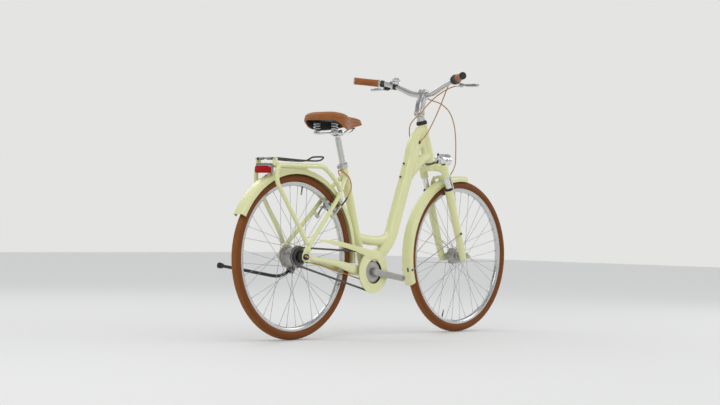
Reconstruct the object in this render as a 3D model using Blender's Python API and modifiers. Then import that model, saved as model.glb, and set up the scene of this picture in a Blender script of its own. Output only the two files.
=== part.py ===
"""Hybrid bike. X runs forward, Y to the left, Z up, metres. The origin is on the ground at mid wheelbase."""
import math

import bmesh
import bpy
import numpy as np
from mathutils import Matrix, Vector

# Gap kept between two separate pieces that touch.
GAP = 0.0003

# Wheels
WHEELBASE = 1.100
WHEEL_RADIUS = 0.349
TYRE_HEIGHT = 0.0315
RIM_DEPTH = 0.0210
RIM_OUTER = WHEEL_RADIUS - TYRE_HEIGHT
RIM_INNER = RIM_OUTER - RIM_DEPTH
TYRE_HALF = 0.0203
RIM_HALF = 0.012
RIM_WALL = 0.002
SPOKES = 36
SPOKE_HALF = 0.0009
FLANGE_Y = 0.030
FLANGE_HALF = 0.0015
REAR_FLANGE = 0.048
REAR_SHELL = 0.040
DYNAMO_RADIUS = 0.0375
SMALL_FLANGE = 0.028
AXLE_RADIUS = 0.005
TYRE_STEPS = 28

# Fenders
FENDER_OUTER = WHEEL_RADIUS + 0.0220
FENDER_EDGE = WHEEL_RADIUS - 0.0020
FRONT_FENDER_OUTER = WHEEL_RADIUS + 0.0200
FENDER_HALF = 0.028
FENDER_WALL = 0.0014

# Steering
HEAD_ANGLE = math.radians(70.0)
FORK_OFFSET = 0.050
HEAD_LOW = 0.4555
HEAD_HIGH = 0.6364
HEAD_RADIUS = 0.0235
HEAD_BORE = 0.0170
STEERER_RADIUS = 0.0143
STEERER_BORE = 0.0115
LEG_Y = 0.063
LEG_AHEAD = 0.016
STANCHION_RADIUS = 0.0127
LOWER_TOP = 0.314
LOWER_RADIUS = 0.0200
LOWER_FOOT = 0.0160
CROWN_HIGH = 0.4455
FORK_SPACING = 0.100

# Frame
BB = (-0.100, 0.283)
BB_RADIUS = 0.0205
BB_HALF = 0.034
BB_BORE = 0.0172
SEAT_ANGLE = math.radians(72.4)
SEAT_TUBE_RADIUS = 0.0170
SEATPOST_RADIUS = 0.0136
SEAT_TUBE_TOP = 0.749
SEATPOST_TOP = 0.868
SEATPOST_FOOT = 0.600
DROPOUT_Y = 0.070
DROPOUT_HALF = 0.003

# Drive
PITCH = 0.0127
RING_TEETH = 42
SPROCKET_TEETH = 19
CHAIN_Y = -0.045
CHAIN_HALF_WIDTH = 0.0045
CHAIN_HALF_HEIGHT = 0.0044
CHAIN_WAIST = 0.0030
CRANK_LENGTH = 0.170
CRANK_DROP = math.radians(9.7)
GUARD_Y = -0.0590
GUARD_HALF = 0.0010
GUARD_RADIUS = 0.0925
GUARD_HOLE = 0.0515

# Handlebar
BAR_RADIUS = 0.0111
BAR_CLAMP_RADIUS = 0.0127
GRIP_RADIUS = 0.0165
CABLE_RADIUS = 0.0025
CABLE_TURN = math.radians(20.0)
CABLE_STEP = 0.110

X = Vector((1, 0, 0))
Y = Vector((0, 1, 0))
Z = Vector((0, 0, 1))
REAR_AXLE = Vector((-WHEELBASE / 2, 0, WHEEL_RADIUS))
FRONT_AXLE = Vector((WHEELBASE / 2, 0, WHEEL_RADIUS))
UP = Vector((-math.cos(HEAD_ANGLE), 0, math.sin(HEAD_ANGLE)))
AHEAD = Vector((math.sin(HEAD_ANGLE), 0, math.cos(HEAD_ANGLE)))
STEER_ORIGIN = Vector((FRONT_AXLE.x - FORK_OFFSET / math.sin(HEAD_ANGLE), 0, WHEEL_RADIUS))
AXLE_DROP = -FORK_OFFSET / math.tan(HEAD_ANGLE)
SEAT_UP = Vector((-math.cos(SEAT_ANGLE), 0, math.sin(SEAT_ANGLE)))
BB_CENTRE = Vector((BB[0], 0, BB[1]))
RING_PITCH_RADIUS = PITCH / (2 * math.sin(math.pi / RING_TEETH))
SPROCKET_PITCH_RADIUS = PITCH / (2 * math.sin(math.pi / SPROCKET_TEETH))
STEER_TURN = Matrix.Rotation(HEAD_ANGLE - math.pi / 2, 4, "Y")
WHEEL_TURN = Matrix.Rotation(-math.pi / 2, 4, "X")


def steer(up, ahead=0.0, y=0.0):
    """A point given along the steering axis, ahead of it and to the left."""
    return STEER_ORIGIN + UP * up + AHEAD * ahead + Y * y


def seat_at(z, ahead=0.0, y=0.0):
    """A point on the seat tube's axis at height z, moved ahead square to the axis and to the left."""
    along = (z - BB_CENTRE.z) / SEAT_UP.z
    return BB_CENTRE + SEAT_UP * along + Vector((SEAT_UP.z, 0, -SEAT_UP.x)) * ahead + Y * y


# The routes and spots further down are drawn for this wheelbase.
DRAWN_WHEELBASE = 1.100


def spread(point):
    """A drawn point moved with the wheels: not at all by the seat tube, and in full at both axles."""
    share = float(np.interp(point[0], (-0.50, -0.24, -0.10, 0.17), (-1.0, 0.0, 0.0, 1.0)))
    return (point[0] + share * (WHEELBASE - DRAWN_WHEELBASE) / 2, *point[1:])


def spread_all(points):
    return [spread(point) for point in points]


# Scene
for old in list(bpy.data.objects):
    bpy.data.objects.remove(old, do_unlink=True)
PARTS = bpy.data.collections.new("hybrid_bike")
CUTTERS = bpy.data.collections.new("cutters")
bpy.context.scene.collection.children.link(PARTS)
bpy.context.scene.collection.children.link(CUTTERS)
CUTTERS.hide_render = True
WORLD = {}


def linear(code):
    """Linear colour of an sRGB hex code."""
    values = [int(code[i:i + 2], 16) / 255 for i in (1, 3, 5)]
    return [v / 12.92 if v <= 0.04045 else ((v + 0.055) / 1.055) ** 2.4 for v in values]


SURFACES = {
    "paint": ("#dfe2c0", 0.30, 0.0),
    "silver": ("#c9cbcd", 0.30, 1.0),
    "chrome": ("#e2e4e6", 0.10, 1.0),
    "steel": ("#9a9c9e", 0.35, 1.0),
    "black": ("#17181a", 0.45, 0.0),
    "dark_metal": ("#3a3b3d", 0.40, 1.0),
    "tan_rubber": ("#c79b68", 0.75, 0.0),
    "tan_cover": ("#bd8a55", 0.60, 0.0),
    "tan_cable": ("#c4a070", 0.55, 0.0),
    "red_lens": ("#9c1418", 0.15, 0.0),
    "clear_lens": ("#dfe6ea", 0.08, 0.0),
    "grey_plastic": ("#8b8d8f", 0.50, 0.0),
    "butyl": ("#232325", 0.70, 0.0),
}


def material(node, surface):
    code, roughness, metallic = SURFACES[surface]
    mat = bpy.data.materials.new(node + "_" + surface)
    mat.use_nodes = True
    shader = mat.node_tree.nodes["Principled BSDF"]
    shader.inputs["Base Color"].default_value = (*linear(code), 1.0)
    shader.inputs["Roughness"].default_value = roughness
    shader.inputs["Metallic"].default_value = metallic
    return mat


def wrap(name, mesh, matrix=None):
    """A new object round a mesh, kept with the cutters until it is published."""
    obj = bpy.data.objects.new(name, mesh)
    CUTTERS.objects.link(obj)
    obj.display_type = "WIRE"
    obj.hide_render = True
    WORLD[name] = matrix.copy() if matrix is not None else Matrix.Identity(4)
    obj.matrix_basis = WORLD[name]
    return obj


def from_bmesh(name, bm, matrix=None):
    mesh = bpy.data.meshes.new(name)
    bm.to_mesh(mesh)
    bm.free()
    return wrap(name, mesh, matrix)


def publish(obj, surface, pivot=None, parent=None, smooth=35):
    """Moves an object to the parts, sets its origin on its joint axis and hangs it on its parent."""
    name = obj.name
    CUTTERS.objects.unlink(obj)
    PARTS.objects.link(obj)
    obj.display_type = "TEXTURED"
    obj.hide_render = False
    obj.data.materials.clear()
    obj.data.materials.append(material(name, surface))
    if pivot is not None:
        turn = WORLD[name].to_3x3().to_4x4()
        here = Matrix.Translation(pivot) @ turn
        obj.data.transform(here.inverted() @ WORLD[name])
        WORLD[name] = here
        obj.matrix_basis = here
    if parent is not None:
        obj.parent = parent
        obj.matrix_parent_inverse = WORLD[parent.name].inverted()
    if smooth:
        obj.data.shade_smooth()
        obj.data.set_sharp_from_angle(angle=math.radians(smooth))
    return obj


def join(obj, *others):
    for other in others:
        step = obj.modifiers.new("join_" + other.name, "BOOLEAN")
        step.operation = "UNION"
        step.object = other
        step.solver = "EXACT"
    return obj


def cut(obj, *others):
    for other in others:
        step = obj.modifiers.new("cut_" + other.name, "BOOLEAN")
        step.operation = "DIFFERENCE"
        step.object = other
        step.solver = "EXACT"
    return obj


def rod(name, start, end, radius, end_radius=None, sides=12):
    """A round bar between two points."""
    start = Vector(start)
    end = Vector(end)
    length = (end - start).length
    bm = bmesh.new()
    last = radius if end_radius is None else end_radius
    bmesh.ops.create_cone(bm, cap_ends=True, segments=sides, radius1=radius, radius2=last, depth=length)
    turn = Z.rotation_difference((end - start).normalized()).to_matrix().to_4x4()
    bm.transform(Matrix.Translation((start + end) / 2) @ turn)
    return from_bmesh(name, bm)


def block(name, centre, size, turn=None, bevel=0.0):
    """A box, with its edges eased where bevel is given."""
    bm = bmesh.new()
    bmesh.ops.create_cube(bm, size=1.0)
    bm.transform(Matrix.Diagonal((*size, 1.0)))
    if bevel:
        bmesh.ops.bevel(bm, geom=bm.edges[:], offset=bevel, segments=1, affect="EDGES", profile=0.5)
    matrix = Matrix.Translation(Vector(centre)) @ (turn if turn is not None else Matrix.Identity(4))
    bm.transform(matrix)
    return from_bmesh(name, bm)


def ball(name, centre, radius, scale=(1, 1, 1), sides=14):
    bm = bmesh.new()
    bmesh.ops.create_uvsphere(bm, u_segments=sides, v_segments=sides // 2 + 1, radius=radius)
    bm.transform(Matrix.Translation(Vector(centre)) @ Matrix.Diagonal((*scale, 1.0)))
    return from_bmesh(name, bm)


def turned(name, profile, matrix, steps=32):
    """A closed profile of (radius, height) turned once round the local Z axis by Screw."""
    ring = list(profile)
    area = sum(a[0] * b[1] - b[0] * a[1] for a, b in zip(ring, ring[1:] + ring[:1]))
    if area > 0:
        ring.reverse()
    bm = bmesh.new()
    points = [bm.verts.new((r, 0, h)) for r, h in ring]
    for a, b in zip(points, points[1:] + points[:1]):
        bm.edges.new((a, b))
    obj = from_bmesh(name, bm, matrix)
    screw = obj.modifiers.new("turn", "SCREW")
    screw.steps = steps
    screw.render_steps = steps
    screw.use_merge_vertices = True
    screw.merge_threshold = 0.00001
    return obj


def smooth_path(points, count):
    """Evenly spread points on a smooth curve through the given ones."""
    knots = [np.array(p, float) for p in points]
    knots = [2 * knots[0] - knots[1]] + knots + [2 * knots[-1] - knots[-2]]
    fine = []
    for i in range(1, len(knots) - 2):
        p0, p1, p2, p3 = knots[i - 1:i + 3]
        for t in np.linspace(0, 1, 24, endpoint=False):
            fine.append(0.5 * (2 * p1 + (p2 - p0) * t + (2 * p0 - 5 * p1 + 4 * p2 - p3) * t ** 2
                               + (3 * p1 - p0 - 3 * p2 + p3) * t ** 3))
    fine.append(knots[-2])
    fine = np.array(fine)
    run = np.concatenate([[0], np.cumsum(np.linalg.norm(np.diff(fine, axis=0), axis=1))])
    at = np.linspace(0, run[-1], count)
    return np.column_stack([np.interp(at, run, fine[:, k]) for k in range(3)])


def pipe(name, points, radius, sides=8, closed=False):
    """A round tube along a polyline, from a curve with a bevel depth."""
    curve = bpy.data.curves.new(name + "_curve", "CURVE")
    curve.dimensions = "3D"
    spline = curve.splines.new("POLY")
    spline.points.add(len(points) - 1)
    for spot, point in zip(spline.points, points):
        spot.co = (*point, 1.0)
    spline.use_cyclic_u = closed
    curve.bevel_depth = radius
    curve.bevel_resolution = max(sides // 2 - 2, 0)
    curve.use_fill_caps = not closed
    holder = bpy.data.objects.new(name + "_holder", curve)
    bpy.context.scene.collection.objects.link(holder)
    shape = holder.evaluated_get(bpy.context.evaluated_depsgraph_get())
    mesh = bpy.data.meshes.new_from_object(shape)
    bpy.data.objects.remove(holder, do_unlink=True)
    bm = bmesh.new()
    bm.from_mesh(mesh)
    bmesh.ops.remove_doubles(bm, verts=bm.verts, dist=0.000001)
    bmesh.ops.recalc_face_normals(bm, faces=bm.faces)
    bpy.data.meshes.remove(mesh)
    return from_bmesh(name, bm)


def loft(name, rings, closed=False):
    """Skins rings of points into one closed solid, with flat ends unless it closes on itself."""
    bm = bmesh.new()
    rows = [[bm.verts.new(tuple(p)) for p in ring] for ring in rings]
    pairs = list(zip(rows, rows[1:] + rows[:1])) if closed else list(zip(rows, rows[1:]))
    for a, b in pairs:
        for i in range(len(a)):
            j = (i + 1) % len(a)
            bm.faces.new((a[i], a[j], b[j], b[i]))
    if not closed:
        bm.faces.new(rows[0][::-1])
        bm.faces.new(rows[-1])
    bmesh.ops.recalc_face_normals(bm, faces=bm.faces)
    return from_bmesh(name, bm)


def section_frames(path):
    """Tangent, sideways and normal directions at each point of a path."""
    path = np.array(path, float)
    step = np.gradient(path, axis=0)
    tangent = step / np.linalg.norm(step, axis=1)[:, None]
    side = np.array([0, 1, 0]) - tangent[:, 1:2] * tangent
    side = side / np.linalg.norm(side, axis=1)[:, None]
    return path, tangent, side, np.cross(side, tangent)


def sweep(name, path, depth, width, power=2.0, sides=12):
    """A rounded section carried along a path: depth in the path's plane, width across it."""
    path, tangent, side, normal = section_frames(path)
    depth = np.broadcast_to(depth, len(path))
    width = np.broadcast_to(width, len(path))
    angles = np.linspace(0, 2 * math.pi, sides, endpoint=False) + math.pi / sides
    c = np.cos(angles)
    s = np.sin(angles)
    c = np.sign(c) * np.abs(c) ** (2 / power)
    s = np.sign(s) * np.abs(s) ** (2 / power)
    rings = [path[i] + np.outer(c, normal[i]) * depth[i] + np.outer(s, side[i]) * width[i]
             for i in range(len(path))]
    return loft(name, rings)


def slab(name, outline, low, high):
    """A flat plate with an outline in X and Z, from Y low to Y high."""
    bm = bmesh.new()
    near = [bm.verts.new((x, low, z)) for x, z in outline]
    far = [bm.verts.new((x, high, z)) for x, z in outline]
    bm.faces.new(near)
    bm.faces.new(far[::-1])
    for i in range(len(near)):
        j = (i + 1) % len(near)
        bm.faces.new((near[j], near[i], far[i], far[j]))
    bmesh.ops.recalc_face_normals(bm, faces=bm.faces)
    return from_bmesh(name, bm)


def flip(points):
    """The same points on the other side of the bike."""
    return [(p[0], -p[1], p[2]) for p in points]


# Frame: centrelines of its tubes
DOWN_TUBE = spread_all([(0.292, 0, 0.925), (0.262, 0, 0.905), (0.2305, 0, 0.868), (0.2115, 0, 0.826),
             (0.2025, 0, 0.786), (0.1875, 0, 0.745), (0.1720, 0, 0.700), (0.1535, 0, 0.653),
             (0.1350, 0, 0.603), (0.1155, 0, 0.550), (0.0975, 0, 0.500), (0.0790, 0, 0.452),
             (0.0520, 0, 0.408), (0.0050, 0, 0.363), (-0.0480, 0, 0.322), (-0.0950, 0, 0.287)])
GUSSET = spread_all([
    (0.333, 0, 0.808), (0.306, 0, 0.797), (0.275, 0, 0.782), (0.245, 0, 0.762), (0.215, 0, 0.738),
    (0.190, 0, 0.705)])
BRIDGE = spread_all([
    (-0.150, 0, 0.430), (-0.110, 0, 0.4240), (-0.050, 0, 0.4175), (0.015, 0, 0.4200),
    (0.080, 0, 0.440)])
SEATSTAY = spread_all([
    (-0.2320, 0.010, 0.700), (-0.268, 0.0235, 0.664), (-0.3045, 0.0395, 0.622),
    (-0.348, 0.0465, 0.572), (-0.455, 0.0595, 0.463), (-0.491, 0.0645, 0.428),
    (-0.5260, 0.0690, 0.388), (-0.5330, 0.0700, 0.366)])
SEATSTAY_RADIUS = 0.0095
CHAINSTAY = spread_all([
    (-0.106, 0.0240, 0.283), (-0.150, 0.0315, 0.288), (-0.184, 0.0346, 0.292),
    (-0.219, 0.0405, 0.297), (-0.280, 0.0480, 0.310), (-0.341, 0.0540, 0.3220),
    (-0.420, 0.0610, 0.332), (-0.500, 0.0680, 0.3410), (-0.532, 0.0700, 0.3450)])
CHAINSTAY_DEPTH = [0.0190, 0.0200, 0.0190, 0.0180, 0.0140, 0.0125, 0.0110, 0.0100, 0.0090]
CHAINSTAY_WIDTH = [0.0100, 0.0080, 0.0080, 0.0085, 0.0095, 0.0095, 0.0090, 0.0080, 0.0045]

# Cables: the routes that pass inside the frame
GRIP_START = Vector(spread((0.2340, 0.2210, 1.1350)))
GRIP_END = Vector(spread((0.1720, 0.3160, 1.1460)))
GRIP_LINE = (GRIP_END - GRIP_START).normalized()
RIGHT_LINE = Vector((GRIP_LINE.x, -GRIP_LINE.y, GRIP_LINE.z))
RIGHT_START = Vector((GRIP_START.x, -GRIP_START.y, GRIP_START.z))
RIGHT_RISE = (Z - RIGHT_LINE * RIGHT_LINE.z).normalized()
LEVER_ROOT = Vector(spread((0.2805, 0.2230, 1.1160)))
LEVER_TIP = Vector(spread((0.2860, 0.3120, 1.1120)))
BARREL = 0.0225
SHIFT_EXIT = RIGHT_START - RIGHT_LINE * 0.0045 + RIGHT_RISE * 0.0190
BRAKE_EXIT = Vector((LEVER_ROOT.x, -LEVER_ROOT.y, LEVER_ROOT.z)) - RIGHT_LINE * BARREL
SHIFT_ROUTE = [tuple(SHIFT_EXIT), tuple(SHIFT_EXIT - RIGHT_LINE * 0.025)] + spread_all([
    (0.295, -0.150, 1.142), (0.322, -0.100, 1.090), (0.322, -0.066, 1.020), (0.300, -0.048, 0.955),
    (0.270, -0.038, 0.902), (0.2400, -0.0285, 0.868), (0.2180, -0.0130, 0.832),
    (0.2030, -0.0080, 0.786), (0.1720, -0.0080, 0.700), (0.1350, -0.0080, 0.603),
    (0.0975, -0.0080, 0.500), (0.0760, -0.0080, 0.452), (0.0480, -0.0080, 0.408),
    (0.0100, -0.0080, 0.369), (-0.0200, -0.0080, 0.335), (-0.0500, -0.0080, 0.295),
    (-0.0850, -0.0120, 0.2550), (-0.1300, -0.0260, 0.2480), (-0.2100, -0.0330, 0.2640),
    (-0.3400, -0.0400, 0.2960), (-0.4600, -0.0520, 0.3190), (-0.5200, -0.0560, 0.3270)])
BRAKE_ROUTE = [tuple(BRAKE_EXIT), tuple(BRAKE_EXIT - RIGHT_LINE * 0.014)] + spread_all([
    (0.302, -0.165, 1.113), (0.303, -0.115, 1.098), (0.291, -0.065, 1.066), (0.266, -0.033, 1.024),
    (0.240, -0.026, 0.993), (0.221, -0.006, 0.968), (0.219, 0.018, 0.940), (0.228, 0.030, 0.905),
    (0.2350, 0.0290, 0.872), (0.2180, 0.0130, 0.832), (0.2030, 0.0080, 0.786),
    (0.1720, 0.0080, 0.700), (0.1350, 0.0080, 0.603), (0.0975, 0.0080, 0.500),
    (0.0790, 0.0080, 0.452), (0.0500, 0.0090, 0.427), (0.0000, 0.0130, 0.419),
    (-0.0600, 0.0200, 0.4200), (-0.1150, 0.0260, 0.4350), (-0.1500, 0.0250, 0.4800),
    (-0.1750, 0.0235, 0.5300), (-0.1960, 0.0235, 0.5900), (-0.2150, 0.0240, 0.6450),
    (-0.2270, 0.0275, 0.6820), (-0.2420, 0.0270, 0.7060), (-0.2580, 0.0150, 0.7180),
    (-0.2640, 0.0000, 0.7190), (-0.2570, -0.0160, 0.7100), (-0.2400, -0.0290, 0.6910),
    (-0.2270, -0.0300, 0.6680), (-0.2230, -0.0290, 0.6480), (-0.2360, -0.0360, 0.6280),
    (-0.2600, -0.0420, 0.6040), (-0.2850, -0.0455, 0.5810), (-0.3060, -0.0470, 0.5650)])


# Brakes: where their pivots stand
PAD_RADIUS = RIM_OUTER - 0.0080
PAD_GAP = 0.0018
BRAKE_UP = 0.2640
BRAKE_Y = 0.0440
BRAKE_AHEAD = 0.0600
REAR_BRAKE_SPOT = Vector(spread((-0.37262, 0, 0.53636)))
REAR_BRAKE_UP = (REAR_BRAKE_SPOT - REAR_AXLE).normalized()
REAR_BRAKE_AHEAD = Vector((REAR_BRAKE_UP.z, 0, -REAR_BRAKE_UP.x))
REAR_PIVOT_UP = 0.2580
REAR_PIVOT_AHEAD = 0.0220


def frame_piece():
    down = smooth_path(DOWN_TUBE, 13)
    frame = sweep("frame", down, 0.0265, np.interp(np.linspace(0, 1, 13), [0, 0.2, 0.8, 1],
                                                   [0.020, 0.0265, 0.0265, 0.024]),
                  power=3.0, sides=12)
    head = rod("head_tube", steer(HEAD_LOW), steer(HEAD_HIGH), HEAD_RADIUS, sides=16)
    gusset = sweep("gusset", smooth_path(GUSSET, 5), [0.021, 0.0210, 0.0235, 0.026, 0.018],
                   0.0215, power=2.6, sides=10)
    bridge = sweep("bridge", smooth_path(BRIDGE, 5), 0.0210, 0.0185, power=2.6, sides=10)
    seat_tube = rod("seat_tube", seat_at(BB_CENTRE.z), seat_at(SEAT_TUBE_TOP), SEAT_TUBE_RADIUS, sides=14)
    shell = rod("bottom_shell", BB_CENTRE - Y * BB_HALF, BB_CENTRE + Y * BB_HALF, BB_RADIUS, sides=16)
    join(frame, head, gusset, bridge, seat_tube, shell)
    for side in (1, -1):
        tag = "left" if side > 0 else "right"
        stay = SEATSTAY if side > 0 else flip(SEATSTAY)
        lower = CHAINSTAY if side > 0 else flip(CHAINSTAY)
        join(frame, pipe("seatstay_" + tag, smooth_path(stay, 8), SEATSTAY_RADIUS, sides=8))
        join(frame, sweep("chainstay_" + tag, lower, CHAINSTAY_DEPTH, CHAINSTAY_WIDTH, power=2.4, sides=8))
        plate = spread_all([(-0.5200, 0.3260), (-0.5180, 0.3600), (-0.5160, 0.3920), (-0.5360, 0.3980),
                            (-0.5520, 0.3800), (-0.5640, 0.3560), (-0.5640, 0.3400), (-0.5520, 0.3290)])
        pivot = REAR_AXLE + REAR_BRAKE_UP * REAR_PIVOT_UP + Y * side * BRAKE_Y
        root = REAR_AXLE + REAR_BRAKE_UP * REAR_PIVOT_UP - REAR_BRAKE_AHEAD * 0.0060 + Y * side * BRAKE_Y
        join(frame, rod("stay_boss_" + tag, root, pivot + REAR_BRAKE_AHEAD * (REAR_PIVOT_AHEAD - 0.0065),
                        0.0080, sides=8))
        join(frame, rod("stay_peg_" + tag, pivot + REAR_BRAKE_AHEAD * 0.0080,
                        pivot + REAR_BRAKE_AHEAD * (REAR_PIVOT_AHEAD + 0.0055), 0.0040, sides=8))
        faces = sorted((side * (DROPOUT_Y - DROPOUT_HALF), side * (DROPOUT_Y + DROPOUT_HALF)))
        join(frame, slab("dropout_" + tag, plate, faces[0], faces[1]))
    bores = [rod("head_bore", steer(HEAD_LOW - 0.01), steer(HEAD_HIGH + 0.01), HEAD_BORE, sides=16),
             rod("seat_bore", seat_at(0.480), seat_at(SEAT_TUBE_TOP + 0.02), SEATPOST_RADIUS + GAP, sides=14),
             rod("shell_bore", BB_CENTRE - Y * 0.05, BB_CENTRE + Y * 0.05, BB_BORE, sides=16),
             rod("axle_bore", REAR_AXLE - Y * 0.09, REAR_AXLE + Y * 0.09, AXLE_RADIUS + GAP, sides=12),
             pipe("shift_channel", cable_points(SHIFT_ROUTE), CABLE_RADIUS + 0.0007, sides=6),
             pipe("brake_channel", cable_points(BRAKE_ROUTE), CABLE_RADIUS + 0.0007, sides=6)]
    cut(frame, *bores)
    return publish(frame, "paint")


def cable_points(route):
    """The points of a cable on its smooth route, closer together where it bends."""
    fine = smooth_path(route, 400)
    kept = [fine[0]]
    turned_by = 0.0
    heading = fine[1] - fine[0]
    for here, after in zip(fine[1:], fine[2:]):
        step = after - here
        cosine = np.dot(step, heading) / (np.linalg.norm(step) * np.linalg.norm(heading))
        turned_by = math.acos(min(1.0, cosine))
        if turned_by > CABLE_TURN or np.linalg.norm(here - kept[-1]) > CABLE_STEP:
            kept.append(here)
            heading = step
    kept.append(fine[-1])
    return np.array(kept)


FRAME = frame_piece()


# Headset
def headset_pieces():
    tall = HEAD_HIGH
    upper = [
        (HEAD_BORE - GAP, tall - 0.014), (HEAD_BORE - GAP, tall + GAP), (0.0228, tall + GAP),
        (0.0228, tall + 0.009), (0.0190, tall + 0.015), (STEERER_RADIUS + GAP, tall + 0.015),
        (STEERER_RADIUS + GAP, tall - 0.014)]
    low = HEAD_LOW
    lower = [
        (HEAD_BORE - GAP, low + 0.014), (HEAD_BORE - GAP, low - GAP), (0.0225, low - GAP),
        (0.0225, low - 0.0085), (STEERER_RADIUS + GAP, low - 0.0085),
        (STEERER_RADIUS + GAP, low + 0.014)]
    place = Matrix.Translation(STEER_ORIGIN) @ STEER_TURN
    publish(turned("headset_upper", upper, place, 16), "black", parent=FRAME)
    publish(turned("headset_lower", lower, place, 16), "dark_metal", parent=FRAME)


headset_pieces()


# Bottom bracket, cranks and chain
def drive_pieces():
    bearing = [(0.0090, -BB_HALF - 0.002), (0.0090, BB_HALF + 0.002), (BB_BORE - GAP, BB_HALF + 0.002),
               (BB_BORE - GAP, -BB_HALF - 0.002)]
    place = Matrix.Translation(BB_CENTRE) @ WHEEL_TURN
    publish(turned("bottom_bracket", bearing, place, 16), "dark_metal", parent=FRAME)
    spindle = rod("crank_spindle", BB_CENTRE - Y * 0.0600, BB_CENTRE + Y * 0.0600, 0.0085, sides=12)
    spindle = publish(spindle, "steel", BB_CENTRE, FRAME)

    along = Vector((math.cos(CRANK_DROP), 0, -math.sin(CRANK_DROP)))
    for side, name in ((-1, "crank_right"), (1, "crank_left")):
        reach = along if side < 0 else -along
        spots = np.array([0.0, 0.020, 0.060, 0.110, 0.150, CRANK_LENGTH])
        offs = np.array([0.0640, 0.0660, 0.0700, 0.0760, 0.0800, 0.0815]) * side
        path = [BB_CENTRE + reach * float(s) + Y * float(o) for s, o in zip(spots, offs)]
        arm = sweep(name, path, [0.0150, 0.0145, 0.0125, 0.0115, 0.0120, 0.0125],
                    [0.0085, 0.0080, 0.0070, 0.0065, 0.0065, 0.0065], power=3.0, sides=8)
        boss = rod(name + "_boss", BB_CENTRE + Y * side * 0.0525, BB_CENTRE + Y * side * 0.0735, 0.0165,
                   0.0145, sides=12)
        cap = rod(name + "_cap", BB_CENTRE + Y * side * 0.0700, BB_CENTRE + Y * side * 0.0760, 0.0110,
                  0.0095, sides=10)
        tip = BB_CENTRE + reach * CRANK_LENGTH
        eye = rod(name + "_eye", tip + Y * side * 0.0750, tip + Y * side * 0.0885, 0.0130, sides=12)
        join(arm, boss, cap, eye)
        if side < 0:
            toothed(arm)
        cut(arm, rod(name + "_taper", BB_CENTRE + Y * side * 0.038, BB_CENTRE + Y * side * (0.0600 + GAP),
                     0.0085 + GAP, sides=12))
        cut(arm, rod(name + "_thread", tip + Y * side * 0.060, tip + Y * side * 0.100, 0.0071, sides=10))
        publish(arm, "silver", BB_CENTRE, spindle)


def gear_outline(centre, tip, root, teeth):
    outline = []
    for k in range(teeth):
        for part, radius in ((0.0, root), (0.5, tip)):
            angle = 2 * math.pi * (k + part) / teeth
            outline.append((centre.x + radius * math.cos(angle), centre.z + radius * math.sin(angle)))
    return outline


def toothed(arm):
    """Adds the chainring and its domed disc to the right crank."""
    tip = RING_PITCH_RADIUS - CHAIN_HALF_HEIGHT - GAP
    ring = slab("ring_plate", gear_outline(BB_CENTRE, tip, tip - 0.0040, RING_TEETH), CHAIN_Y - 0.0011,
                CHAIN_Y + 0.0011)
    dome = [(0.0120, -0.0560), (0.0300, -0.0575), (0.0440, -0.0550), (0.0495, -0.0500), (0.0500, -0.0455),
            (0.0120, -0.0455)]
    disc = turned("ring_disc", dome, Matrix.Translation(BB_CENTRE) @ WHEEL_TURN, 16)
    join(arm, disc, ring)


def chain_piece():
    """The chain as one closed band with a waist at each link, round both pitch circles."""
    front = np.array([BB_CENTRE.x, BB_CENTRE.z])
    back = np.array([REAR_AXLE.x, REAR_AXLE.z])
    gap = front - back
    span = np.linalg.norm(gap)
    heading = math.atan2(gap[1], gap[0])
    lean = math.asin((RING_PITCH_RADIUS - SPROCKET_PITCH_RADIUS) / span)
    run = math.sqrt(span ** 2 - (RING_PITCH_RADIUS - SPROCKET_PITCH_RADIUS) ** 2)
    top = heading + math.pi / 2 + lean
    low = heading - math.pi / 2 - lean
    arcs = [RING_PITCH_RADIUS * (math.pi + 2 * lean), SPROCKET_PITCH_RADIUS * (math.pi - 2 * lean)]
    total = arcs[0] + arcs[1] + 2 * run
    marks = []
    begin = 0.0
    for length, every in ((arcs[0], PITCH), (run, 5 * PITCH), (arcs[1], PITCH), (run, 5 * PITCH)):
        pieces = 2 * int(round(length / every / 2))
        marks += [begin + length * k / pieces for k in range(pieces)]
        begin += length

    def spot(s):
        if s < arcs[0]:
            a = top - s / RING_PITCH_RADIUS
            return front + RING_PITCH_RADIUS * np.array([math.cos(a), math.sin(a)])
        s -= arcs[0]
        start = front + RING_PITCH_RADIUS * np.array([math.cos(low), math.sin(low)])
        end = back + SPROCKET_PITCH_RADIUS * np.array([math.cos(low), math.sin(low)])
        if s < run:
            return start + (end - start) * s / run
        s -= run
        if s < arcs[1]:
            a = low - s / SPROCKET_PITCH_RADIUS
            return back + SPROCKET_PITCH_RADIUS * np.array([math.cos(a), math.sin(a)])
        s -= arcs[1]
        start = back + SPROCKET_PITCH_RADIUS * np.array([math.cos(top), math.sin(top)])
        end = front + RING_PITCH_RADIUS * np.array([math.cos(top), math.sin(top)])
        return start + (end - start) * s / run

    stations = len(marks)
    path = np.array([spot(s) for s in marks])
    ahead = np.roll(path, -1, axis=0) - np.roll(path, 1, axis=0)
    ahead = ahead / np.linalg.norm(ahead, axis=1)[:, None]
    out = np.column_stack([-ahead[:, 1], ahead[:, 0]])
    rings = []
    for k in range(stations):
        waist = k % 2 == 1 and (marks[k] < arcs[0] or arcs[0] + run < marks[k] < total - run)
        half = CHAIN_WAIST if waist else CHAIN_HALF_HEIGHT
        wide = CHAIN_HALF_WIDTH - 0.0010 if waist else CHAIN_HALF_WIDTH
        rings.append([(path[k][0] + out[k][0] * h, CHAIN_Y + w, path[k][1] + out[k][1] * h)
                      for h, w in ((half, wide), (half, -wide), (-half, -wide), (-half, wide))])
    return publish(loft("chain", rings, closed=True), "steel", parent=FRAME, smooth=0)


drive_pieces()
chain_piece()


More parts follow.
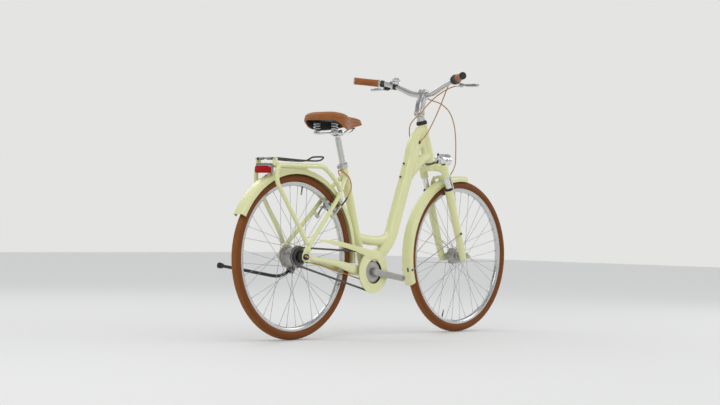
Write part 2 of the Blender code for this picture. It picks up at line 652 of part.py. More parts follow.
# Chain guard
def guard_piece():
    disc = rod("chain_guard", (BB_CENTRE.x, GUARD_Y - GUARD_HALF, BB_CENTRE.z),
               (BB_CENTRE.x, GUARD_Y + GUARD_HALF, BB_CENTRE.z),
               GUARD_RADIUS, sides=36)
    edge = spread_all([
        (-0.451, 0.4225), (-0.391, 0.4205), (-0.331, 0.4150), (-0.282, 0.4080), (-0.233, 0.3990),
        (-0.183, 0.3900), (-0.133, 0.3806), (-0.115, 0.3786), (-0.100, 0.3770), (-0.080, 0.3745),
        (-0.060, 0.3690)])
    low = spread_all([
        (-0.060, 0.3300), (-0.1050, 0.3300), (-0.1520, 0.3510), (-0.190, 0.3640), (-0.232, 0.3750),
        (-0.281, 0.3860), (-0.330, 0.3940), (-0.380, 0.4040), (-0.431, 0.4130), (-0.449, 0.4170)])
    strip = slab("guard_strip", edge + low, GUARD_Y - GUARD_HALF, GUARD_Y + GUARD_HALF)
    inner = [(x, z - 0.0016) for x, z in edge]
    lip = slab("guard_lip", edge + inner[::-1], GUARD_Y - GUARD_HALF, -0.0420)
    join(disc, strip, lip)
    cut(disc, rod("guard_hole", (BB_CENTRE.x, -0.08, BB_CENTRE.z), (BB_CENTRE.x, -0.04, BB_CENTRE.z),
                  GUARD_HOLE, sides=26))
    tab = block("guard_tab", spread((-0.335, -0.0575, 0.3630)), (0.014, 0.0050, 0.0800))
    join(disc, tab)
    lower = sweep("guard_seat", flip(CHAINSTAY), np.array(CHAINSTAY_DEPTH) + GAP,
                  np.array(CHAINSTAY_WIDTH) + GAP,
                  power=2.4, sides=8)
    cut(disc, lower)
    return publish(disc, "paint", parent=FRAME)


guard_piece()


# Wheels
def tyre_profile():
    half = RIM_HALF - RIM_WALL - GAP
    outer = [(RIM_OUTER - 0.0057, half), (RIM_OUTER + 0.0005, half), (RIM_OUTER + 0.0090, TYRE_HALF),
             (WHEEL_RADIUS - 0.0080, TYRE_HALF - 0.0048), (WHEEL_RADIUS, 0.0040)]
    inner = [(WHEEL_RADIUS - 0.0050, 0.0060), (RIM_OUTER + 0.0125, 0.0165), (RIM_OUTER - 0.0005, 0.0065)]
    return outer + [(r, -y) for r, y in outer[::-1]] + [(r, -y) for r, y in inner[::-1]] + inner


def rim_profile():
    bead = RIM_OUTER - 0.0062
    return [
        (RIM_OUTER, RIM_HALF), (RIM_OUTER, RIM_HALF - RIM_WALL), (bead, RIM_HALF - RIM_WALL),
        (bead, -RIM_HALF + RIM_WALL), (RIM_OUTER, -RIM_HALF + RIM_WALL), (RIM_OUTER, -RIM_HALF),
        (RIM_INNER + 0.0075, -RIM_HALF), (RIM_INNER, -0.0060), (RIM_INNER, 0.0060),
        (RIM_INNER + 0.0075, RIM_HALF)]


def spoke_piece(name, centre, flanges):
    """Spokes that run from a thin hoop inside the rim to the hub flanges, three crossings each."""
    hoop_outer = RIM_INNER * math.cos(math.pi / TYRE_STEPS) - GAP
    hoop_inner = hoop_outer - 0.0012
    half = 0.0050
    bm = bmesh.new()
    rows = []
    for k in range(SPOKES):
        a = 2 * math.pi * k / SPOKES
        rows.append([bm.verts.new((r * math.sin(a), y, r * math.cos(a)))
                     for r, y in ((hoop_outer, 0.0), (hoop_inner, -half), (hoop_inner, half))])
    for k in range(SPOKES):
        first = rows[k]
        second = rows[(k + 1) % SPOKES]
        bm.faces.new((first[0], first[1], second[1], second[0]))
        bm.faces.new((first[2], first[0], second[0], second[2]))
        side = 1 if k % 2 == 0 else -1
        lead = 1 if (k // 2) % 2 == 0 else -1
        flange_y, flange_radius = flanges[side]
        mid = 2 * math.pi * (k + 0.5) / SPOKES
        turn = mid + lead * math.radians(66.0)
        hole = flange_radius + GAP + SPOKE_HALF
        end = Vector((hole * math.sin(turn), flange_y + lead * (FLANGE_HALF + SPOKE_HALF),
                      hole * math.cos(turn)))
        level = hoop_inner * math.cos(math.pi / SPOKES)
        around = Vector((math.cos(mid), 0, -math.sin(mid)))
        start = Vector((level * math.sin(mid), 0, level * math.cos(mid)))
        line = (end - start).normalized()
        lay = line.cross(Y).normalized()
        rise = line.cross(lay).normalized()
        low, high = [], []
        for angle in (math.pi / 2, math.pi * 7 / 6, math.pi * 11 / 6):
            spread_low = around * math.cos(angle) + Y * math.sin(angle)
            spread_high = lay * math.copysign(1, lay.dot(around)) * math.cos(angle)
            spread_high = spread_high + rise * math.copysign(1, rise.y) * math.sin(angle)
            low.append(bm.verts.new(start + spread_low * SPOKE_HALF))
            high.append(bm.verts.new(end + spread_high * SPOKE_HALF))
        top, back, front = low
        left_low, left_high, right_low, right_high = first[1], first[2], second[1], second[2]
        for corners in ((left_high, right_high, top), (left_high, top, back), (left_low, left_high, back),
                        (left_low, back, front), (left_low, front, right_low), (right_low, front, right_high),
                        (front, top, right_high)):
            bm.faces.new(corners)
        for i in range(3):
            j = (i + 1) % 3
            bm.faces.new((low[i], low[j], high[j], high[i]))
        bm.faces.new(high)
    bmesh.ops.recalc_face_normals(bm, faces=bm.faces)
    return from_bmesh(name, bm, Matrix.Translation(centre))


def wheel(tag, axle, parent, hub_profile, flanges, valve_angle):
    place = Matrix.Translation(axle) @ WHEEL_TURN
    hub = publish(turned(tag + "_hub", hub_profile, place, 16), "silver", parent=parent)
    toward = Vector((math.sin(valve_angle), 0, math.cos(valve_angle)))
    spokes = spoke_piece(tag + "_spokes", axle, flanges)
    cut(spokes, rod(tag + "_hoop_hole", axle + toward * (RIM_INNER - 0.0115),
                    axle + toward * (RIM_INNER + 0.0085), 0.0034, sides=8))
    publish(spokes, "steel", parent=hub, smooth=0)
    rim = turned(tag + "_rim", rim_profile(), place, TYRE_STEPS)
    cut(rim, rod(tag + "_valve_hole", axle + toward * (RIM_INNER - 0.0065),
                 axle + toward * (RIM_OUTER - 0.0025), 0.0036, sides=8))
    publish(rim, "silver", parent=hub)
    publish(turned(tag + "_tyre", tyre_profile(), place, TYRE_STEPS), "tan_rubber", parent=hub, smooth=60)
    section = []
    for k in range(6):
        a = 2 * math.pi * k / 6
        section.append((RIM_OUTER + 0.0125 + 0.0105 * math.cos(a), 0.0110 * math.sin(a)))
    tube = turned(tag + "_inner_tube", section, place, 24)
    stem = rod(tag + "_valve", axle + toward * (RIM_INNER - 0.0365), axle + toward * (RIM_OUTER + 0.0075),
               0.0030, sides=8)
    join(tube, stem)
    publish(tube, "butyl", parent=hub, smooth=60)
    return hub


def rear_wheel():
    f = FLANGE_Y
    h = FLANGE_HALF
    bore = AXLE_RADIUS + GAP
    hub = [
        (bore, -0.0385), (0.0240, -0.0385), (0.0240, -0.0360), (REAR_SHELL - 0.004, -0.0345),
        (REAR_SHELL, -f - h), (REAR_FLANGE, -f - h), (REAR_FLANGE, -f + h),
        (REAR_SHELL - 0.001, -f + h), (REAR_SHELL - 0.001, f - h), (REAR_FLANGE, f - h),
        (REAR_FLANGE, f + h), (REAR_SHELL, f + h), (REAR_SHELL - 0.010, 0.0400), (0.0200, 0.0480),
        (bore, 0.0480)]
    flanges = {1: (f, REAR_FLANGE), -1: (-f, REAR_FLANGE)}
    wheel("rear", REAR_AXLE, FRAME, hub, flanges, math.radians(10.0))

    tip = SPROCKET_PITCH_RADIUS - CHAIN_HALF_HEIGHT - GAP
    sprocket = slab("rear_sprocket", gear_outline(REAR_AXLE, tip, tip - 0.0032, SPROCKET_TEETH),
                    CHAIN_Y - 0.0011, CHAIN_Y + 0.0011)
    boss = rod("sprocket_boss", REAR_AXLE - Y * 0.0388, REAR_AXLE - Y * 0.0480, 0.0200, sides=12)
    join(sprocket, boss)
    cut(sprocket, rod("sprocket_bore", REAR_AXLE - Y * 0.030, REAR_AXLE - Y * 0.060, AXLE_RADIUS + GAP,
                      sides=12))
    publish(sprocket, "dark_metal", REAR_AXLE, FRAME)

    cover = [
        (AXLE_RADIUS + GAP, -0.0484), (0.0240, -0.0484), (0.0255, -0.0520), (0.0235, -0.0600),
        (0.0170, -0.0660), (AXLE_RADIUS + GAP, -0.0660)]
    unit = turned("rear_shift_unit", cover, Matrix.Translation(REAR_AXLE) @ WHEEL_TURN, 16)
    arm = block("shift_arm", spread((-0.5330, -0.0570, 0.3335)), (0.0300, 0.0100, 0.0140), bevel=0.002)
    join(unit, arm)
    end = Vector(SHIFT_ROUTE[-1])
    toward = (end - Vector(SHIFT_ROUTE[-2])).normalized()
    clear = rod("shift_unit_socket", end - toward * 0.030, end + toward * GAP, CABLE_RADIUS + 2 * GAP,
                sides=12)
    cut(unit, clear)
    publish(unit, "black", parent=FRAME)

    axle = rod("rear_axle", REAR_AXLE - Y * 0.0900, REAR_AXLE + Y * 0.0900, AXLE_RADIUS, sides=8)
    face = DROPOUT_Y + DROPOUT_HALF + GAP
    for side, tag in ((1, "left"), (-1, "right")):
        join(axle, rod("rear_nut_" + tag, REAR_AXLE + Y * side * face,
                       REAR_AXLE + Y * side * (face + 0.0090), 0.0095, sides=6))
        join(axle, rod("rear_cap_" + tag, REAR_AXLE + Y * side * (face + 0.0085),
                       REAR_AXLE + Y * side * (face + 0.0150), 0.0080, 0.0055, sides=6))
    spacer = rod("rear_cone", REAR_AXLE + Y * (0.0480 + GAP),
                 REAR_AXLE + Y * (DROPOUT_Y - DROPOUT_HALF - GAP), 0.0090, sides=8)
    join(axle, spacer)
    publish(axle, "silver", parent=FRAME)


rear_wheel()


# Fenders
def fender(name, axle, outer, first, last, steps):
    """A curved strip with turned-down sides, from angle first to last round the axle, 0 ahead and 90 up."""
    edge = FENDER_EDGE - FENDER_OUTER + outer
    shape = [(edge, FENDER_HALF), (outer - 0.0085, FENDER_HALF - 0.0020), (outer, 0.0120)]
    over = shape + [(r, -y) for r, y in shape[::-1]]
    under = [(r - FENDER_WALL, y * (1 - FENDER_WALL / FENDER_HALF)) if 0 < i < len(over) - 1
             else (r, y * (1 - FENDER_WALL / FENDER_HALF)) for i, (r, y) in enumerate(over)]
    rings = []
    for a in np.radians(np.linspace(first, last, steps)):
        rings.append([(axle.x + r * math.cos(a), y, axle.z + r * math.sin(a)) for r, y in over + under[::-1]])
    return loft(name, rings)


def rear_fender_piece():
    strip = fender("rear_fender", REAR_AXLE, FENDER_OUTER, 152.0, -4.5, 20)
    out = Vector((SEAT_UP.z, 0, -SEAT_UP.x))
    reach = (seat_at(0.45) - REAR_AXLE).dot(out)
    foot = REAR_AXLE + out * (FENDER_OUTER - 0.0008)
    peg = rod("fender_peg", foot, REAR_AXLE + out * (reach - 0.008), 0.0070, sides=12)
    cut(peg, rod("fender_peg_seat", seat_at(0.38), seat_at(0.60), SEAT_TUBE_RADIUS + GAP, sides=14))
    post_end = Vector(RACK_CROSS_REAR)
    toward = (post_end - REAR_AXLE).normalized()
    post = rod("fender_post", REAR_AXLE + toward * (FENDER_OUTER - 0.0008), post_end, 0.0060, sides=12)
    cut(post, pipe("fender_post_seat", [(post_end.x, -0.05, post_end.z), (post_end.x, 0.05, post_end.z)],
                   RACK_RADIUS + GAP, sides=8))
    join(strip, peg, post)
    publish(strip, "paint", parent=FRAME, smooth=50)


# Rack, its clamp and the tail light
RACK_RADIUS = 0.0095
RACK_CROSS_REAR = spread((-0.7000, 0, 0.7275))
RACK_CROSS_FRONT = spread((-0.4550, 0, 0.7300))
RACK_SIDE = spread_all([
    (-0.2990, 0.0372, 0.6280), (-0.3330, 0.0510, 0.6590), (-0.3800, 0.0580, 0.6930),
    (-0.4120, 0.0600, 0.7150), (-0.4450, 0.0600, 0.7285), (-0.5000, 0.0600, 0.7290),
    (-0.6000, 0.0600, 0.7280), (-0.6850, 0.0600, 0.7272), (-0.7060, 0.0600, 0.7180),
    (-0.7140, 0.0605, 0.6950), (-0.7090, 0.0610, 0.6530), (-0.6760, 0.0620, 0.6050),
    (-0.6240, 0.0635, 0.5330), (-0.5720, 0.0650, 0.4620), (-0.5490, 0.0680, 0.4270),
    (-0.5380, 0.0700, 0.4030)])
HINGE_X, HINGE_Z = spread((-0.7220, 0.7530))


def rack_pieces():
    left = pipe("rear_rack", smooth_path(RACK_SIDE, 17), RACK_RADIUS, sides=8)
    right = pipe("rack_right", smooth_path(flip(RACK_SIDE), 17), RACK_RADIUS, sides=8)
    rear = pipe("rack_cross_rear", [(RACK_CROSS_REAR[0], y, RACK_CROSS_REAR[2]) for y in (-0.0600, 0.0600)],
                RACK_RADIUS, sides=8)
    front = pipe("rack_cross_front", [(RACK_CROSS_FRONT[0], y, RACK_CROSS_FRONT[2]) for y in (-0.0600,
                                                                                              0.0600)],
                 0.0060, sides=8)
    join(left, rear, front, right)
    for side in (1, -1):
        tag = "left" if side > 0 else "right"
        ear = block("rack_ear_" + tag, spread((-0.7140, side * 0.0480, 0.7430)), (0.0260, 0.0050, 0.0310))
        join(left, ear)
        stay = SEATSTAY if side > 0 else flip(SEATSTAY)
        cut(left, pipe("rack_foot_seat_" + tag, smooth_path(stay, 8), SEATSTAY_RADIUS + GAP, sides=8))
    cut(left, rod("rack_hinge_hole", (HINGE_X, -0.07, HINGE_Z), (HINGE_X, 0.07, HINGE_Z), 0.0028, sides=12))
    rack = publish(left, "paint", parent=FRAME)

    pin = rod("rack_clamp", (HINGE_X, -0.0540, HINGE_Z), (HINGE_X, 0.0540, HINGE_Z), 0.0025, sides=12)
    for side in (1, -1):
        tag = "left" if side > 0 else "right"
        arm = [(HINGE_X, side * 0.0410, HINGE_Z)]
        arm += spread_all([(-0.6900, side * 0.0410, 0.7560), (-0.5600, side * 0.0420, 0.7520),
                           (-0.4700, side * 0.0420, 0.7520), (-0.4300, side * 0.0400, 0.7570),
                           (-0.4080, side * 0.0340, 0.7690)])
        join(pin, pipe("clamp_arm_" + tag, smooth_path(arm, 7), 0.0035, sides=6))
        join(pin, rod("clamp_knuckle_" + tag, (HINGE_X, side * 0.0380, HINGE_Z),
                      (HINGE_X, side * 0.0450, HINGE_Z), 0.0060, sides=6))
    nose = spread_all([(-0.4080, -0.0350, 0.7690), (-0.4030, 0.0, 0.7720), (-0.4080, 0.0350, 0.7690)])
    join(pin, pipe("clamp_nose", smooth_path(nose, 5), 0.0038, sides=6))
    join(pin, block("clamp_plate", spread((-0.5600, 0, 0.7530)), (0.0300, 0.0860, 0.0040)))
    publish(pin, "black", Vector((HINGE_X, 0, HINGE_Z)), rack)

    body = block("tail_light_body", spread((-0.7265, 0, 0.7125)), (0.0325, 0.0760, 0.0370), bevel=0.004)
    lens = block("tail_light_lens", spread((-0.7400, 0, 0.7075)), (0.0120, 0.0700, 0.0240), bevel=0.002)
    cut(body, block("lens_pocket", spread((-0.7500, 0, 0.7075)),
                    (0.0320 + 2 * GAP, 0.0700 + 2 * GAP, 0.0240 + 2 * GAP)))
    across = [(RACK_CROSS_REAR[0], y, RACK_CROSS_REAR[2]) for y in (-0.07, 0.07)]
    cut(body, pipe("light_seat", across, RACK_RADIUS + GAP, sides=8))
    publish(body, "grey_plastic", parent=rack)
    publish(lens, "red_lens", parent=rack)


rack_pieces()
rear_fender_piece()


# Kickstand
STAND_PIVOT = Vector(spread((-0.4750, 0.0900, 0.2900)))
STAND_AXIS = Vector((-0.2437, 0.9300, 0.1500)).normalized()


def stand_pieces():
    mount = block("kickstand_mount", spread((-0.4750, 0.0760, 0.3120)), (0.0360, 0.0080, 0.0560))
    knuckle = rod("stand_knuckle", STAND_PIVOT - STAND_AXIS * 0.0190, STAND_PIVOT - STAND_AXIS * 0.0065,
                  0.0140, sides=14)
    pad = block("stand_pad", spread((-0.4750, 0.0690, 0.3340)), (0.0360, 0.0120, 0.0200))
    join(mount, knuckle, pad)
    lower = sweep("stand_seat", CHAINSTAY, np.array(CHAINSTAY_DEPTH) + GAP, np.array(CHAINSTAY_WIDTH) + GAP,
                  power=2.4, sides=8)
    cut(mount, lower, rod("stand_pin_hole", STAND_PIVOT - STAND_AXIS * 0.030,
                          STAND_PIVOT + STAND_AXIS * 0.010, 0.0040 + GAP, sides=14))
    mount = publish(mount, "black", parent=FRAME)
    leg_path = [tuple(STAND_PIVOT)]
    leg_path += spread_all([(-0.5000, 0.0920, 0.2730), (-0.5450, 0.0960, 0.2640), (-0.6200, 0.1070, 0.2740),
                            (-0.7300, 0.1230, 0.2920), (-0.8300, 0.1370, 0.3080)])
    leg = pipe("kickstand_leg", smooth_path(leg_path, 9), 0.0070, sides=8)
    knob = rod("stand_hub", STAND_PIVOT - STAND_AXIS * (0.0065 - GAP), STAND_PIVOT + STAND_AXIS * 0.0090,
               0.0130, sides=14)
    pin = rod("stand_pin", STAND_PIVOT - STAND_AXIS * 0.0185, STAND_PIVOT, 0.0040, sides=14)
    foot = ball("stand_foot", spread((-0.8330, 0.1374, 0.3085)), 0.0140, (1.0, 0.8, 1.0), sides=8)
    join(leg, knob, pin, foot)
    publish(leg, "black", STAND_PIVOT, mount)


stand_pieces()


# Seat clamp, seat post and saddle
def seat_pieces():
    low = seat_at(0.7310)
    high = seat_at(0.7500)
    clamp = rod("seat_clamp", low, high, SEAT_TUBE_RADIUS + 0.0045, sides=16)
    turn = Matrix.Rotation(SEAT_ANGLE - math.pi / 2, 4, "Y")
    join(clamp, block("clamp_ear", seat_at(0.7405, ahead=-0.0250), (0.0120, 0.0180, 0.0150), turn=turn))
    join(clamp, rod("clamp_bolt", seat_at(0.7405, ahead=-0.0255, y=-0.0150),
                    seat_at(0.7405, ahead=-0.0255, y=0.0150), 0.0038, sides=12))
    cut(clamp, rod("clamp_bore", seat_at(0.70), seat_at(0.78), SEAT_TUBE_RADIUS + GAP, sides=14))
    publish(clamp, "silver", parent=FRAME)

    post = rod("seatpost", seat_at(SEATPOST_FOOT), seat_at(SEATPOST_TOP), SEATPOST_RADIUS, sides=14)
    head = rod("post_head", Vector((-0.2870, -0.0300, 0.8790)), Vector((-0.2870, 0.0300, 0.8790)), 0.0125,
               sides=14)
    bolt = rod("post_bolt", Vector((-0.2870, -0.0345, 0.8790)), Vector((-0.2870, 0.0345, 0.8790)), 0.0055,
               sides=12)
    join(post, head, bolt)
    half = rail_path(1)
    ring = closed_path(half + flip(half)[::-1], 34)
    cut(post, pipe("rail_groove", ring, RAIL_RADIUS + 2 * GAP, sides=6, closed=True))
    post = publish(post, "silver", seat_at(SEAT_TUBE_TOP), FRAME)

    rails = pipe("saddle_rails", ring, RAIL_RADIUS, sides=6, closed=True)
    for side in (1, -1):
        under = Vector((SPRING_X, side * SPRING_Y, SPRING_LOW - SPRING_WIRE - GAP))
        join(rails, rod("spring_seat_%d" % (side + 1), under - Z * 0.0050, under,
                        SPRING_RADIUS + SPRING_WIRE, sides=10))
    publish(rails, "chrome", parent=post)
    for side, name in ((1, "saddle_spring_left"), (-1, "saddle_spring_right")):
        publish(spring_piece(name, side), "chrome", parent=rails, smooth=60)
    base = publish(saddle_shape("saddle_base", True), "black", parent=rails, smooth=50)
    publish(saddle_shape("saddle_cover", False), "tan_cover", parent=base, smooth=60)


RAIL_RADIUS = 0.0035
SPRING_X = -0.3600
SPRING_Y = 0.0520
SPRING_LOW = 0.8795
SPRING_HIGH = 0.9170
SPRING_RADIUS = 0.0135
SPRING_WIRE = 0.0021
SPRING_TURNS = 4.0


def rail_path(side):
    """One rail from the nose down under the saddle and back to the spring seat."""
    points = [
        (-0.1850, 0.0080, 0.9020), (-0.2000, 0.0140, 0.8975), (-0.2180, 0.0190, 0.8860),
        (-0.2380, 0.0210, 0.8790), (-0.2870, 0.0220, 0.8790), (-0.3150, 0.0250, 0.8780),
        (-0.3380, 0.0380, 0.8745), (-0.3500, 0.0500, 0.8735), (-0.3640, 0.0540, 0.8735),
        (-0.3760, 0.0440, 0.8735), (-0.3780, 0.0200, 0.8735)]
    return [(x, y * side, z) for x, y, z in points]


def closed_path(points, count):
    """Evenly spread points on a smooth closed curve through the given ones."""
    ring = list(points) + [points[0], points[1], points[2]]
    fine = smooth_path(ring, 4 * count)
    start = int(np.argmin(np.linalg.norm(fine[:count] - np.array(points[1]), axis=1)))
    tail = count * 2 + int(np.argmin(np.linalg.norm(fine[count * 2:] - np.array(points[1]), axis=1)))
    loop = fine[start:tail]
    run = np.concatenate([[0], np.cumsum(np.linalg.norm(np.diff(loop, axis=0), axis=1))])
    at = np.linspace(0, run[-1], count + 1)[:-1]
    return np.column_stack([np.interp(at, run, loop[:, k]) for k in range(3)])


def spring_piece(name, side):
    count = int(SPRING_TURNS * 8) + 1
    t = np.linspace(0, 1, count)
    a = 2 * math.pi * SPRING_TURNS * t
    rise = SPRING_HIGH - SPRING_LOW
    points = np.column_stack([SPRING_X + SPRING_RADIUS * np.cos(a),
                              side * SPRING_Y + SPRING_RADIUS * np.sin(a) * side,
                              SPRING_LOW + rise * t])
    return pipe(name, points, SPRING_WIRE, sides=6)


SADDLE = [
    (-0.4250, 0.0300, 0.9480, 0.9390), (-0.4180, 0.0600, 0.9580, 0.9375),
    (-0.4020, 0.0850, 0.9640, 0.9365), (-0.3800, 0.0985, 0.9668, 0.9355),
    (-0.3560, 0.1015, 0.9670, 0.9345), (-0.3300, 0.0950, 0.9650, 0.9335),
    (-0.3020, 0.0790, 0.9615, 0.9320), (-0.2750, 0.0600, 0.9575, 0.9300),
    (-0.2480, 0.0450, 0.9545, 0.9275), (-0.2200, 0.0360, 0.9525, 0.9250),
    (-0.1920, 0.0315, 0.9505, 0.9225), (-0.1680, 0.0270, 0.9470, 0.9210),
    (-0.1560, 0.0200, 0.9420, 0.9215), (-0.1500, 0.0090, 0.9350, 0.9240)]


def saddle_shape(name, under):
    """The padded top with its crown and drawn-in sides, or the shell below it."""
    rings = []
    angles = np.linspace(0, math.pi, 13)
    for x, half, top, low in SADDLE:
        if under:
            inside = half - 0.0035
            low = low - 0.0004
            floor = low - 0.0145
            rings.append([(x, y * inside, z) for y, z in
                          ((1.0, low - GAP), (0.4, low - GAP), (-0.4, low - GAP), (-1.0, low - GAP),
                           (-0.97, low - 0.0060),
                           (-0.70, floor), (0.0, floor - 0.0010), (0.70, floor), (0.97, low - 0.0060))])
        else:
            c = np.cos(angles)
            s = np.sin(angles)
            y = np.sign(c) * np.abs(c) ** 0.72 * half
            draw = 1 - 0.045 * np.exp(-((s - 0.0) / 0.22) ** 2)
            z = low + (top - low) * s ** 0.62
            rings.append(list(zip([x] * len(y), y * draw, z)))
    return loft(name, rings)


seat_pieces()


# Rear brake
def brake_arm(name, pivot, up, ahead, side, lift):
    """A linear-pull arm with its boss, pad and pad stud; up runs along the arm, ahead along its pivot."""
    out = Y * side
    path = [pivot - up * 0.006, pivot + up * lift * 0.5 + out * 0.0060, pivot + up * lift + out * 0.0040]
    arm = sweep_free(name, path, ahead, 0.0045, [0.0075, 0.0058, 0.0045])
    boss = rod(name + "_boss", pivot - ahead * 0.0060, pivot + ahead * 0.0080, 0.0085, sides=10)
    join(arm, boss)
    return arm


def sweep_free(name, path, across, half_across, half_other):
    """A flat bar along a path; across gives the direction of its thickness."""
    path = np.array([tuple(p) for p in path], float)
    step = np.gradient(path, axis=0)
    tangent = step / np.linalg.norm(step, axis=1)[:, None]
    a = np.array(tuple(across), float)
    other = np.cross(tangent, a)
    other = other / np.linalg.norm(other, axis=1)[:, None]
    half_other = np.broadcast_to(half_other, len(path))
    rings = []
    for i in range(len(path)):
        w = half_other[i]
        e = half_across
        ring = [
            (w, e * 0.6), (w * 0.75, e), (-w * 0.75, e), (-w, e * 0.6), (-w, -e * 0.6),
            (-w * 0.75, -e), (w * 0.75, -e), (w, -e * 0.6)]
        rings.append([path[i] + other[i] * p + a * q for p, q in ring])
    return loft(name, rings)


def brake_pair(axle, up, ahead, pivot_up, pivot_ahead, arm_y, lift, parent, names):
    """The two arms of a rim brake. Pads face the rim's side walls."""
    turn = Matrix((ahead, up.cross(ahead), up)).transposed().to_4x4()
    for side, name in ((1, names[0]), (-1, names[1])):
        pivot = axle + up * pivot_up + ahead * pivot_ahead + Y * side * arm_y
        arm = brake_arm(name, pivot, up, ahead, side, lift)
        pad_up = math.sqrt(PAD_RADIUS ** 2 - pivot_ahead ** 2)
        pad_at = axle + up * pad_up + ahead * pivot_ahead + Y * side * (RIM_HALF + PAD_GAP + 0.0055)
        stud_from = axle + up * pad_up + ahead * pivot_ahead + Y * side * (RIM_HALF + PAD_GAP + 0.0060)
        stud_to = axle + up * pad_up + ahead * pivot_ahead + Y * side * (arm_y + 0.0135)
        join(arm, rod(name + "_stud", stud_from, stud_to, 0.0038, sides=8))
        pad = block(name + "_pad", (0, 0, 0), (0.0580, 0.0110, 0.0120))
        pad.data.transform(Matrix.Translation(pad_at) @ turn)
        join(arm, pad)
        cut(arm, rod(name + "_pin_hole", pivot - ahead * 0.012, pivot + ahead * 0.0065, 0.0040 + GAP,
                     sides=12))
        publish(arm, "silver", pivot, parent)


# Fork, steered pieces
ARCH_RADIUS = 0.0075
ARCH_HALF = [tuple(steer(0.2850, 0.0260, LEG_Y - 0.004)), tuple(steer(0.3200, 0.0400, 0.0530)),
             tuple(steer(0.3540, 0.0410, 0.0400)), tuple(steer(0.3680, 0.0410, 0.0200)),
             tuple(steer(0.3705, 0.0410, 0))]
ARCH = smooth_path(ARCH_HALF + flip(ARCH_HALF[:-1])[::-1], 13)

CROWN_SPOTS = [steer(0.4080, LEG_AHEAD, -LEG_Y), steer(0.4230, 0.0120, -0.040), steer(0.4290, 0.0060, 0),
               steer(0.4230, 0.0120, 0.040), steer(0.4080, LEG_AHEAD, LEG_Y)]
CROWN_PATH = smooth_path([tuple(p) for p in CROWN_SPOTS], 9)


def fork_pieces():
    steerer = rod("fork_crown", steer(CROWN_HIGH - 0.01), steer(HEAD_HIGH + 0.0155), STEERER_RADIUS, sides=12)
    body = sweep_free("crown_body", CROWN_PATH, UP, 0.0160, 0.0165)
    join(steerer, body)
    join(steerer, rod("crown_seat", steer(0.4200), steer(HEAD_LOW - 0.0085 - GAP), 0.0215, sides=12))
    for side in (1, -1):
        tag = "left" if side > 0 else "right"
        join(steerer, rod("crown_leg_" + tag, steer(0.3760, LEG_AHEAD, side * LEG_Y),
                          steer(0.4330, LEG_AHEAD, side * LEG_Y), 0.0185, 0.0170, sides=12))
        join(steerer, rod("stanchion_" + tag, steer(0.2000, LEG_AHEAD, side * LEG_Y),
                          steer(0.4000, LEG_AHEAD, side * LEG_Y), STANCHION_RADIUS, sides=12))
    cut(steerer, rod("steerer_bore", steer(0.5400), steer(HEAD_HIGH + 0.05), STEERER_BORE, sides=12))
    crown = publish(steerer, "paint", steer(HEAD_LOW), FRAME)

    legs = rod("fork_lowers", steer(-0.0280, LEG_AHEAD, LEG_Y), steer(LOWER_TOP, LEG_AHEAD, LEG_Y),
               LOWER_FOOT, LOWER_RADIUS, sides=12)
    right = rod("lower_right", steer(-0.0280, LEG_AHEAD, -LEG_Y), steer(LOWER_TOP, LEG_AHEAD, -LEG_Y),
                LOWER_FOOT, LOWER_RADIUS, sides=12)
    join(legs, pipe("fork_arch", ARCH, ARCH_RADIUS, sides=8), right)
    for side in (1, -1):
        tag = "left" if side > 0 else "right"
        inner = FORK_SPACING / 2 + GAP
        plate_in = steer(AXLE_DROP, FORK_OFFSET, side * inner)
        plate_out = steer(AXLE_DROP, FORK_OFFSET, side * (inner + 0.0070))
        join(legs, rod("dropout_boss_" + tag, plate_in, plate_out, 0.0150, sides=12))
        web = block("dropout_web_" + tag, (0, 0, 0), (0.0340, 0.0070, 0.0260))
        web.data.transform(Matrix.Translation(steer(AXLE_DROP + 0.002, 0.0330,
                                                    side * (inner + 0.0035))) @ STEER_TURN)
        join(legs, web)
        join(legs, rod("brake_boss_" + tag, steer(BRAKE_UP, LEG_AHEAD + 0.010, side * BRAKE_Y),
                       steer(BRAKE_UP, BRAKE_AHEAD - 0.0065, side * BRAKE_Y), 0.0080, sides=8))
        join(legs, rod("brake_peg_" + tag, steer(BRAKE_UP, 0.0400, side * BRAKE_Y),
                       steer(BRAKE_UP, BRAKE_AHEAD + 0.0055, side * BRAKE_Y), 0.0040, sides=8))
        join(legs, rod("brake_root_" + tag, steer(BRAKE_UP, 0.0230, side * (BRAKE_Y - 0.0040)),
                       steer(BRAKE_UP, 0.0230, side * LEG_Y), 0.0090, sides=8))
        bore = rod("lower_bore_" + tag, steer(0.1300, LEG_AHEAD, side * LEG_Y),
                   steer(LOWER_TOP + 0.01, LEG_AHEAD, side * LEG_Y), STANCHION_RADIUS + GAP, sides=12)
        cut(legs, bore)
    cut(legs, rod("fork_axle_bore", FRONT_AXLE - Y * 0.09, FRONT_AXLE + Y * 0.09, AXLE_RADIUS + GAP,
                  sides=12))
    lowers = publish(legs, "paint", steer(LOWER_TOP), crown)
    return crown, lowers


CROWN, LOWERS = fork_pieces()


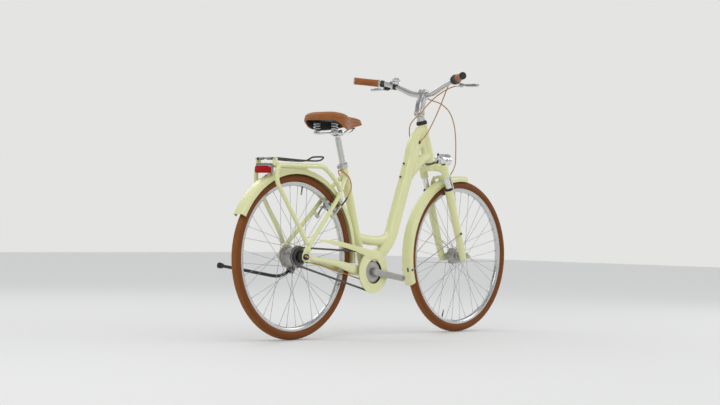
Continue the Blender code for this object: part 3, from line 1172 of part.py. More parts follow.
def front_wheel():
    f = FLANGE_Y
    h = FLANGE_HALF
    bore = AXLE_RADIUS + GAP
    hub = [
        (bore, -0.0440), (0.0110, -0.0440), (0.0200, -f - h), (SMALL_FLANGE, -f - h),
        (SMALL_FLANGE, -f + h), (0.0190, -f + h), (0.0180, -0.0120),
        (DYNAMO_RADIUS - 0.0050, -0.0030), (DYNAMO_RADIUS - 0.0030, f - h), (DYNAMO_RADIUS, f - h),
        (DYNAMO_RADIUS, f + h), (DYNAMO_RADIUS - 0.0120, 0.0400), (0.0130, 0.0430), (bore, 0.0430)]
    flanges = {1: (f, DYNAMO_RADIUS), -1: (-f, SMALL_FLANGE)}
    wheel("front", FRONT_AXLE, LOWERS, hub, flanges, math.radians(200.0))

    axle = rod("front_axle", FRONT_AXLE - Y * 0.0800, FRONT_AXLE + Y * 0.0800, AXLE_RADIUS, sides=8)
    face = FORK_SPACING / 2 + 2 * GAP + 0.0070
    for side, tag in ((1, "left"), (-1, "right")):
        join(axle, rod("front_nut_" + tag, FRONT_AXLE + Y * side * face,
                       FRONT_AXLE + Y * side * (face + 0.0085), 0.0088, sides=6))
        join(axle, rod("front_cap_" + tag, FRONT_AXLE + Y * side * (face + 0.0080),
                       FRONT_AXLE + Y * side * (face + 0.0150), 0.0072, 0.0052, sides=6))
    join(axle, rod("front_cone_right", FRONT_AXLE - Y * (0.0440 + GAP), FRONT_AXLE - Y * (FORK_SPACING / 2),
                   0.0090, sides=8))
    plug = block("dynamo_plug", (FRONT_AXLE.x, 0.0465, FRONT_AXLE.z + 0.0120), (0.0180, 0.0060, 0.0300))
    join(axle, rod("front_cone_left", FRONT_AXLE + Y * (0.0430 + GAP), FRONT_AXLE + Y * (FORK_SPACING / 2),
                   0.0090, sides=8), plug)
    publish(axle, "steel", parent=LOWERS)


front_wheel()


def front_fender_piece():
    strip = fender("front_fender", FRONT_AXLE, FRONT_FENDER_OUTER, 201.0, 80.0, 15)
    stay_radius = 0.0022
    for side, tag in ((1, "left"), (-1, "right")):
        low = steer(0.1050, LEG_AHEAD, side * (LEG_Y + 0.0195))
        a = math.radians(190.0)
        rim = Vector((FRONT_AXLE.x + (WHEEL_RADIUS + 0.0070) * math.cos(a), side * (FENDER_HALF - 0.0002),
                      FRONT_AXLE.z + (WHEEL_RADIUS + 0.0070) * math.sin(a)))
        mid = (low + rim) / 2 + Y * side * 0.0040
        wire = smooth_path([tuple(low), tuple(mid), tuple(rim)], 5)
        join(strip, pipe("fender_stay_" + tag, wire, stay_radius, sides=6))
        join(strip, rod("fender_clip_" + tag, low - Y * side * 0.0050, low + Y * side * 0.0030, 0.0048,
                        sides=8))
        cut(strip, rod("fender_leg_seat_" + tag, steer(-0.0280, LEG_AHEAD, side * LEG_Y),
                       steer(LOWER_TOP, LEG_AHEAD, side * LEG_Y),
                       LOWER_FOOT + GAP, LOWER_RADIUS + GAP, sides=12))
    tab = rod("fender_tab", steer(AXLE_DROP + math.sqrt((FRONT_FENDER_OUTER - 0.0010) ** 2 - 0.009 ** 2),
                                  0.0410), steer(0.3705, 0.0410), 0.0050, sides=12)
    cut(tab, pipe("fender_tab_seat", ARCH, ARCH_RADIUS + 2 * GAP, sides=8))
    join(strip, tab)
    publish(strip, "paint", parent=LOWERS, smooth=50)


front_fender_piece()
brake_pair(steer(AXLE_DROP, FORK_OFFSET), UP, AHEAD, BRAKE_UP - AXLE_DROP, BRAKE_AHEAD - FORK_OFFSET,
           BRAKE_Y, 0.1020, LOWERS,
           ("front_brake_left", "front_brake_right"))


# Cockpit
STEM_PIVOT = Vector(spread((0.2600, 0, 0.9950)))
BAR_CENTRE = Vector(spread((0.2855, 0, 1.0800)))


def mirror(point, side):
    return Vector((point.x, point.y * side, point.z))


def cockpit_pieces():
    quill = rod("stem", steer(0.5600), steer(HEAD_HIGH + 0.0300), STEERER_BORE - GAP, sides=12)
    collar = rod("stem_collar", steer(HEAD_HIGH + 0.0155 + GAP), steer(HEAD_HIGH + 0.0400), 0.0160, 0.0150,
                 sides=12)
    knee = rod("stem_knee", STEM_PIVOT - Y * 0.0190, STEM_PIVOT + Y * 0.0190, 0.0165, sides=12)
    neck_line = [tuple(STEM_PIVOT), spread((0.2660, 0, 1.030)), spread((0.2780, 0, 1.060)), tuple(BAR_CENTRE)]
    neck = sweep("stem_neck", smooth_path(neck_line, 7), 0.0145, 0.0165, power=2.8, sides=10)
    ring = rod("stem_ring", BAR_CENTRE - Y * 0.0210, BAR_CENTRE + Y * 0.0210, 0.0205, sides=14)
    bolts = [rod("stem_bolt_%d" % k, Vector((x, y, z)), Vector((x - 0.0140, y, z + 0.003)), 0.0040, sides=6)
             for k, (x, y, z) in enumerate(spread_all([(0.2540, -0.0100, 0.9860), (0.2560, 0.0100, 0.9860)]))]
    front = block("stem_cap", BAR_CENTRE + Vector((0.0165, 0, 0.0)), (0.0120, 0.0380, 0.0300))
    join(quill, collar, knee, neck, ring, front, *bolts)
    cut(quill, rod("bar_bore", BAR_CENTRE - Y * 0.05, BAR_CENTRE + Y * 0.05, BAR_CLAMP_RADIUS + GAP,
                   sides=12))
    stem = publish(quill, "silver", steer(HEAD_HIGH), CROWN)

    half = spread_all([(0.2855, 0, 1.080), (0.2855, 0.020, 1.080), (0.2850, 0.036, 1.0805),
                       (0.2765, 0.068, 1.087), (0.2700, 0.116, 1.107)])
    inner = GRIP_START - GRIP_LINE * 0.0300
    tail = [tuple(inner), tuple(GRIP_START), tuple(GRIP_START + GRIP_LINE * 0.060),
            tuple(GRIP_END + GRIP_LINE * 0.0010)]
    bend = smooth_path(half[2:] + [spread((0.2620, 0.1560, 1.122))] + tail[:1], 7)
    left = half[:2] + [tuple(p) for p in bend] + tail[1:]
    full = flip(left[1:])[::-1] + left
    bar = pipe("handlebar", full, BAR_RADIUS, sides=12)
    join(bar, rod("bar_sleeve", BAR_CENTRE - Y * 0.0310, BAR_CENTRE + Y * 0.0310, BAR_CLAMP_RADIUS, sides=12))
    bar = publish(bar, "silver", BAR_CENTRE, stem)

    for side, tag in ((1, "left"), (-1, "right")):
        line = mirror(GRIP_LINE, side)
        start = mirror(GRIP_START, side)
        end = mirror(GRIP_END, side)
        first = start if side > 0 else start + line * 0.0480
        grip = rod("grip_" + tag, first + line * 0.0008, end + line * 0.0060, GRIP_RADIUS,
                   GRIP_RADIUS - 0.0010, sides=12)
        join(grip, rod("grip_flange_" + tag, first + line * 0.0003, first + line * 0.0060,
                       GRIP_RADIUS + 0.0022, sides=12))
        cut(grip, rod("grip_bore_" + tag, first - line * 0.010, end + line * 0.0013, BAR_RADIUS + GAP,
                      sides=12))
        publish(grip, "tan_rubber", parent=bar)

        hinge = mirror(LEVER_ROOT, side)
        tip = mirror(LEVER_TIP, side)
        axis = line.cross(tip - hinge).normalized()
        lift = axis.cross(line).normalized()
        collar = rod("lever_bracket_" + tag, start - line * 0.0230, start - line * 0.0050, 0.0160, sides=12)
        turn = Matrix((lift, line, lift.cross(line))).transposed().to_4x4()
        arm = rod("bracket_arm_" + tag, start - line * 0.0150 + lift * 0.0080, hinge, 0.0070, sides=8)
        fork_arm = block("bracket_fork_" + tag, (0, 0, 0), (0.0180, 0.0240, 0.0160))
        fork_arm.data.transform(Matrix.Translation(hinge - line * 0.0020) @ turn)
        barrel = rod("bracket_barrel_" + tag, hinge - line * 0.0080, hinge - line * (BARREL - 0.0008),
                     0.0060, 0.0045, sides=8)
        join(collar, arm, fork_arm, barrel)
        slot = block("bracket_slot_" + tag, (0, 0, 0), (0.0340, 0.0300, 0.0072))
        slot.data.transform(Matrix.Translation(hinge + line * 0.0080) @ turn)
        cut(collar, slot, rod("bracket_bore_" + tag, start - line * 0.040, start + line * 0.010,
                              BAR_RADIUS + GAP, sides=12))
        cut(collar, rod("bracket_pin_" + tag, hinge - axis * 0.015, hinge + axis * 0.015, 0.0024 + GAP,
                        sides=12))
        bracket = publish(collar, "black" if side > 0 else "silver", parent=bar)
        root = hinge
        mid = root + (tip - root) * 0.35 + lift * 0.0060
        blade_path = smooth_path([tuple(root), tuple(mid), tuple(root + (tip - root) * 0.75 + lift * 0.001),
                                  tuple(tip)], 6)
        blade = sweep_free("brake_lever_" + tag, blade_path, axis, 0.0033,
                           [0.0055, 0.0062, 0.0062, 0.0058, 0.0056, 0.0050])
        join(blade, rod("lever_hinge_" + tag, hinge - axis * 0.0078, hinge + axis * 0.0078, 0.0024, sides=12))
        join(blade, ball("lever_tip_" + tag, tip, 0.0062, sides=8))
        publish(blade, "silver", hinge, bracket)

    line = mirror(GRIP_LINE, -1)
    start = mirror(GRIP_START, -1)
    drum = rod("twist_shifter", start - line * 0.0040, start + line * 0.0470, 0.0205, 0.0180, sides=12)
    join(drum, rod("shifter_ring", start + line * 0.0130, start + line * 0.0170, 0.0225, sides=12))
    cut(drum, rod("shifter_bore", start - line * 0.02, start + line * 0.06, BAR_RADIUS * 1.04 + GAP,
                  sides=12))
    publish(drum, "black", start, bar)


cockpit_pieces()


# Bell and headlight
def small_pieces():
    bar = bpy.data.objects["handlebar"]
    spot = Vector(spread((0.2640, 0.1500, 1.1197)))
    line = (GRIP_START - GRIP_LINE * 0.030 - Vector(spread((0.2700, 0.116, 1.107)))).normalized()
    top = Vector((-0.25, -0.20, 0.95))
    top = (top - line * top.dot(line)).normalized()
    turn = Z.rotation_difference(top).to_matrix().to_4x4()
    place = Matrix.Translation(spot + top * 0.0135) @ turn
    cup = [
        (0.0001, 0.0050), (0.0001, 0.0235), (0.0080, 0.0230), (0.0160, 0.0195), (0.0210, 0.0130),
        (0.0220, 0.0060), (0.0205, 0.0050)]
    bell = turned("bell", cup, place, 12)
    foot = rod("bell_foot", spot, spot + top * 0.0220, 0.0100, sides=8)
    band = rod("bell_band", spot - line * 0.0070, spot + line * 0.0070, 0.0150, sides=12)
    join(bell, foot, band)
    cut(bell, bar_clearance("bell_bore"))
    cut(bell, rod("striker_hole", spot + top * 0.0149 + line * 0.005, spot + top * 0.0149 + line * 0.040,
                  0.0026, sides=10))
    bell = publish(bell, "chrome", parent=bar)
    hinge = spot + top * 0.0149 + line * 0.0110
    striker = rod("bell_lever", hinge - line * 0.0015, hinge + line * 0.0150, 0.0022, sides=10)
    side = top.cross(line).normalized()
    paddle = block("bell_paddle", (0, 0, 0), (0.0090, 0.0300, 0.0028), bevel=0.0008)
    paddle.data.transform(Matrix.Translation(hinge + line * 0.0150 - side * 0.0080)
                          @ Matrix((line, side, top)).transposed().to_4x4())
    join(striker, paddle)
    publish(striker, "black", hinge, bell)

    centre = Vector(spread((0.4360, 0, 0.7960)))
    body = turned("headlight_body", [
        (0.0001, -0.0510), (0.0120, -0.0480), (0.0175, -0.0400), (0.0205, -0.0250), (0.0215, 0.0),
        (0.0225, 0.0350), (0.0235, 0.0500), (0.0210, 0.0500), (0.0195, 0.0350), (0.0001, 0.0200)],
                  Matrix.Translation(centre) @ Matrix.Rotation(math.pi / 2, 4, "Y"), 16)
    knob = rod("headlight_knob", centre + Vector((-0.040, 0, 0.010)), centre + Vector((-0.040, 0, 0.0260)),
               0.0050, sides=8)
    arm = [steer(0.4375, 0.0330), steer(0.4390, 0.0500), centre + Vector((-0.0250, 0, -0.0260)),
           centre + Vector((-0.0150, 0, -0.0150))]
    join(body, knob, pipe("headlight_arm", smooth_path([tuple(p) for p in arm], 5), 0.0050, sides=6))
    join(body, block("headlight_foot", (0, 0, 0), (0.0150, 0.0200, 0.0140)))
    bpy.data.objects["headlight_foot"].data.transform(Matrix.Translation(steer(0.4375, 0.0275)) @ STEER_TURN)
    cut(body, clearance("headlight_seat"),
        rod("headlight_ring", steer(0.40), steer(0.47), 0.0215 + 2 * GAP, sides=12))
    lamp = publish(body, "chrome", parent=CROWN)
    lens = turned("headlight_lens", [
        (0.0001, 0.0380), (0.0001, 0.0480), (0.0120, 0.0470), (0.0193, 0.0440), (0.0193, 0.0390)],
                  Matrix.Translation(centre) @ Matrix.Rotation(math.pi / 2, 4, "Y"), 16)
    publish(lens, "clear_lens", parent=lamp)


def bar_clearance(name):
    """The handlebar's shape grown by the gap, to cut what sits on it."""
    source = bpy.data.objects["handlebar"]
    mesh = source.data.copy()
    mesh.transform(WORLD[source.name])
    obj = wrap(name, mesh)
    grow = obj.modifiers.new("grow", "DISPLACE")
    grow.strength = GAP
    grow.mid_level = 0.0
    return obj


def clearance(name):
    """The crown's body grown by the gap, to cut the lamp's foot."""
    return sweep_free(name, CROWN_PATH, UP, 0.0160 + GAP, 0.0165 + 2 * GAP)


small_pieces()


# Rear brake on the frame
brake_pair(REAR_AXLE, REAR_BRAKE_UP, REAR_BRAKE_AHEAD, REAR_PIVOT_UP, REAR_PIVOT_AHEAD, BRAKE_Y, 0.0620,
           FRAME,
           ("rear_brake_left", "rear_brake_right"))


# Cables
FRONT_ROUTE = [tuple(LEVER_ROOT - GRIP_LINE * BARREL), tuple(LEVER_ROOT - GRIP_LINE * (BARREL + 0.014))]
FRONT_ROUTE += spread_all([
    (0.3040, 0.1600, 1.1130), (0.3120, 0.1000, 1.1000), (0.3280, 0.0500, 1.0790),
    (0.3500, 0.0080, 1.0600), (0.3900, -0.0220, 1.0420), (0.4280, -0.0400, 1.0060),
    (0.4520, -0.0480, 0.9500), (0.4630, -0.0500, 0.8830), (0.4640, -0.0510, 0.8100),
    (0.4600, -0.0520, 0.7700), (0.4460, -0.0510, 0.7420)])
FRONT_ROUTE += [tuple(steer(BRAKE_UP + 0.1020 + 0.0035, BRAKE_AHEAD, -BRAKE_Y - 0.0040))]


def cable_pieces():
    publish(pipe("front_brake_cable", cable_points(FRONT_ROUTE), CABLE_RADIUS, sides=6), "tan_cable",
            parent=CROWN, smooth=60)
    publish(pipe("shift_cable", cable_points(SHIFT_ROUTE), CABLE_RADIUS, sides=6), "tan_cable",
            parent=FRAME, smooth=60)
    publish(pipe("rear_brake_cable", cable_points(BRAKE_ROUTE), CABLE_RADIUS, sides=6), "tan_cable",
            parent=FRAME, smooth=60)


cable_pieces()
print(len(PARTS.objects), "parts")
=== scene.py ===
# %% [markdown]
# # A step-through hybrid bike
# This lesson dresses a working CAD model of a city bike as it stands in a studio photograph.
# The CAD model gives the places, the sizes and the joints. It is coarse, so nearly every
# piece is made again here as a smooth surface on the same lines and is given a real finish.
# X runs forward, Y to the rider's left and Z up, in metres, from the ground at mid wheelbase.

import math

import bpy
import numpy as np
from mathutils import Matrix


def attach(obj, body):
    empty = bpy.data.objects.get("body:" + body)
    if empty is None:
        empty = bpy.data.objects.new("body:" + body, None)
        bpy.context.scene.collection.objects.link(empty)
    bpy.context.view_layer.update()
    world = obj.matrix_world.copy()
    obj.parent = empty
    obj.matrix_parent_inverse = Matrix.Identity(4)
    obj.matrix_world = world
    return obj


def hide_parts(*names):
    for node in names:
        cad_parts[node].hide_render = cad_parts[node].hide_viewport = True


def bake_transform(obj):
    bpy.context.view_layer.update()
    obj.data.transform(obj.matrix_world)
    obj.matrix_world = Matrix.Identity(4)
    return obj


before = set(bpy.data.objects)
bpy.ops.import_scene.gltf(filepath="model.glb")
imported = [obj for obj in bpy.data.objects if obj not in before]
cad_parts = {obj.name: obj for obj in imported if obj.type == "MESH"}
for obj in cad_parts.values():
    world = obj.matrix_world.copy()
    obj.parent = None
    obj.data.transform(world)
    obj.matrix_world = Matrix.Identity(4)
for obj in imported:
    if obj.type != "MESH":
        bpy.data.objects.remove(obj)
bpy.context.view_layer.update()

# %% [markdown]
# ## The camera
# The photograph was taken from low behind the bike's right side with a long lens. The place
# and the lens below were worked out from the wheels: both are circles of a known size, so
# their outlines in the picture fix where the camera stood. The lens is for a 36 mm sensor.

# %% Camera at the photograph's viewing angle
CAMERA_AT = np.array([-6.086, -5.305, 0.507])
HEADING, RISE, ROLL = np.radians([41.7, 0.55, 1.09])
LENS_MM, SENSOR_MM = 91.5, 36.0


def camera_turn():
    """Rows right, up and back: the heading turns round Z, the rise tips up, the roll leans the frame."""
    ahead = np.array([math.cos(HEADING) * math.cos(RISE), math.sin(HEADING) * math.cos(RISE), math.sin(RISE)])
    right = np.cross(ahead, [0, 0, 1])
    right = right / np.linalg.norm(right)
    up = np.cross(right, ahead)
    leaned_right = right * math.cos(ROLL) + up * math.sin(ROLL)
    leaned_up = -right * math.sin(ROLL) + up * math.cos(ROLL)
    return np.array([leaned_right, leaned_up, -ahead])


camera_data = bpy.data.cameras.new("photo_camera")
camera_data.lens = LENS_MM
camera_data.sensor_width = SENSOR_MM
camera = bpy.data.objects.new("photo_camera", camera_data)
bpy.context.scene.collection.objects.link(camera)
turn = Matrix(camera_turn().T.tolist()).to_4x4()
camera.matrix_world = Matrix.Translation(CAMERA_AT.tolist()) @ turn
bpy.context.scene.camera = camera
print("camera stands", round(float(np.linalg.norm(CAMERA_AT[:2])), 2), "m away from mid wheelbase")

# %% [markdown]
# ## Colours
# Colours are written as sRGB hex codes, as a paint card gives them. Blender's shaders want
# linear light, so one function turns every code before it is used.

# %% Colour codes to linear light
def linear(code, alpha=1.0):
    """Each channel v becomes v/12.92 when dark and ((v+0.055)/1.055)^2.4 otherwise."""
    v = np.array([int(code[i:i + 2], 16) for i in (1, 3, 5)]) / 255
    lit = np.where(v <= 0.04045, v / 12.92, ((v + 0.055) / 1.055) ** 2.4)
    return (*lit.tolist(), alpha)


print("paint in linear light:", [round(v, 3) for v in linear("#dedba6")[:3]])

# %% [markdown]
# ## The studio
# The floor is plain and pale and keeps the bike's shadow. Large soft lamps stand where the
# photograph's highlights come from: high over the rear wheel, along the right and the far
# side, in front, and a narrow one that draws an edge. The world's soft light is for matt
# surfaces. The camera, mirrors and glass see a pale backdrop with a grey wall above it, since
# chrome and polished metal look like metal only when they have something darker to mirror.

# %% Floor, world and lamps
def add(tree, kind, inputs=None, **settings):
    """Adds one node, gives it its settings, and sets or links its inputs."""
    node = tree.nodes.new(kind)
    for key, value in settings.items():
        setattr(node, key, value)
    for key, value in (inputs or {}).items():
        if isinstance(value, bpy.types.NodeSocket):
            tree.links.new(value, node.inputs[key])
        else:
            node.inputs[key].default_value = value
    return node


def studio_floor(half=14.0):
    """A flat square at height 0, half a side from its middle each way."""
    mesh = bpy.data.meshes.new("floor")
    mesh.from_pydata([(-half, -half, 0), (half, -half, 0), (half, half, 0), (-half, half, 0)], [],
                     [(0, 1, 2, 3)])
    floor = bpy.data.objects.new("floor", mesh)
    bpy.context.scene.collection.objects.link(floor)
    finish = bpy.data.materials.new("painted_studio_floor")
    finish.use_nodes = True
    shader = finish.node_tree.nodes["Principled BSDF"]
    shader.inputs["Base Color"].default_value = linear("#dcdcda")
    shader.inputs["Roughness"].default_value = 0.65
    mesh.materials.append(finish)


def height_ramp(tree, height, stops):
    """Colours by the height of the direction looked in: a stop is that height, -1 to 1, and a code."""
    ramp = add(tree, "ShaderNodeValToRGB", {0: height})
    marks = ramp.color_ramp.elements
    while len(marks) < len(stops):
        marks.new(1.0)
    for mark, (at, code) in zip(marks, stops):
        mark.position = at
        mark.color = linear(code)
    return ramp.outputs["Color"]


def studio_world():
    """Two ramps: soft light for matt surfaces, and a backdrop for rays from the camera, mirrors and glass."""
    world = bpy.data.worlds.new("studio")
    world.use_nodes = True
    tree = world.node_tree
    tree.nodes.clear()
    place = add(tree, "ShaderNodeTexCoord")
    split = add(tree, "ShaderNodeSeparateXYZ", {0: place.outputs["Generated"]})
    soft = height_ramp(tree, split.outputs["Z"], [(0.02, "#6c6c70"), (0.6, "#f4f5f7")])
    light = add(tree, "ShaderNodeBackground", {"Color": soft, "Strength": 1.12})
    wall = height_ramp(tree, split.outputs["Z"], [(0.12, "#e4e4e2"), (0.36, "#64666a"), (0.85, "#c4c5c8")])
    seen = add(tree, "ShaderNodeBackground", {"Color": wall, "Strength": 1.0})
    path = add(tree, "ShaderNodeLightPath")
    mirrors = add(tree, "ShaderNodeMath", {0: path.outputs["Is Glossy Ray"],
                                           1: path.outputs["Is Transmission Ray"]}, operation="MAXIMUM")
    sees = add(tree, "ShaderNodeMath", {0: path.outputs["Is Camera Ray"], 1: mirrors.outputs[0]},
               operation="MAXIMUM")
    mixed = add(tree, "ShaderNodeMixShader", {0: sees.outputs[0], 1: light.outputs[0], 2: seen.outputs[0]})
    add(tree, "ShaderNodeOutputWorld", {"Surface": mixed.outputs[0]})
    bpy.context.scene.world = world


def soft_lamp(name, place, toward, size, power):
    """A rectangular lamp at a place, turned to face a point."""
    lamp = bpy.data.lights.new(name, "AREA")
    lamp.shape = "RECTANGLE"
    lamp.size, lamp.size_y = size
    lamp.energy = power
    holder = bpy.data.objects.new(name, lamp)
    bpy.context.scene.collection.objects.link(holder)
    back = np.array(place, float) - np.array(toward, float)
    back = back / np.linalg.norm(back)
    right = np.cross([0, 0, 1], back)
    right = right / np.linalg.norm(right)
    turn = np.array([right, np.cross(back, right), back]).T
    holder.matrix_world = Matrix.Translation(place) @ Matrix(turn.tolist()).to_4x4()


studio_floor()
studio_world()
soft_lamp("lamp_rear", (-3.4, -1.6, 3.2), (-0.5, 0, 0.5), (2.2, 1.6), 28)
soft_lamp("lamp_right", (-0.6, -4.2, 2.6), (0, 0, 0.6), (3.2, 1.2), 13)
soft_lamp("lamp_front", (3.2, -2.4, 2.6), (0.3, 0, 0.6), (1.2, 2.2), 20)
soft_lamp("lamp_edge", (4.4, -0.6, 1.7), (0.3, 0, 0.9), (0.45, 2.0), 8)
soft_lamp("lamp_far", (0.3, 3.6, 3.2), (0, 0, 0.7), (3.0, 1.4), 26)

# %% [markdown]
# ## Surfaces from arrays
# A bike is mostly tubes and turned parts, so a few helpers make nearly all of it. A skin is
# a grid of points whose neighbours are joined by four-sided faces. Each helper works on whole
# arrays, and each returns closed shells whose faces point outward. Drawings of such parts are
# in millimetres, so tables of points are too, and one function turns them into metres.

# %% Grids of points into closed shells
def mm(table):
    """Numbers in millimetres, divided by 1000."""
    return np.array(table, float) / 1000


def grid_faces(rows, columns, loop):
    """Quads between each point and its next neighbours; columns always close, rows close when loop is set."""
    i, j = np.meshgrid(np.arange(rows if loop else rows - 1), np.arange(columns), indexing="ij")
    down = (i + 1) % rows
    right = (j + 1) % columns
    quads = np.stack([i * columns + j, i * columns + right, down * columns + right, down * columns + j], -1)
    return quads.reshape(-1, 4)


def shell(grid, loop=False):
    """A closed shell over a grid (rows, columns, 3): open ends are filled, and a negative volume is
    turned over."""
    grid = np.asarray(grid, float)
    rows, columns = grid.shape[:2]
    points = grid.reshape(-1, 3)
    quads = grid_faces(rows, columns, loop)
    middle = points.mean(axis=0)
    a, b, c, d = (points[quads[:, k]] - middle for k in range(4))
    volume = np.einsum("ij,ij->", a, np.cross(b, c)) + np.einsum("ij,ij->", a, np.cross(c, d))
    faces = quads.tolist()
    if not loop:
        ends = [list(range(columns - 1, -1, -1)), list(range((rows - 1) * columns, rows * columns))]
        for end in ends:
            spot = points[end] - middle
            volume += float((np.cross(spot[1:-1], spot[2:]) @ spot[0]).sum())
        faces += ends
    if volume < 0:
        faces = [face[::-1] for face in faces]
    return points, faces


print("a grid of 3 by 4 points has", len(grid_faces(3, 4, False)), "faces")

# %% [markdown]
# ### Tubes along a path
# The frame, bar, rack and cables are tubes that were bent. A smooth curve runs through a few
# points of the bend, and a section is carried along it. Its shape is a superellipse, since
# the same formula gives a round tube, a flattened one and a box with soft corners.

# %% Tubes
def unit(v):
    """A vector, or each row of an array, divided by its own length."""
    v = np.asarray(v, float)
    return v / np.maximum(np.linalg.norm(v, axis=-1, keepdims=True), 1e-12)


def spline(points, steps):
    """A Catmull-Rom curve: each span blends its four nearest knots with a cubic in t, in that many steps."""
    knots = np.array(points, float)
    knots = np.vstack([2 * knots[0] - knots[1], knots, 2 * knots[-1] - knots[-2]])
    t = np.linspace(0, 1, steps, endpoint=False)[:, None]
    spans = [0.5 * (2 * b + (c - a) * t + (2 * a - 5 * b + 4 * c - d) * t ** 2
                    + (3 * b - a - 3 * c + d) * t ** 3)
             for a, b, c, d in zip(knots, knots[1:], knots[2:], knots[3:])]
    return np.vstack(spans + [knots[-2]])


def way_along(points):
    """The way gone at each point: the running sum of the steps between neighbours."""
    return np.concatenate([[0], np.cumsum(np.linalg.norm(np.diff(points, axis=0), axis=1))])


def read_at(places, way, points):
    """Every column of the points, read off in straight lines at other places of the way."""
    return np.column_stack([np.interp(places, way, column) for column in points.T])


def smooth_path(points, count):
    """Even steps along the smooth curve through a few points."""
    fine = spline(points, 24)
    way = way_along(fine)
    return read_at(np.linspace(0, way[-1], count), way, fine)


def frames(path, side=None):
    """Tangent and two square directions at each station; without a side they are carried on untwisted."""
    path = np.asarray(path, float)
    tangent = unit(np.gradient(path, axis=0))
    if side is not None:
        across = np.broadcast_to(np.asarray(side, float), tangent.shape)
        across = unit(across - (across * tangent).sum(axis=1)[:, None] * tangent)
        return tangent, across, np.cross(across, tangent)
    spare = np.eye(3)[np.argmin(np.abs(tangent[0]))]
    rows = [unit(np.cross(tangent[0], spare))]
    for t in tangent[1:]:
        rows.append(unit(rows[-1] - np.dot(rows[-1], t) * t))
    across = np.array(rows)
    return tangent, across, np.cross(across, tangent)


def rounded(power, sides):
    """A superellipse: cosine and sine raised to 2/power in size, so 2 is a circle and 4 nearly a box."""
    a = np.linspace(0, 2 * math.pi, sides, endpoint=False)
    c, s = np.cos(a), np.sin(a)
    return np.column_stack([np.sign(c) * np.abs(c) ** (2 / power), np.sign(s) * np.abs(s) ** (2 / power)])


def tube(path, depth, width=None, side=None, power=2.0, sides=28, ease=0.0):
    """A superellipse carried along a path; ease draws both ends in along a quarter circle of that radius."""
    path = np.asarray(path, float)
    width = depth if width is None else width
    depth = np.broadcast_to(depth, len(path)).astype(float)
    width = np.broadcast_to(width, len(path)).astype(float)
    _, across, normal = frames(path, side)
    scale = np.ones(len(path))
    if ease:
        run = way_along(path)
        lift = np.array([0.0, 0.1, 0.3, 0.6])
        inner = run[(run > ease) & (run < run[-1] - ease)]
        at = np.concatenate([ease * lift, [ease], inner, [run[-1] - ease], run[-1] - ease * lift[::-1]])
        carried = read_at(at, run, np.hstack([path, depth[:, None], width[:, None], across, normal]))
        path, depth, width, across, normal = np.split(carried, [3, 4, 5, 8], axis=1)
        depth, width = depth[:, 0], width[:, 0]
        near = np.clip(np.minimum(at, run[-1] - at) / ease, 0, 1)
        scale = 1 - ease * (1 - np.sqrt(1 - (1 - near) ** 2)) / np.minimum(depth, width)
    shape = rounded(power, sides)
    ring = (path[:, None] + normal[:, None] * (shape[None, :, :1] * (depth * scale)[:, None, None])
            + across[:, None] * (shape[None, :, 1:] * (width * scale)[:, None, None]))
    return shell(ring)


def rod(start, end, radius, end_radius=None, sides=28, ease=0.0005):
    """A straight round bar, or a cone, with eased rims."""
    radii = [radius, radius if end_radius is None else end_radius]
    return tube([start, end], radii, sides=sides, ease=ease)


def pin(middle, half, radius, end_radius=None, sides=28, ease=0.0005):
    """A bar through a middle point that reaches by half to both sides; half is a vector."""
    return rod(middle - half, middle + half, radius, end_radius, sides, ease)


print("a 20 mm bar has", len(rod((0, 0, 0), (0, 0, 0.1), 0.01)[1]), "faces")

# %% [markdown]
# ### Turned parts and plates
# Hubs, nuts, caps and cups are turned on a lathe, so a profile is carried round an axis. Cut
# parts are an outline with a thickness. Real edges are never quite sharp, and an edge shows
# only when it catches the light, so every corner is eased by a few tenths of a millimetre.

# %% Turned parts and plates
CORE = 0.2


def eased(outline, radius, closed=True):
    """Every corner becomes four points of the parabola between the spots that far before and after it."""
    p = np.asarray(outline, float)
    before = np.roll(p, 1, axis=0) - p
    after = np.roll(p, -1, axis=0) - p
    reach_before = np.minimum(radius, 0.45 * np.linalg.norm(before, axis=1))[:, None]
    reach_after = np.minimum(radius, 0.45 * np.linalg.norm(after, axis=1))[:, None]
    a = p + unit(before) * reach_before
    b = p + unit(after) * reach_after
    t = np.linspace(0, 1, 4)[None, :, None]
    arcs = (1 - t) ** 2 * a[:, None] + 2 * t * (1 - t) * p[:, None] + t ** 2 * b[:, None]
    if closed:
        return arcs.reshape(-1, p.shape[1])
    return np.vstack([p[:1], arcs[1:-1].reshape(-1, p.shape[1]), p[-1:]])


def basis(axis, ahead=(0, 0, 1)):
    """Three square directions whose last one is the axis; the first lies nearest to ahead."""
    w = unit(axis)
    u = np.asarray(ahead, float)
    u = unit(u - np.dot(u, w) * w) if abs(np.dot(unit(u), w)) < 0.99 else unit(np.cross(w, [0.3, 0.5, 0.8]))
    return np.array([u, np.cross(w, u), w])


def turned(profile, centre, axis, turns=64, closed=False):
    """A profile of (radius, height) carried once round an axis: the radius turns by cosine and sine."""
    profile = np.asarray(profile, float)
    u, v, w = basis(axis)
    a = np.linspace(0, 2 * math.pi, turns, endpoint=False)
    spin = np.cos(a)[:, None] * u + np.sin(a)[:, None] * v
    grid = np.asarray(centre, float) + profile[:, None, :1] * spin[None] + profile[:, None, 1:] * w
    return shell(grid, loop=closed)


def hollow(profile, ease, centre, axis, turns=64):
    """A turned ring: its profile of (radius, height) is closed, eased all round, and in millimetres."""
    return turned(eased(mm(profile), ease / 1000), centre, axis, turns, closed=True)


def solid(profile, ease, centre, axis, turns=64):
    """A turned solid: a profile in millimetres that is led in to the core at both ends at the same height."""
    line = [tuple(p) for p in profile]
    if line[0][0] > CORE:
        line.insert(0, (CORE, line[0][1]))
    if line[-1][0] > CORE:
        line.append((CORE, line[-1][1]))
    return turned(eased(mm(line), ease / 1000, False), centre, axis, turns)


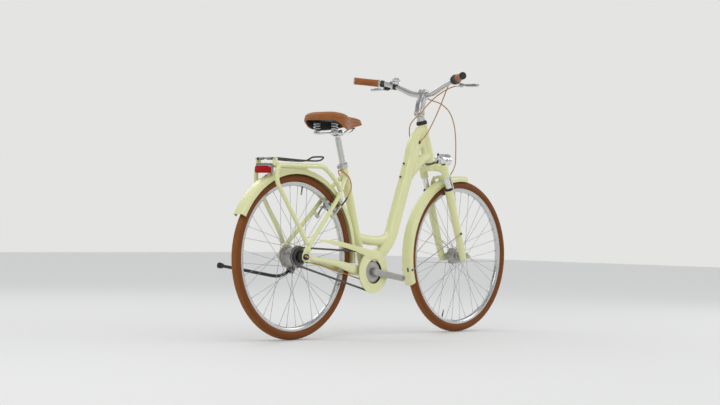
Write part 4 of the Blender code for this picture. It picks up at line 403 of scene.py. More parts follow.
def plate(outline, low, high, ease=0.0005, centre=(0, 0, 0), axes=((1, 0, 0), (0, 0, 1), (0, 1, 0))):
    """A flat outline given thickness along the third axis, its rim drawn in by ease at both faces."""
    p = np.asarray(outline, float)
    edge = unit(np.roll(p, -1, axis=0) - p)
    out = np.column_stack([edge[:, 1], -edge[:, 0]])
    area = np.dot(p[:, 0], np.roll(p[:, 1], -1)) - np.dot(p[:, 1], np.roll(p[:, 0], -1))
    out = out if area > 0 else -out
    corner = out + np.roll(out, 1, axis=0)
    corner = corner / np.maximum((corner ** 2).sum(axis=1), 0.6)[:, None] * 2
    rows = [(ease, low), (0.3 * ease, low + 0.3 * ease), (0, low + ease), (0, high - ease),
            (0.3 * ease, high - 0.3 * ease), (ease, high)]
    u, v, w = np.asarray(axes, float)
    flat = [p - corner * inset for inset, _ in rows]
    grid = np.array([centre + q[:, :1] * u + q[:, 1:] * v + height * w for q, (_, height) in zip(flat, rows)])
    return shell(grid)


def block(centre, size, ease=0.001, axes=np.eye(3), corner=None):
    """A box with rounded corners and rims, its sides along the three axes."""
    half = np.asarray(size, float) / 2
    box_outline = eased([(-half[0], -half[1]), (half[0], -half[1]), (half[0], half[1]), (-half[0], half[1])],
                        min(half[0], half[1]) * 0.35 if corner is None else corner)
    return plate(box_outline, -half[2], half[2], ease, np.asarray(centre, float), axes)


def mirrored(shells):
    """The same shells on the bike's other side, with their faces turned back outward."""
    return [(points * [1, -1, 1], [face[::-1] for face in faces]) for points, faces in shells]


def on_side(points, side=-1):
    """Points of the left side as they are for side 1, and mirrored to the right side for side -1."""
    return np.asarray(points, float) * [1, side, 1]


print("a block with eased edges has", len(block((0, 0, 0), (0.01, 0.01, 0.01))[1]), "faces")

# %% [markdown]
# ### Pieces
# A piece is one thing that a hand could hold: a tyre, a nut, a lever. It gets one finish and says which body
# of the CAD model it moves with and which nodes it stands for. Edges up to 38 degrees are shaded smooth.

# %% Shells into a finished piece
def piece(name, shells, finish, body, nodes=(), sharp=38.0):
    """Joins shells into one mesh, smooths it up to the sharp angle, and says what it rides on and stands for.
    A piece given no body is left unattached. The faces of each shell are counted on from the points before
    it."""
    offsets = np.cumsum([0] + [len(points) for points, _ in shells])
    points = np.vstack([points for points, _ in shells])
    faces = [[k + int(first) for k in face] for (_, found), first in zip(shells, offsets) for face in found]
    mesh = bpy.data.meshes.new(name)
    mesh.from_pydata(points.tolist(), [], faces)
    mesh.validate()
    mesh.shade_smooth()
    mesh.set_sharp_from_angle(angle=math.radians(sharp))
    mesh.materials.append(finish)
    made = bpy.data.objects.new(name, mesh)
    bpy.context.scene.collection.objects.link(made)
    if body:
        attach(made, body)
    if nodes:
        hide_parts(*nodes)
    print(f"{name}: {len(points)} points, {len(faces)} faces")
    return made

# %% [markdown]
# ## Finishes
# Every finish starts from the real material and from how its surface was made. Patterns are
# sized in millimetres through Object coordinates, which are metres here, so a noise scale of
# 1000 has features of about a millimetre. Nearly every finish needs the same three things:
# a tone that drifts between two colours, a roughness that isn't even, and a fine bump.

# %% Shader helpers
def finish(name, colour, roughness, metallic=0.0, **more):
    """A material with one Principled shader; extra values go on the shader's own sockets."""
    made = bpy.data.materials.new(name)
    made.use_nodes = True
    tree = made.node_tree
    shader = tree.nodes["Principled BSDF"]
    shader.inputs["Base Color"].default_value = linear(colour)
    shader.inputs["Roughness"].default_value = roughness
    shader.inputs["Metallic"].default_value = metallic
    for key, value in more.items():
        shader.inputs[key.replace("_", " ")].default_value = value
    place = add(tree, "ShaderNodeTexCoord")
    return made, tree, shader, place.outputs["Object"]


def cloud(tree, place, scale, detail=3.0, **more):
    """Noise between 0 and 1 with about that many blotches per metre; detail adds finer layers to it."""
    node = add(tree, "ShaderNodeTexNoise", {"Vector": place, "Scale": scale, "Detail": detail, **more})
    return node.outputs["Fac"]


def axle_distance(tree, place, centre):
    """Distance from a wheel's axle: the length of the place, moved to the axle and flattened along it."""
    moved = add(tree, "ShaderNodeMapping", {"Vector": place, "Location": tuple(-v for v in centre),
                                            "Scale": (1, 0.0, 1)})
    return add(tree, "ShaderNodeVectorMath", {0: moved.outputs["Vector"]},
               operation="LENGTH").outputs["Value"]


def worked(parts, tone, colours, wear, rough, height, depth, strength):
    """Tone runs the base colour between two codes, the middle of wear (0.3 to 0.7) runs the roughness
    between two values, and height is a bump of that depth in metres."""
    made, tree, shader, _ = parts
    blend = add(tree, "ShaderNodeMix", {0: tone}, data_type="RGBA")
    blend.inputs["A"].default_value = linear(colours[0])
    blend.inputs["B"].default_value = linear(colours[1])
    tree.links.new(blend.outputs["Result"], shader.inputs["Base Color"])
    spread = add(tree, "ShaderNodeMapRange", {"Value": wear, "From Min": 0.3, "From Max": 0.7,
                                              "To Min": rough[0], "To Max": rough[1]})
    tree.links.new(spread.outputs["Result"], shader.inputs["Roughness"])
    if depth:
        bump = add(tree, "ShaderNodeBump", {"Height": height, "Distance": depth, "Strength": strength})
        tree.links.new(bump.outputs["Normal"], shader.inputs["Normal"])
    return made


def clouded(name, colour, roughness, metallic, scale, detail, colours, rough, depth=0.0, strength=0.0):
    """A finish whose tone, roughness and bump all follow one noise pattern."""
    parts = finish(name, colour, roughness, metallic)
    pattern = cloud(parts[1], parts[3], scale, detail)
    return worked(parts, pattern, colours, pattern, rough, pattern, depth, strength)


print("a finish mixes two codes such as", [round(v, 3) for v in linear("#d9da9d")[:3]])

# %% [markdown]
# ### Lime cream powder coat
# The tubes, fenders, rack and guard are powder coated: the coat melts and levels in an oven,
# which leaves a faint orange peel of about 2 mm under a clear gloss, and a tone that drifts
# very slightly from piece to piece.

# %% Powder coat
def powder_coat():
    """A slow noise drifts the tone; a fine one is the orange peel, in the roughness and the height."""
    parts = finish("lime_cream_powder_coat", "#dedba6", 0.28, Coat_Weight=0.55, Coat_Roughness=0.06,
                   Specular_IOR_Level=0.5)
    drift = cloud(parts[1], parts[3], 5.0)
    peel = cloud(parts[1], parts[3], 420.0, 2.0)
    return worked(parts, drift, ("#d9da9d", "#e4e5b3"), peel, (0.24, 0.33), peel, 0.00006, 0.5)


PAINT = powder_coat()
print("made", PAINT.name)

# %% [markdown]
# ### Metals
# The bar, stem, levers and seat post are polished and lacquered aluminium, with faint lines
# left by the polishing mop. Hubs and cranks are forged and shot blasted, which leaves a satin
# skin. The lamp, bell, rails and springs are chromed: a mirror with a breath of grease. Rims
# are drawn aluminium whose side walls were turned on a lathe. Spokes and bolts are drawn
# stainless steel, the chain and sprocket darkened steel with an oil film, and the valve caps
# nickel plated brass.

# %% Metals
def polished_aluminium():
    """Noise squeezed 3.6 times along Y gives fine lines, which run tone, roughness and a slight bump."""
    parts = finish("polished_aluminium", "#d3d4d4", 0.2, 1.0, Coat_Weight=0.15, Coat_Roughness=0.1)
    tree = parts[1]
    stretched = add(tree, "ShaderNodeMapping", {"Vector": parts[3], "Scale": (420.0, 1500.0, 420.0)})
    lines = cloud(tree, stretched.outputs["Vector"], 1.0, 4.0)
    return worked(parts, lines, ("#c3c3c2", "#d2d2d1"), lines, (0.2, 0.34), lines, 0.00001, 0.25)


def turned_rim(name, centre):
    """Height is a quarter of the sine of the distance from the axle, one ring every 0.7 mm, plus a fine
    grain."""
    parts = finish(name, "#cfd0d1", 0.24, 1.0)
    tree = parts[1]
    reach = axle_distance(tree, parts[3], centre)
    turns = add(tree, "ShaderNodeMath", {0: reach, 1: 2 * math.pi / 0.0007}, operation="MULTIPLY")
    rings = add(tree, "ShaderNodeMath", {0: turns.outputs[0]}, operation="SINE")
    grain = cloud(tree, parts[3], 240.0)
    both = add(tree, "ShaderNodeMath", {0: rings.outputs[0], 1: 0.25, 2: grain}, operation="MULTIPLY_ADD")
    return worked(parts, grain, ("#c2c3c4", "#dadbdb"), grain, (0.17, 0.33), both.outputs[0], 0.00005, 0.4)


def cast_aluminium():
    """The satin skin that shot blasting leaves: pits of about a millimetre under a slow change of tone."""
    parts = finish("shot_blasted_aluminium", "#b5b2ad", 0.42, 1.0)
    pits = cloud(parts[1], parts[3], 900.0, 4.0)
    tone = cloud(parts[1], parts[3], 60.0)
    return worked(parts, tone, ("#a19e99", "#c3c0bb"), tone, (0.34, 0.5), pits, 0.00006, 0.5)


SILVER = polished_aluminium()
CAST = cast_aluminium()
CHROME = clouded("chrome_plate", "#e3e4e6", 0.05, 1.0, 60.0, 4.0, ("#d5d7da", "#ececee"), (0.03, 0.13),
                 0.00005, 0.2)
STEEL = clouded("drawn_stainless_steel", "#b4b5b6", 0.28, 1.0, 350.0, 3.0, ("#a2a3a5", "#c6c7c8"),
                (0.2, 0.36), 0.00003, 0.4)
DARK_STEEL = clouded("oiled_dark_steel", "#5d5c5a", 0.38, 0.9, 110.0, 5.0, ("#3d3a37", "#84827f"),
                     (0.28, 0.52), 0.0001, 0.4)
BRASS = clouded("nickel_plated_brass", "#c9b08d", 0.25, 1.0, 300.0, 3.0, ("#a49a8b", "#c8bfb0"), (0.18, 0.36))
print("made", [m.name for m in (SILVER, CAST, CHROME, STEEL, DARK_STEEL, BRASS)])

# %% [markdown]
# ### Black and coloured plastic, black coat and rubber
# The shifter, headset cup and lamp cable are moulded plastic with a fine spark-eroded grain.
# The luggage clamp and the stand are steel under a satin black coat that is worn a little
# greyer where hands and shoes rub it. Brake pads and inner tubes are soft black rubber.

# %% Plastic, coat and pads
def moulded_plastic(name, dark, light, scale=1100.0):
    """Bump from the distance to the nearest of many random points; a slow noise runs tone and roughness."""
    parts = finish(name, dark, 0.45)
    grain = add(parts[1], "ShaderNodeTexVoronoi", {"Vector": parts[3], "Scale": scale})
    tone = cloud(parts[1], parts[3], 25.0)
    return worked(parts, tone, (dark, light), tone, (0.36, 0.52), grain.outputs["Distance"], 0.00006, 0.5)


def satin_black():
    """A rough noise runs everything; only its upper part, 0.5 to 0.8, is worn and turns the black grey."""
    parts = finish("satin_black_coat", "#151617", 0.32, Coat_Weight=0.3, Coat_Roughness=0.15)
    rub = cloud(parts[1], parts[3], 45.0, 6.0, Roughness=0.7)
    worn = add(parts[1], "ShaderNodeMapRange", {"Value": rub, "From Min": 0.5, "From Max": 0.8})
    return worked(parts, worn.outputs["Result"], ("#141516", "#3b3c3d"), rub, (0.25, 0.5), rub, 0.00008, 0.4)


BLACK = moulded_plastic("black_moulded_plastic", "#161718", "#232426")
GREY = moulded_plastic("grey_moulded_plastic", "#8d8f92", "#a7a9ab")
YELLOW = moulded_plastic("amber_moulded_plastic", "#d79a18", "#e8b22c")
SATIN = satin_black()
PAD = moulded_plastic("black_brake_rubber", "#1b1b1c", "#2c2b2a", 500.0)
print("made", [m.name for m in (BLACK, GREY, YELLOW, SATIN, PAD)])

# %% [markdown]
# ### Brown rubber, leather, housing and thread
# The tyres are coloured rubber, a warm brown that dust turns paler in the tread. The saddle and the grips are
# covered in cognac leather: its grain is cells of a little over a millimetre with fine creases, and the
# creases between the cells are painted darker, which is painted shade. The cables run in a brown housing
# whose lining wire shows as fine ribs, and the saddle is sewn with waxed thread.

# %% Rubber, leather, housing and thread
def brown_rubber(name, centre):
    """Dust is a slow noise times the way from side wall (338 mm from the axle) to tread (348.8 mm)."""
    parts = finish(name, "#7b4a2b", 0.62, Specular_IOR_Level=0.25)
    tree = parts[1]
    reach = axle_distance(tree, parts[3], centre)
    tread = add(tree, "ShaderNodeMapRange", {"Value": reach, "From Min": 0.338, "From Max": 0.3488})
    blotch = cloud(tree, parts[3], 40.0, 6.0, Roughness=0.65)
    dust = add(tree, "ShaderNodeMath", {0: tread.outputs["Result"], 1: blotch}, operation="MULTIPLY")
    fine = cloud(tree, parts[3], 700.0)
    return worked(parts, dust.outputs[0], ("#744014", "#98602c"), blotch, (0.5, 0.72), fine, 0.00012, 0.5)


def cognac_leather():
    """Grain is the distance to the nearest cell edge, up to 0.18 of a cell, in a place that noise has shifted
    by up to 4 mm. The colour is the slow tone plus 0.22 of the grain, so the creases between cells are
    painted darker as painted shade."""
    parts = finish("cognac_leather", "#a2582a", 0.42, Sheen_Weight=0.12, Sheen_Roughness=0.4,
                   Specular_IOR_Level=0.3)
    tree, place = parts[1], parts[3]
    warped = add(tree, "ShaderNodeTexNoise", {"Vector": place, "Scale": 130.0, "Detail": 2.0})
    shifted = add(tree, "ShaderNodeVectorMath", {0: warped.outputs["Color"], 1: (0.004, 0.004, 0.004)},
                  operation="MULTIPLY")
    wandering = add(tree, "ShaderNodeVectorMath", {0: place, 1: shifted.outputs[0]}, operation="ADD")
    cells = add(tree, "ShaderNodeTexVoronoi", {"Vector": wandering.outputs[0], "Scale": 760.0},
                feature="DISTANCE_TO_EDGE")
    grain = add(tree, "ShaderNodeMapRange", {"Value": cells.outputs["Distance"], "From Min": 0.0,
                                             "From Max": 0.18})
    tone = cloud(tree, place, 22.0, 5.0, Roughness=0.6)
    # The creases between grain cells take the darker colour: painted shade, laid over the slow tone.
    depth = add(tree, "ShaderNodeMath", {0: grain.outputs["Result"], 1: 0.22, 2: tone},
                operation="MULTIPLY_ADD")
    return worked(parts, depth.outputs[0], ("#733c10", "#a8642a"), tone, (0.34, 0.52),
                  grain.outputs["Result"], 0.00018, 0.55)


def cable_housing():
    """Ribs of about 2 mm in the height, and a slow noise in the tone and the roughness."""
    parts = finish("brown_cable_housing", "#8f5a2b", 0.4)
    ribs = cloud(parts[1], parts[3], 520.0, 2.0)
    tone = cloud(parts[1], parts[3], 30.0)
    return worked(parts, tone, ("#a9702e", "#c38a43"), tone, (0.33, 0.5), ribs, 0.0001, 0.5)


LEATHER = cognac_leather()
HOUSING = cable_housing()
THREAD = clouded("waxed_thread", "#d8b27c", 0.6, 0.0, 2500.0, 2.0, ("#c79e66", "#e3c193"), (0.5, 0.7))
print("made", [m.name for m in (LEATHER, HOUSING, THREAD)])

# %% [markdown]
# ### Lenses
# The tail light's red polycarbonate is moulded with rows of small prisms inside, about 4 mm
# apart. The headlight's clear lens has upright flutes that spread the beam.

# %% Lenses
def red_prisms():
    """Square cells of 4 mm: the largest of three distances to a cell's middle runs tone, gloss, height."""
    parts = finish("red_prism_lens", "#a8080d", 0.3, Specular_IOR_Level=0.2)
    tiles = add(parts[1], "ShaderNodeTexVoronoi", {"Vector": parts[3], "Scale": 250.0, "Randomness": 0.0},
                distance="CHEBYCHEV")
    prism = tiles.outputs["Distance"]
    return worked(parts, prism, ("#b8070c", "#8c0307"), prism, (0.24, 0.36), prism, 0.0004, 0.4)


def clear_flutes():
    """Bands across Y, a sine wave of the place, in clear plastic that passes 85 percent of the light."""
    parts = finish("clear_fluted_lens", "#eef2f4", 0.04, Transmission_Weight=0.85, IOR=1.58)
    bands = add(parts[1], "ShaderNodeTexWave", {"Vector": parts[3], "Scale": 60.0}, wave_type="BANDS",
                bands_direction="Y")
    flutes = bands.outputs["Fac"]
    return worked(parts, flutes, ("#e2e8ec", "#f6f8f9"), flutes, (0.03, 0.1), flutes, 0.0004, 0.6)


RED_LENS = red_prisms()
CLEAR_LENS = clear_flutes()
print(len(bpy.data.materials), "materials in the file")

# %% [markdown]
# ## Wheels
# The wheels fix the scale of the whole bike, so their sizes come first, with the steering
# axis: it leans back by 20 degrees, and the front axle stands 50 mm ahead of it.

# %% Wheel sizes
WHEEL_R = 0.349
AXLES = {"rear": np.array([-0.55, 0, WHEEL_R]), "front": np.array([0.55, 0, WHEEL_R])}
LEFT = np.array([0.0, 1.0, 0.0])
UP = np.array([-0.34202014, 0, 0.93969262])
AHEAD = np.array([0.93969262, 0, 0.34202014])
FORK_OFFSET = 0.05
STEER_FOOT = np.array([0.55 - FORK_OFFSET / 0.93969262, 0, WHEEL_R])
AXLE_DROP = -FORK_OFFSET * 0.34202014 / 0.93969262
print("wheelbase", float(AXLES["front"][0] - AXLES["rear"][0]), "m")


def steer(up, ahead=0.0, y=0.0):
    """A point given along the steering axis, ahead of it and to the left."""
    return STEER_FOOT + UP * up + AHEAD * ahead + LEFT * y


# %% [markdown]
# Both wheels carry a 40-622 city tyre on a box rim of 622 mm bead seat, with 36 spokes that
# cross three others. The tyre's tread is cut with slanted grooves, so its surface is worked
# out from two parameters: the angle round the wheel and the way across the tyre.

# %% Tyres
def tyre_surface(centre, around=720, across=44):
    """A round section of 20.4 mm half width carried round the axle; slanted grooves are cut 0.9 mm deep
    in the tread, and three fine ribs stand on each side wall. The section stays open at the beads."""
    t = np.linspace(0, 2 * math.pi, around, endpoint=False)[:, None]
    s = np.linspace(-1, 1, across)[None, :]
    bend = s * math.radians(148)
    radius = 0.3284 + 0.0204 * np.cos(bend)
    tuck = np.where(np.abs(bend) > math.pi / 2, 0.52 + 0.48 * np.abs(np.sin(bend)) ** 0.5, 1.0)
    y = 0.02 * np.sin(bend) * tuck
    tread = np.clip((0.66 - np.abs(s)) / 0.08, 0, 1)
    slant = np.sin(96 * t + np.sign(s) * 5.5 * np.abs(s) * math.pi)
    groove = np.clip((slant - 0.72) / 0.2, 0, 1) * tread * np.clip((np.abs(s) - 0.07) / 0.05, 0, 1)
    centre_line = np.clip(1 - np.abs(np.abs(s) - 0.3) / 0.022, 0, 1)
    ribs = sum(np.exp(-((np.abs(s) - k) / 0.01) ** 2) for k in (0.72, 0.8, 0.88))
    height = 0.0003 * ribs - 0.0009 * np.maximum(groove, 0.8 * centre_line)
    radius = radius + height * np.cos(bend)
    y = y + height * np.sin(bend)
    inner = np.stack([np.full((1, 2), 0.3125), np.array([[0.0068, -0.0068]])])
    rows = np.concatenate([radius + 0 * t, np.repeat(inner[0], around, axis=0)], axis=1)
    sides = np.concatenate([y + 0 * t, np.repeat(inner[1], around, axis=0)], axis=1)
    grid = np.stack([centre[0] + rows * np.sin(t), centre[1] + sides, centre[2] + rows * np.cos(t)], axis=-1)
    return shell(grid, loop=True)


RUBBER = {}
RIM_METAL = {}
for tag, centre in AXLES.items():
    RUBBER[tag] = brown_rubber(f"brown_tyre_rubber_{tag}", centre)
    RIM_METAL[tag] = turned_rim(f"turned_rim_aluminium_{tag}", centre)
    piece(f"tyre_{tag}", [tyre_surface(centre)], RUBBER[tag], f"{tag}_wheel", [f"{tag}_tyre"], 50)

# %% [markdown]
# The rim is one drawn profile: two hooked flanges that hold the bead, a flat brake track on
# each side and a box underneath, which narrows towards the spokes. Each spoke hole has an
# eyelet, and a nipple sits in it.

# %% Rims, eyelets and nipples
SPOKES = 36
NIPPLE_SEAT_R = 0.2966
HUB_TURN = math.radians(66.0)


def rim_profile():
    """The rim's outline in radius and width: one side and its mirror image, eased by half a millimetre."""
    wall = mm([(317.2, 11.9), (317.2, 10.4), (315, 10), (311.5, 10), (310, 7)])
    under = mm([(296.6, 5.2), (298.5, 8.5), (303.5, 11.2), (305, 11.8)])
    other = [1, -1]
    return eased(np.vstack([wall, wall[::-1] * other, under[::-1] * other, under]), 0.0005)


def spoke_spots(tag):
    """Rim point, hub point and flange side of all spokes. Neighbours go to opposite flanges, and each one
    goes round its flange by 66 degrees, every second pair the other way."""
    flange = {"rear": [(0.03, 0.0479), (-0.03, 0.0479)], "front": [(0.03, 0.0374), (-0.03, 0.0279)]}[tag]
    k = np.arange(SPOKES)
    side = np.where(k % 2 == 0, 0, 1)
    lead = np.where((k // 2) % 2 == 0, 1, -1)
    mid = 2 * math.pi * (k + 0.5) / SPOKES
    at = np.array(flange)[side]
    turn = mid + lead * HUB_TURN
    centre = AXLES[tag]
    sign = np.where(side == 0, 1, -1)
    rim = centre + np.column_stack([NIPPLE_SEAT_R * np.sin(mid), 0.0022 * sign, NIPPLE_SEAT_R * np.cos(mid)])
    hole = at[:, 1] - 0.0035
    hub = centre + np.column_stack([hole * np.sin(turn), at[:, 0] + lead * 0.0024, hole * np.cos(turn)])
    return rim, hub, at[:, 0], lead


def bars(starts, ends, radii, sides=8):
    """Many short round bars at once: each start and end gets a ring of points square to its own line."""
    starts, ends = np.asarray(starts), np.asarray(ends)
    line = unit(ends - starts)
    u = unit(np.cross(line, LEFT))
    v = np.cross(line, u)
    a = np.linspace(0, 2 * math.pi, sides, endpoint=False)
    ring = u[:, None] * np.cos(a)[None, :, None] + v[:, None] * np.sin(a)[None, :, None]
    return [shell(np.array([p + r * radii[0], q + r * radii[1]])) for p, q, r in zip(starts, ends, ring)]


for tag, centre in AXLES.items():
    piece(f"rim_{tag}", [turned(rim_profile(), centre, LEFT, 240, closed=True)], RIM_METAL[tag],
          f"{tag}_wheel", [f"{tag}_rim"], 30)
    rim, hub, flange_y, lead = spoke_spots(tag)
    line = unit(hub - rim)
    spokes = bars(rim + line * 0.01, hub, (0.00095, 0.00095))
    elbow = hub * [1, 0, 1] + LEFT * (flange_y - lead * 0.0034)[:, None]
    spokes += bars(hub, elbow, (0.00105, 0.00105))
    spokes += bars(elbow, elbow - LEFT * (lead * 0.0009)[:, None], (0.0019, 0.0014))
    piece(f"spokes_{tag}", spokes, STEEL, f"{tag}_wheel", [f"{tag}_spokes"], 50)
    nipples = bars(rim - line * 0.001, rim + line * 0.012, (0.0021, 0.0016))
    nipples += bars(rim - line * 0.0006, rim + line * 0.0012, (0.0034, 0.003))
    piece(f"nipples_{tag}", nipples, SILVER, f"{tag}_wheel", [], 50)

# %% [markdown]
# The valve stands through the rim from the inner tube. Its stem is black rubber below and a
# threaded metal cap above. The tube itself is never seen, but the stem is part of it, so the
# stem stands for the tube's node.

# %% Valves
VALVES = {"rear": math.radians(10.0), "front": math.radians(200.0)}


def valve(tag):
    """Stem, rim collar and cap turned round a line from the rim towards the axle."""
    centre = AXLES[tag]
    toward = np.array([math.sin(VALVES[tag]), 0, math.cos(VALVES[tag])])
    stem = [(2.9, -318), (3, -297), (4.2, -295.8), (4.2, -293.8), (2.7, -290), (2.5, -274.5)]
    cap = [(3, -275), (3.4, -273.5), (3.4, -266.8), (2.8, -262.2), (0.2, -261.5)]
    threads = np.column_stack([0.0026 + 0.0003 * np.abs(np.sin(np.linspace(0, 9 * math.pi, 60))),
                               np.linspace(-0.29, -0.275, 60)])
    piece(f"valve_stem_{tag}", [solid(stem, 0.4, centre, -toward, 24),
                                turned(np.vstack([[0.0002, -0.29], threads, [0.0002, -0.275]]), centre,
                                       -toward, 24)], PAD, f"{tag}_wheel", [f"{tag}_inner_tube"], 40)
    piece(f"valve_cap_{tag}", [solid(cap, 0.4, centre, -toward, 24)], BRASS, f"{tag}_wheel", [], 40)


for tag in AXLES:
    valve(tag)

# %% [markdown]
# The rear hub is a wide aluminium shell for an internal gear with tall flanges. The front hub
# is a small dynamo: a drum on the left side, a narrow neck and a low flange on the right.
# Both are turned profiles with eased rims.

# %% Hubs
def hub_shell(tag):
    """The profile from the right end over the flanges to the left end, turned round the axle."""
    if tag == "rear":
        half = [(6, -38.3), (23.5, -38.3), (24.2, -36.2), (33, -35), (39.2, -32.5), (40, -31.3),
                (46.8, -31.3), (47.8, -30.4), (47.8, -29), (46.6, -28.5), (39.8, -28.3), (38.8, -26),
                (37.5, -20), (37.2, -6), (38, -4), (38, 4), (37.2, 6), (37.5, 20), (38.8, 26), (39.8, 28.3),
                (46.6, 28.5), (47.8, 29), (47.8, 30.4), (46.8, 31.3), (40, 31.3), (39.2, 32.5), (34, 36.8),
                (30, 39.8), (25, 42), (20, 47.8), (6, 47.8)]
    else:
        half = [(6, -43.8), (10.8, -43.8), (12.5, -39.5), (18.5, -33), (20, -31.3), (27.2, -31.3),
                (27.9, -30.4), (27.9, -29), (27, -28.5), (19, -28.3), (18.2, -24), (17.8, -13), (21.5, -8.5),
                (31, -4), (34, -1), (34.6, 5), (33.6, 5.8), (34.6, 6.6), (34.6, 27), (35.6, 28.4), (37, 28.5),
                (37.4, 29.2), (37.4, 30.6), (36.6, 31.4), (33, 32.2), (26.2, 39.2), (25, 39.8), (14, 41.5),
                (12.8, 42.8), (6, 42.8)]
    return hollow(half, 0.6, AXLES[tag], LEFT, 96)


for tag in AXLES:
    piece(f"hub_{tag}", [hub_shell(tag)], CAST, f"{tag}_wheel", [f"{tag}_hub"], 32)

# %% [markdown]
# ## Frame
# The frame is welded from a big curved down tube that splits in two below the head tube, a
# lower branch to the seat tube and a plain round seat tube. The tubes are made as shells
# that cross each other, then remeshed into one skin, and a few rounds of smoothing turn the
# sharp lines where they meet into weld fillets. The bores are cut last, so they stay crisp.

# %% Weld crossing shells into one skin
def welded(made, voxel, rounds, bores=()):
    """Remeshes a piece on a grid of that size, relaxes it, and cuts the bores out of the result."""
    skin = made.modifiers.new("skin", "REMESH")
    skin.mode = "VOXEL"
    skin.voxel_size = voxel
    skin.use_smooth_shade = True
    relax = made.modifiers.new("relax", "SMOOTH")
    relax.iterations = rounds
    relax.factor = 0.5
    cutters = []
    for k, (points, faces) in enumerate(bores):
        mesh = bpy.data.meshes.new(f"{made.name}_bore_{k}")
        mesh.from_pydata(points.tolist(), [], faces)
        cutter = bpy.data.objects.new(mesh.name, mesh)
        bpy.context.scene.collection.objects.link(cutter)
        cutters.append(cutter)
        step = made.modifiers.new(mesh.name, "BOOLEAN")
        step.operation = "DIFFERENCE"
        step.object = cutter
    shape = made.evaluated_get(bpy.context.evaluated_depsgraph_get())
    mesh = bpy.data.meshes.new_from_object(shape)
    made.modifiers.clear()
    made.data = mesh
    for cutter in cutters:
        bpy.data.objects.remove(cutter, do_unlink=True)
    mesh.set_sharp_from_angle(angle=math.radians(40))
    print(f"{made.name}: welded into {len(mesh.polygons)} faces")


# %% [markdown]
# The down tube is a big tube with nearly flat sides that was bent in a die, so its middle
# line is drawn as points down the frame and its section hardly changes. Where it meets the
# head tube it is split in two roots with a web between them, which is how such frames are
# kept stiff. The round seat tube is straight.

# %% Main tubes
BB_CENTRE = mm([-100, 0, 283])
SEAT_UP = np.array([-0.30237, 0, 0.95319])
SEAT_AHEAD = np.array([0.95319, 0, 0.30237])
DOWN_TUBE = mm([(292, 0, 925), (262, 0, 905), (230.5, 0, 868), (211.5, 0, 826), (202.5, 0, 786),
                (187.5, 0, 745), (172, 0, 700), (153.5, 0, 653), (135, 0, 603), (115.5, 0, 550),
                (97.5, 0, 500), (79, 0, 452), (52, 0, 408), (5, 0, 363), (-48, 0, 322), (-95, 0, 287)])
GUSSET = mm([(333, 0, 808), (306, 0, 797), (275, 0, 782), (245, 0, 762), (215, 0, 738), (190, 0, 705)])
WEB = mm([(231, 0, 780), (239, 0, 815), (250, 0, 842), (270, 0, 857), (291, 0, 848), (302, 0, 825),
          (307, 0, 795)])
BRIDGE = mm([(-150, 0, 430), (-110, 0, 424), (-50, 0, 417.5), (15, 0, 420), (80, 0, 440)])
HEAD_LOW, HEAD_HIGH, HEAD_R = 0.4555, 0.6364, 0.0235


def seat_at(z, ahead=0.0, y=0.0):
    """A point on the seat tube's axis at height z, moved ahead square to the axis and to the left."""
    return BB_CENTRE + SEAT_UP * ((z - BB_CENTRE[2]) / SEAT_UP[2]) + SEAT_AHEAD * ahead + LEFT * y


def frame_tubes():
    """Down tube, its lower root at the head, the branch to the seat tube, that tube, two cross shells."""
    down = smooth_path(DOWN_TUBE, 90)
    reach = np.linspace(0, 1, 90)
    down_width = np.interp(reach, [0, 0.2, 0.8, 1], [0.02, 0.0265, 0.0265, 0.024])
    low = smooth_path(GUSSET, 30)
    low_depth = np.interp(np.linspace(0, 1, 30), [0, 0.25, 0.5, 0.75, 1],
                          [0.021, 0.021, 0.0235, 0.026, 0.018])
    head = [(0.0002, HEAD_LOW), (0.0252, HEAD_LOW), (0.0252, HEAD_LOW + 0.009), (HEAD_R, HEAD_LOW + 0.012),
            (HEAD_R, HEAD_HIGH - 0.012), (0.025, HEAD_HIGH - 0.009), (0.025, HEAD_HIGH), (0.0002, HEAD_HIGH)]
    return [tube(down, 0.0268, down_width, LEFT, 2.8, 56), tube(low, low_depth, 0.0215, LEFT, 2.6, 48),
            tube(smooth_path(BRIDGE, 40), 0.0212, 0.0187, LEFT, 2.5, 40),
            tube(smooth_path(WEB, 40), 0.018, 0.015, LEFT, 2.6, 32),
            tube([(0.25, 0, 0.88), (0.305, 0, 0.868)], 0.018, 0.016, LEFT, 2.6, 32),
            turned(head, STEER_FOOT, UP, 56), tube([seat_at(0.283), seat_at(0.749)], 0.0174, sides=48),
            tube([BB_CENTRE - LEFT * 0.034, BB_CENTRE + LEFT * 0.034], 0.0212, sides=56)]


bores = [tube([steer(HEAD_LOW - 0.01), steer(HEAD_HIGH + 0.01)], 0.0172, sides=64),
         tube([seat_at(0.49), seat_at(0.78)], 0.0139, sides=64),
         tube([BB_CENTRE - LEFT * 0.05, BB_CENTRE + LEFT * 0.05], 0.0174, sides=64)]
main_tubes = piece("frame_tubes", frame_tubes(), PAINT, "frame", ["frame"])
welded(main_tubes, 0.0024, 6, bores)

# %% [markdown]
# The stays are thinner. The seat stays are round tubes that bow outward round the tyre, and
# the chain stays are flattened where they pass the tyre and the chainring. Both end in
# forged plates that hold the axle. Brake bosses stand on the seat stays.

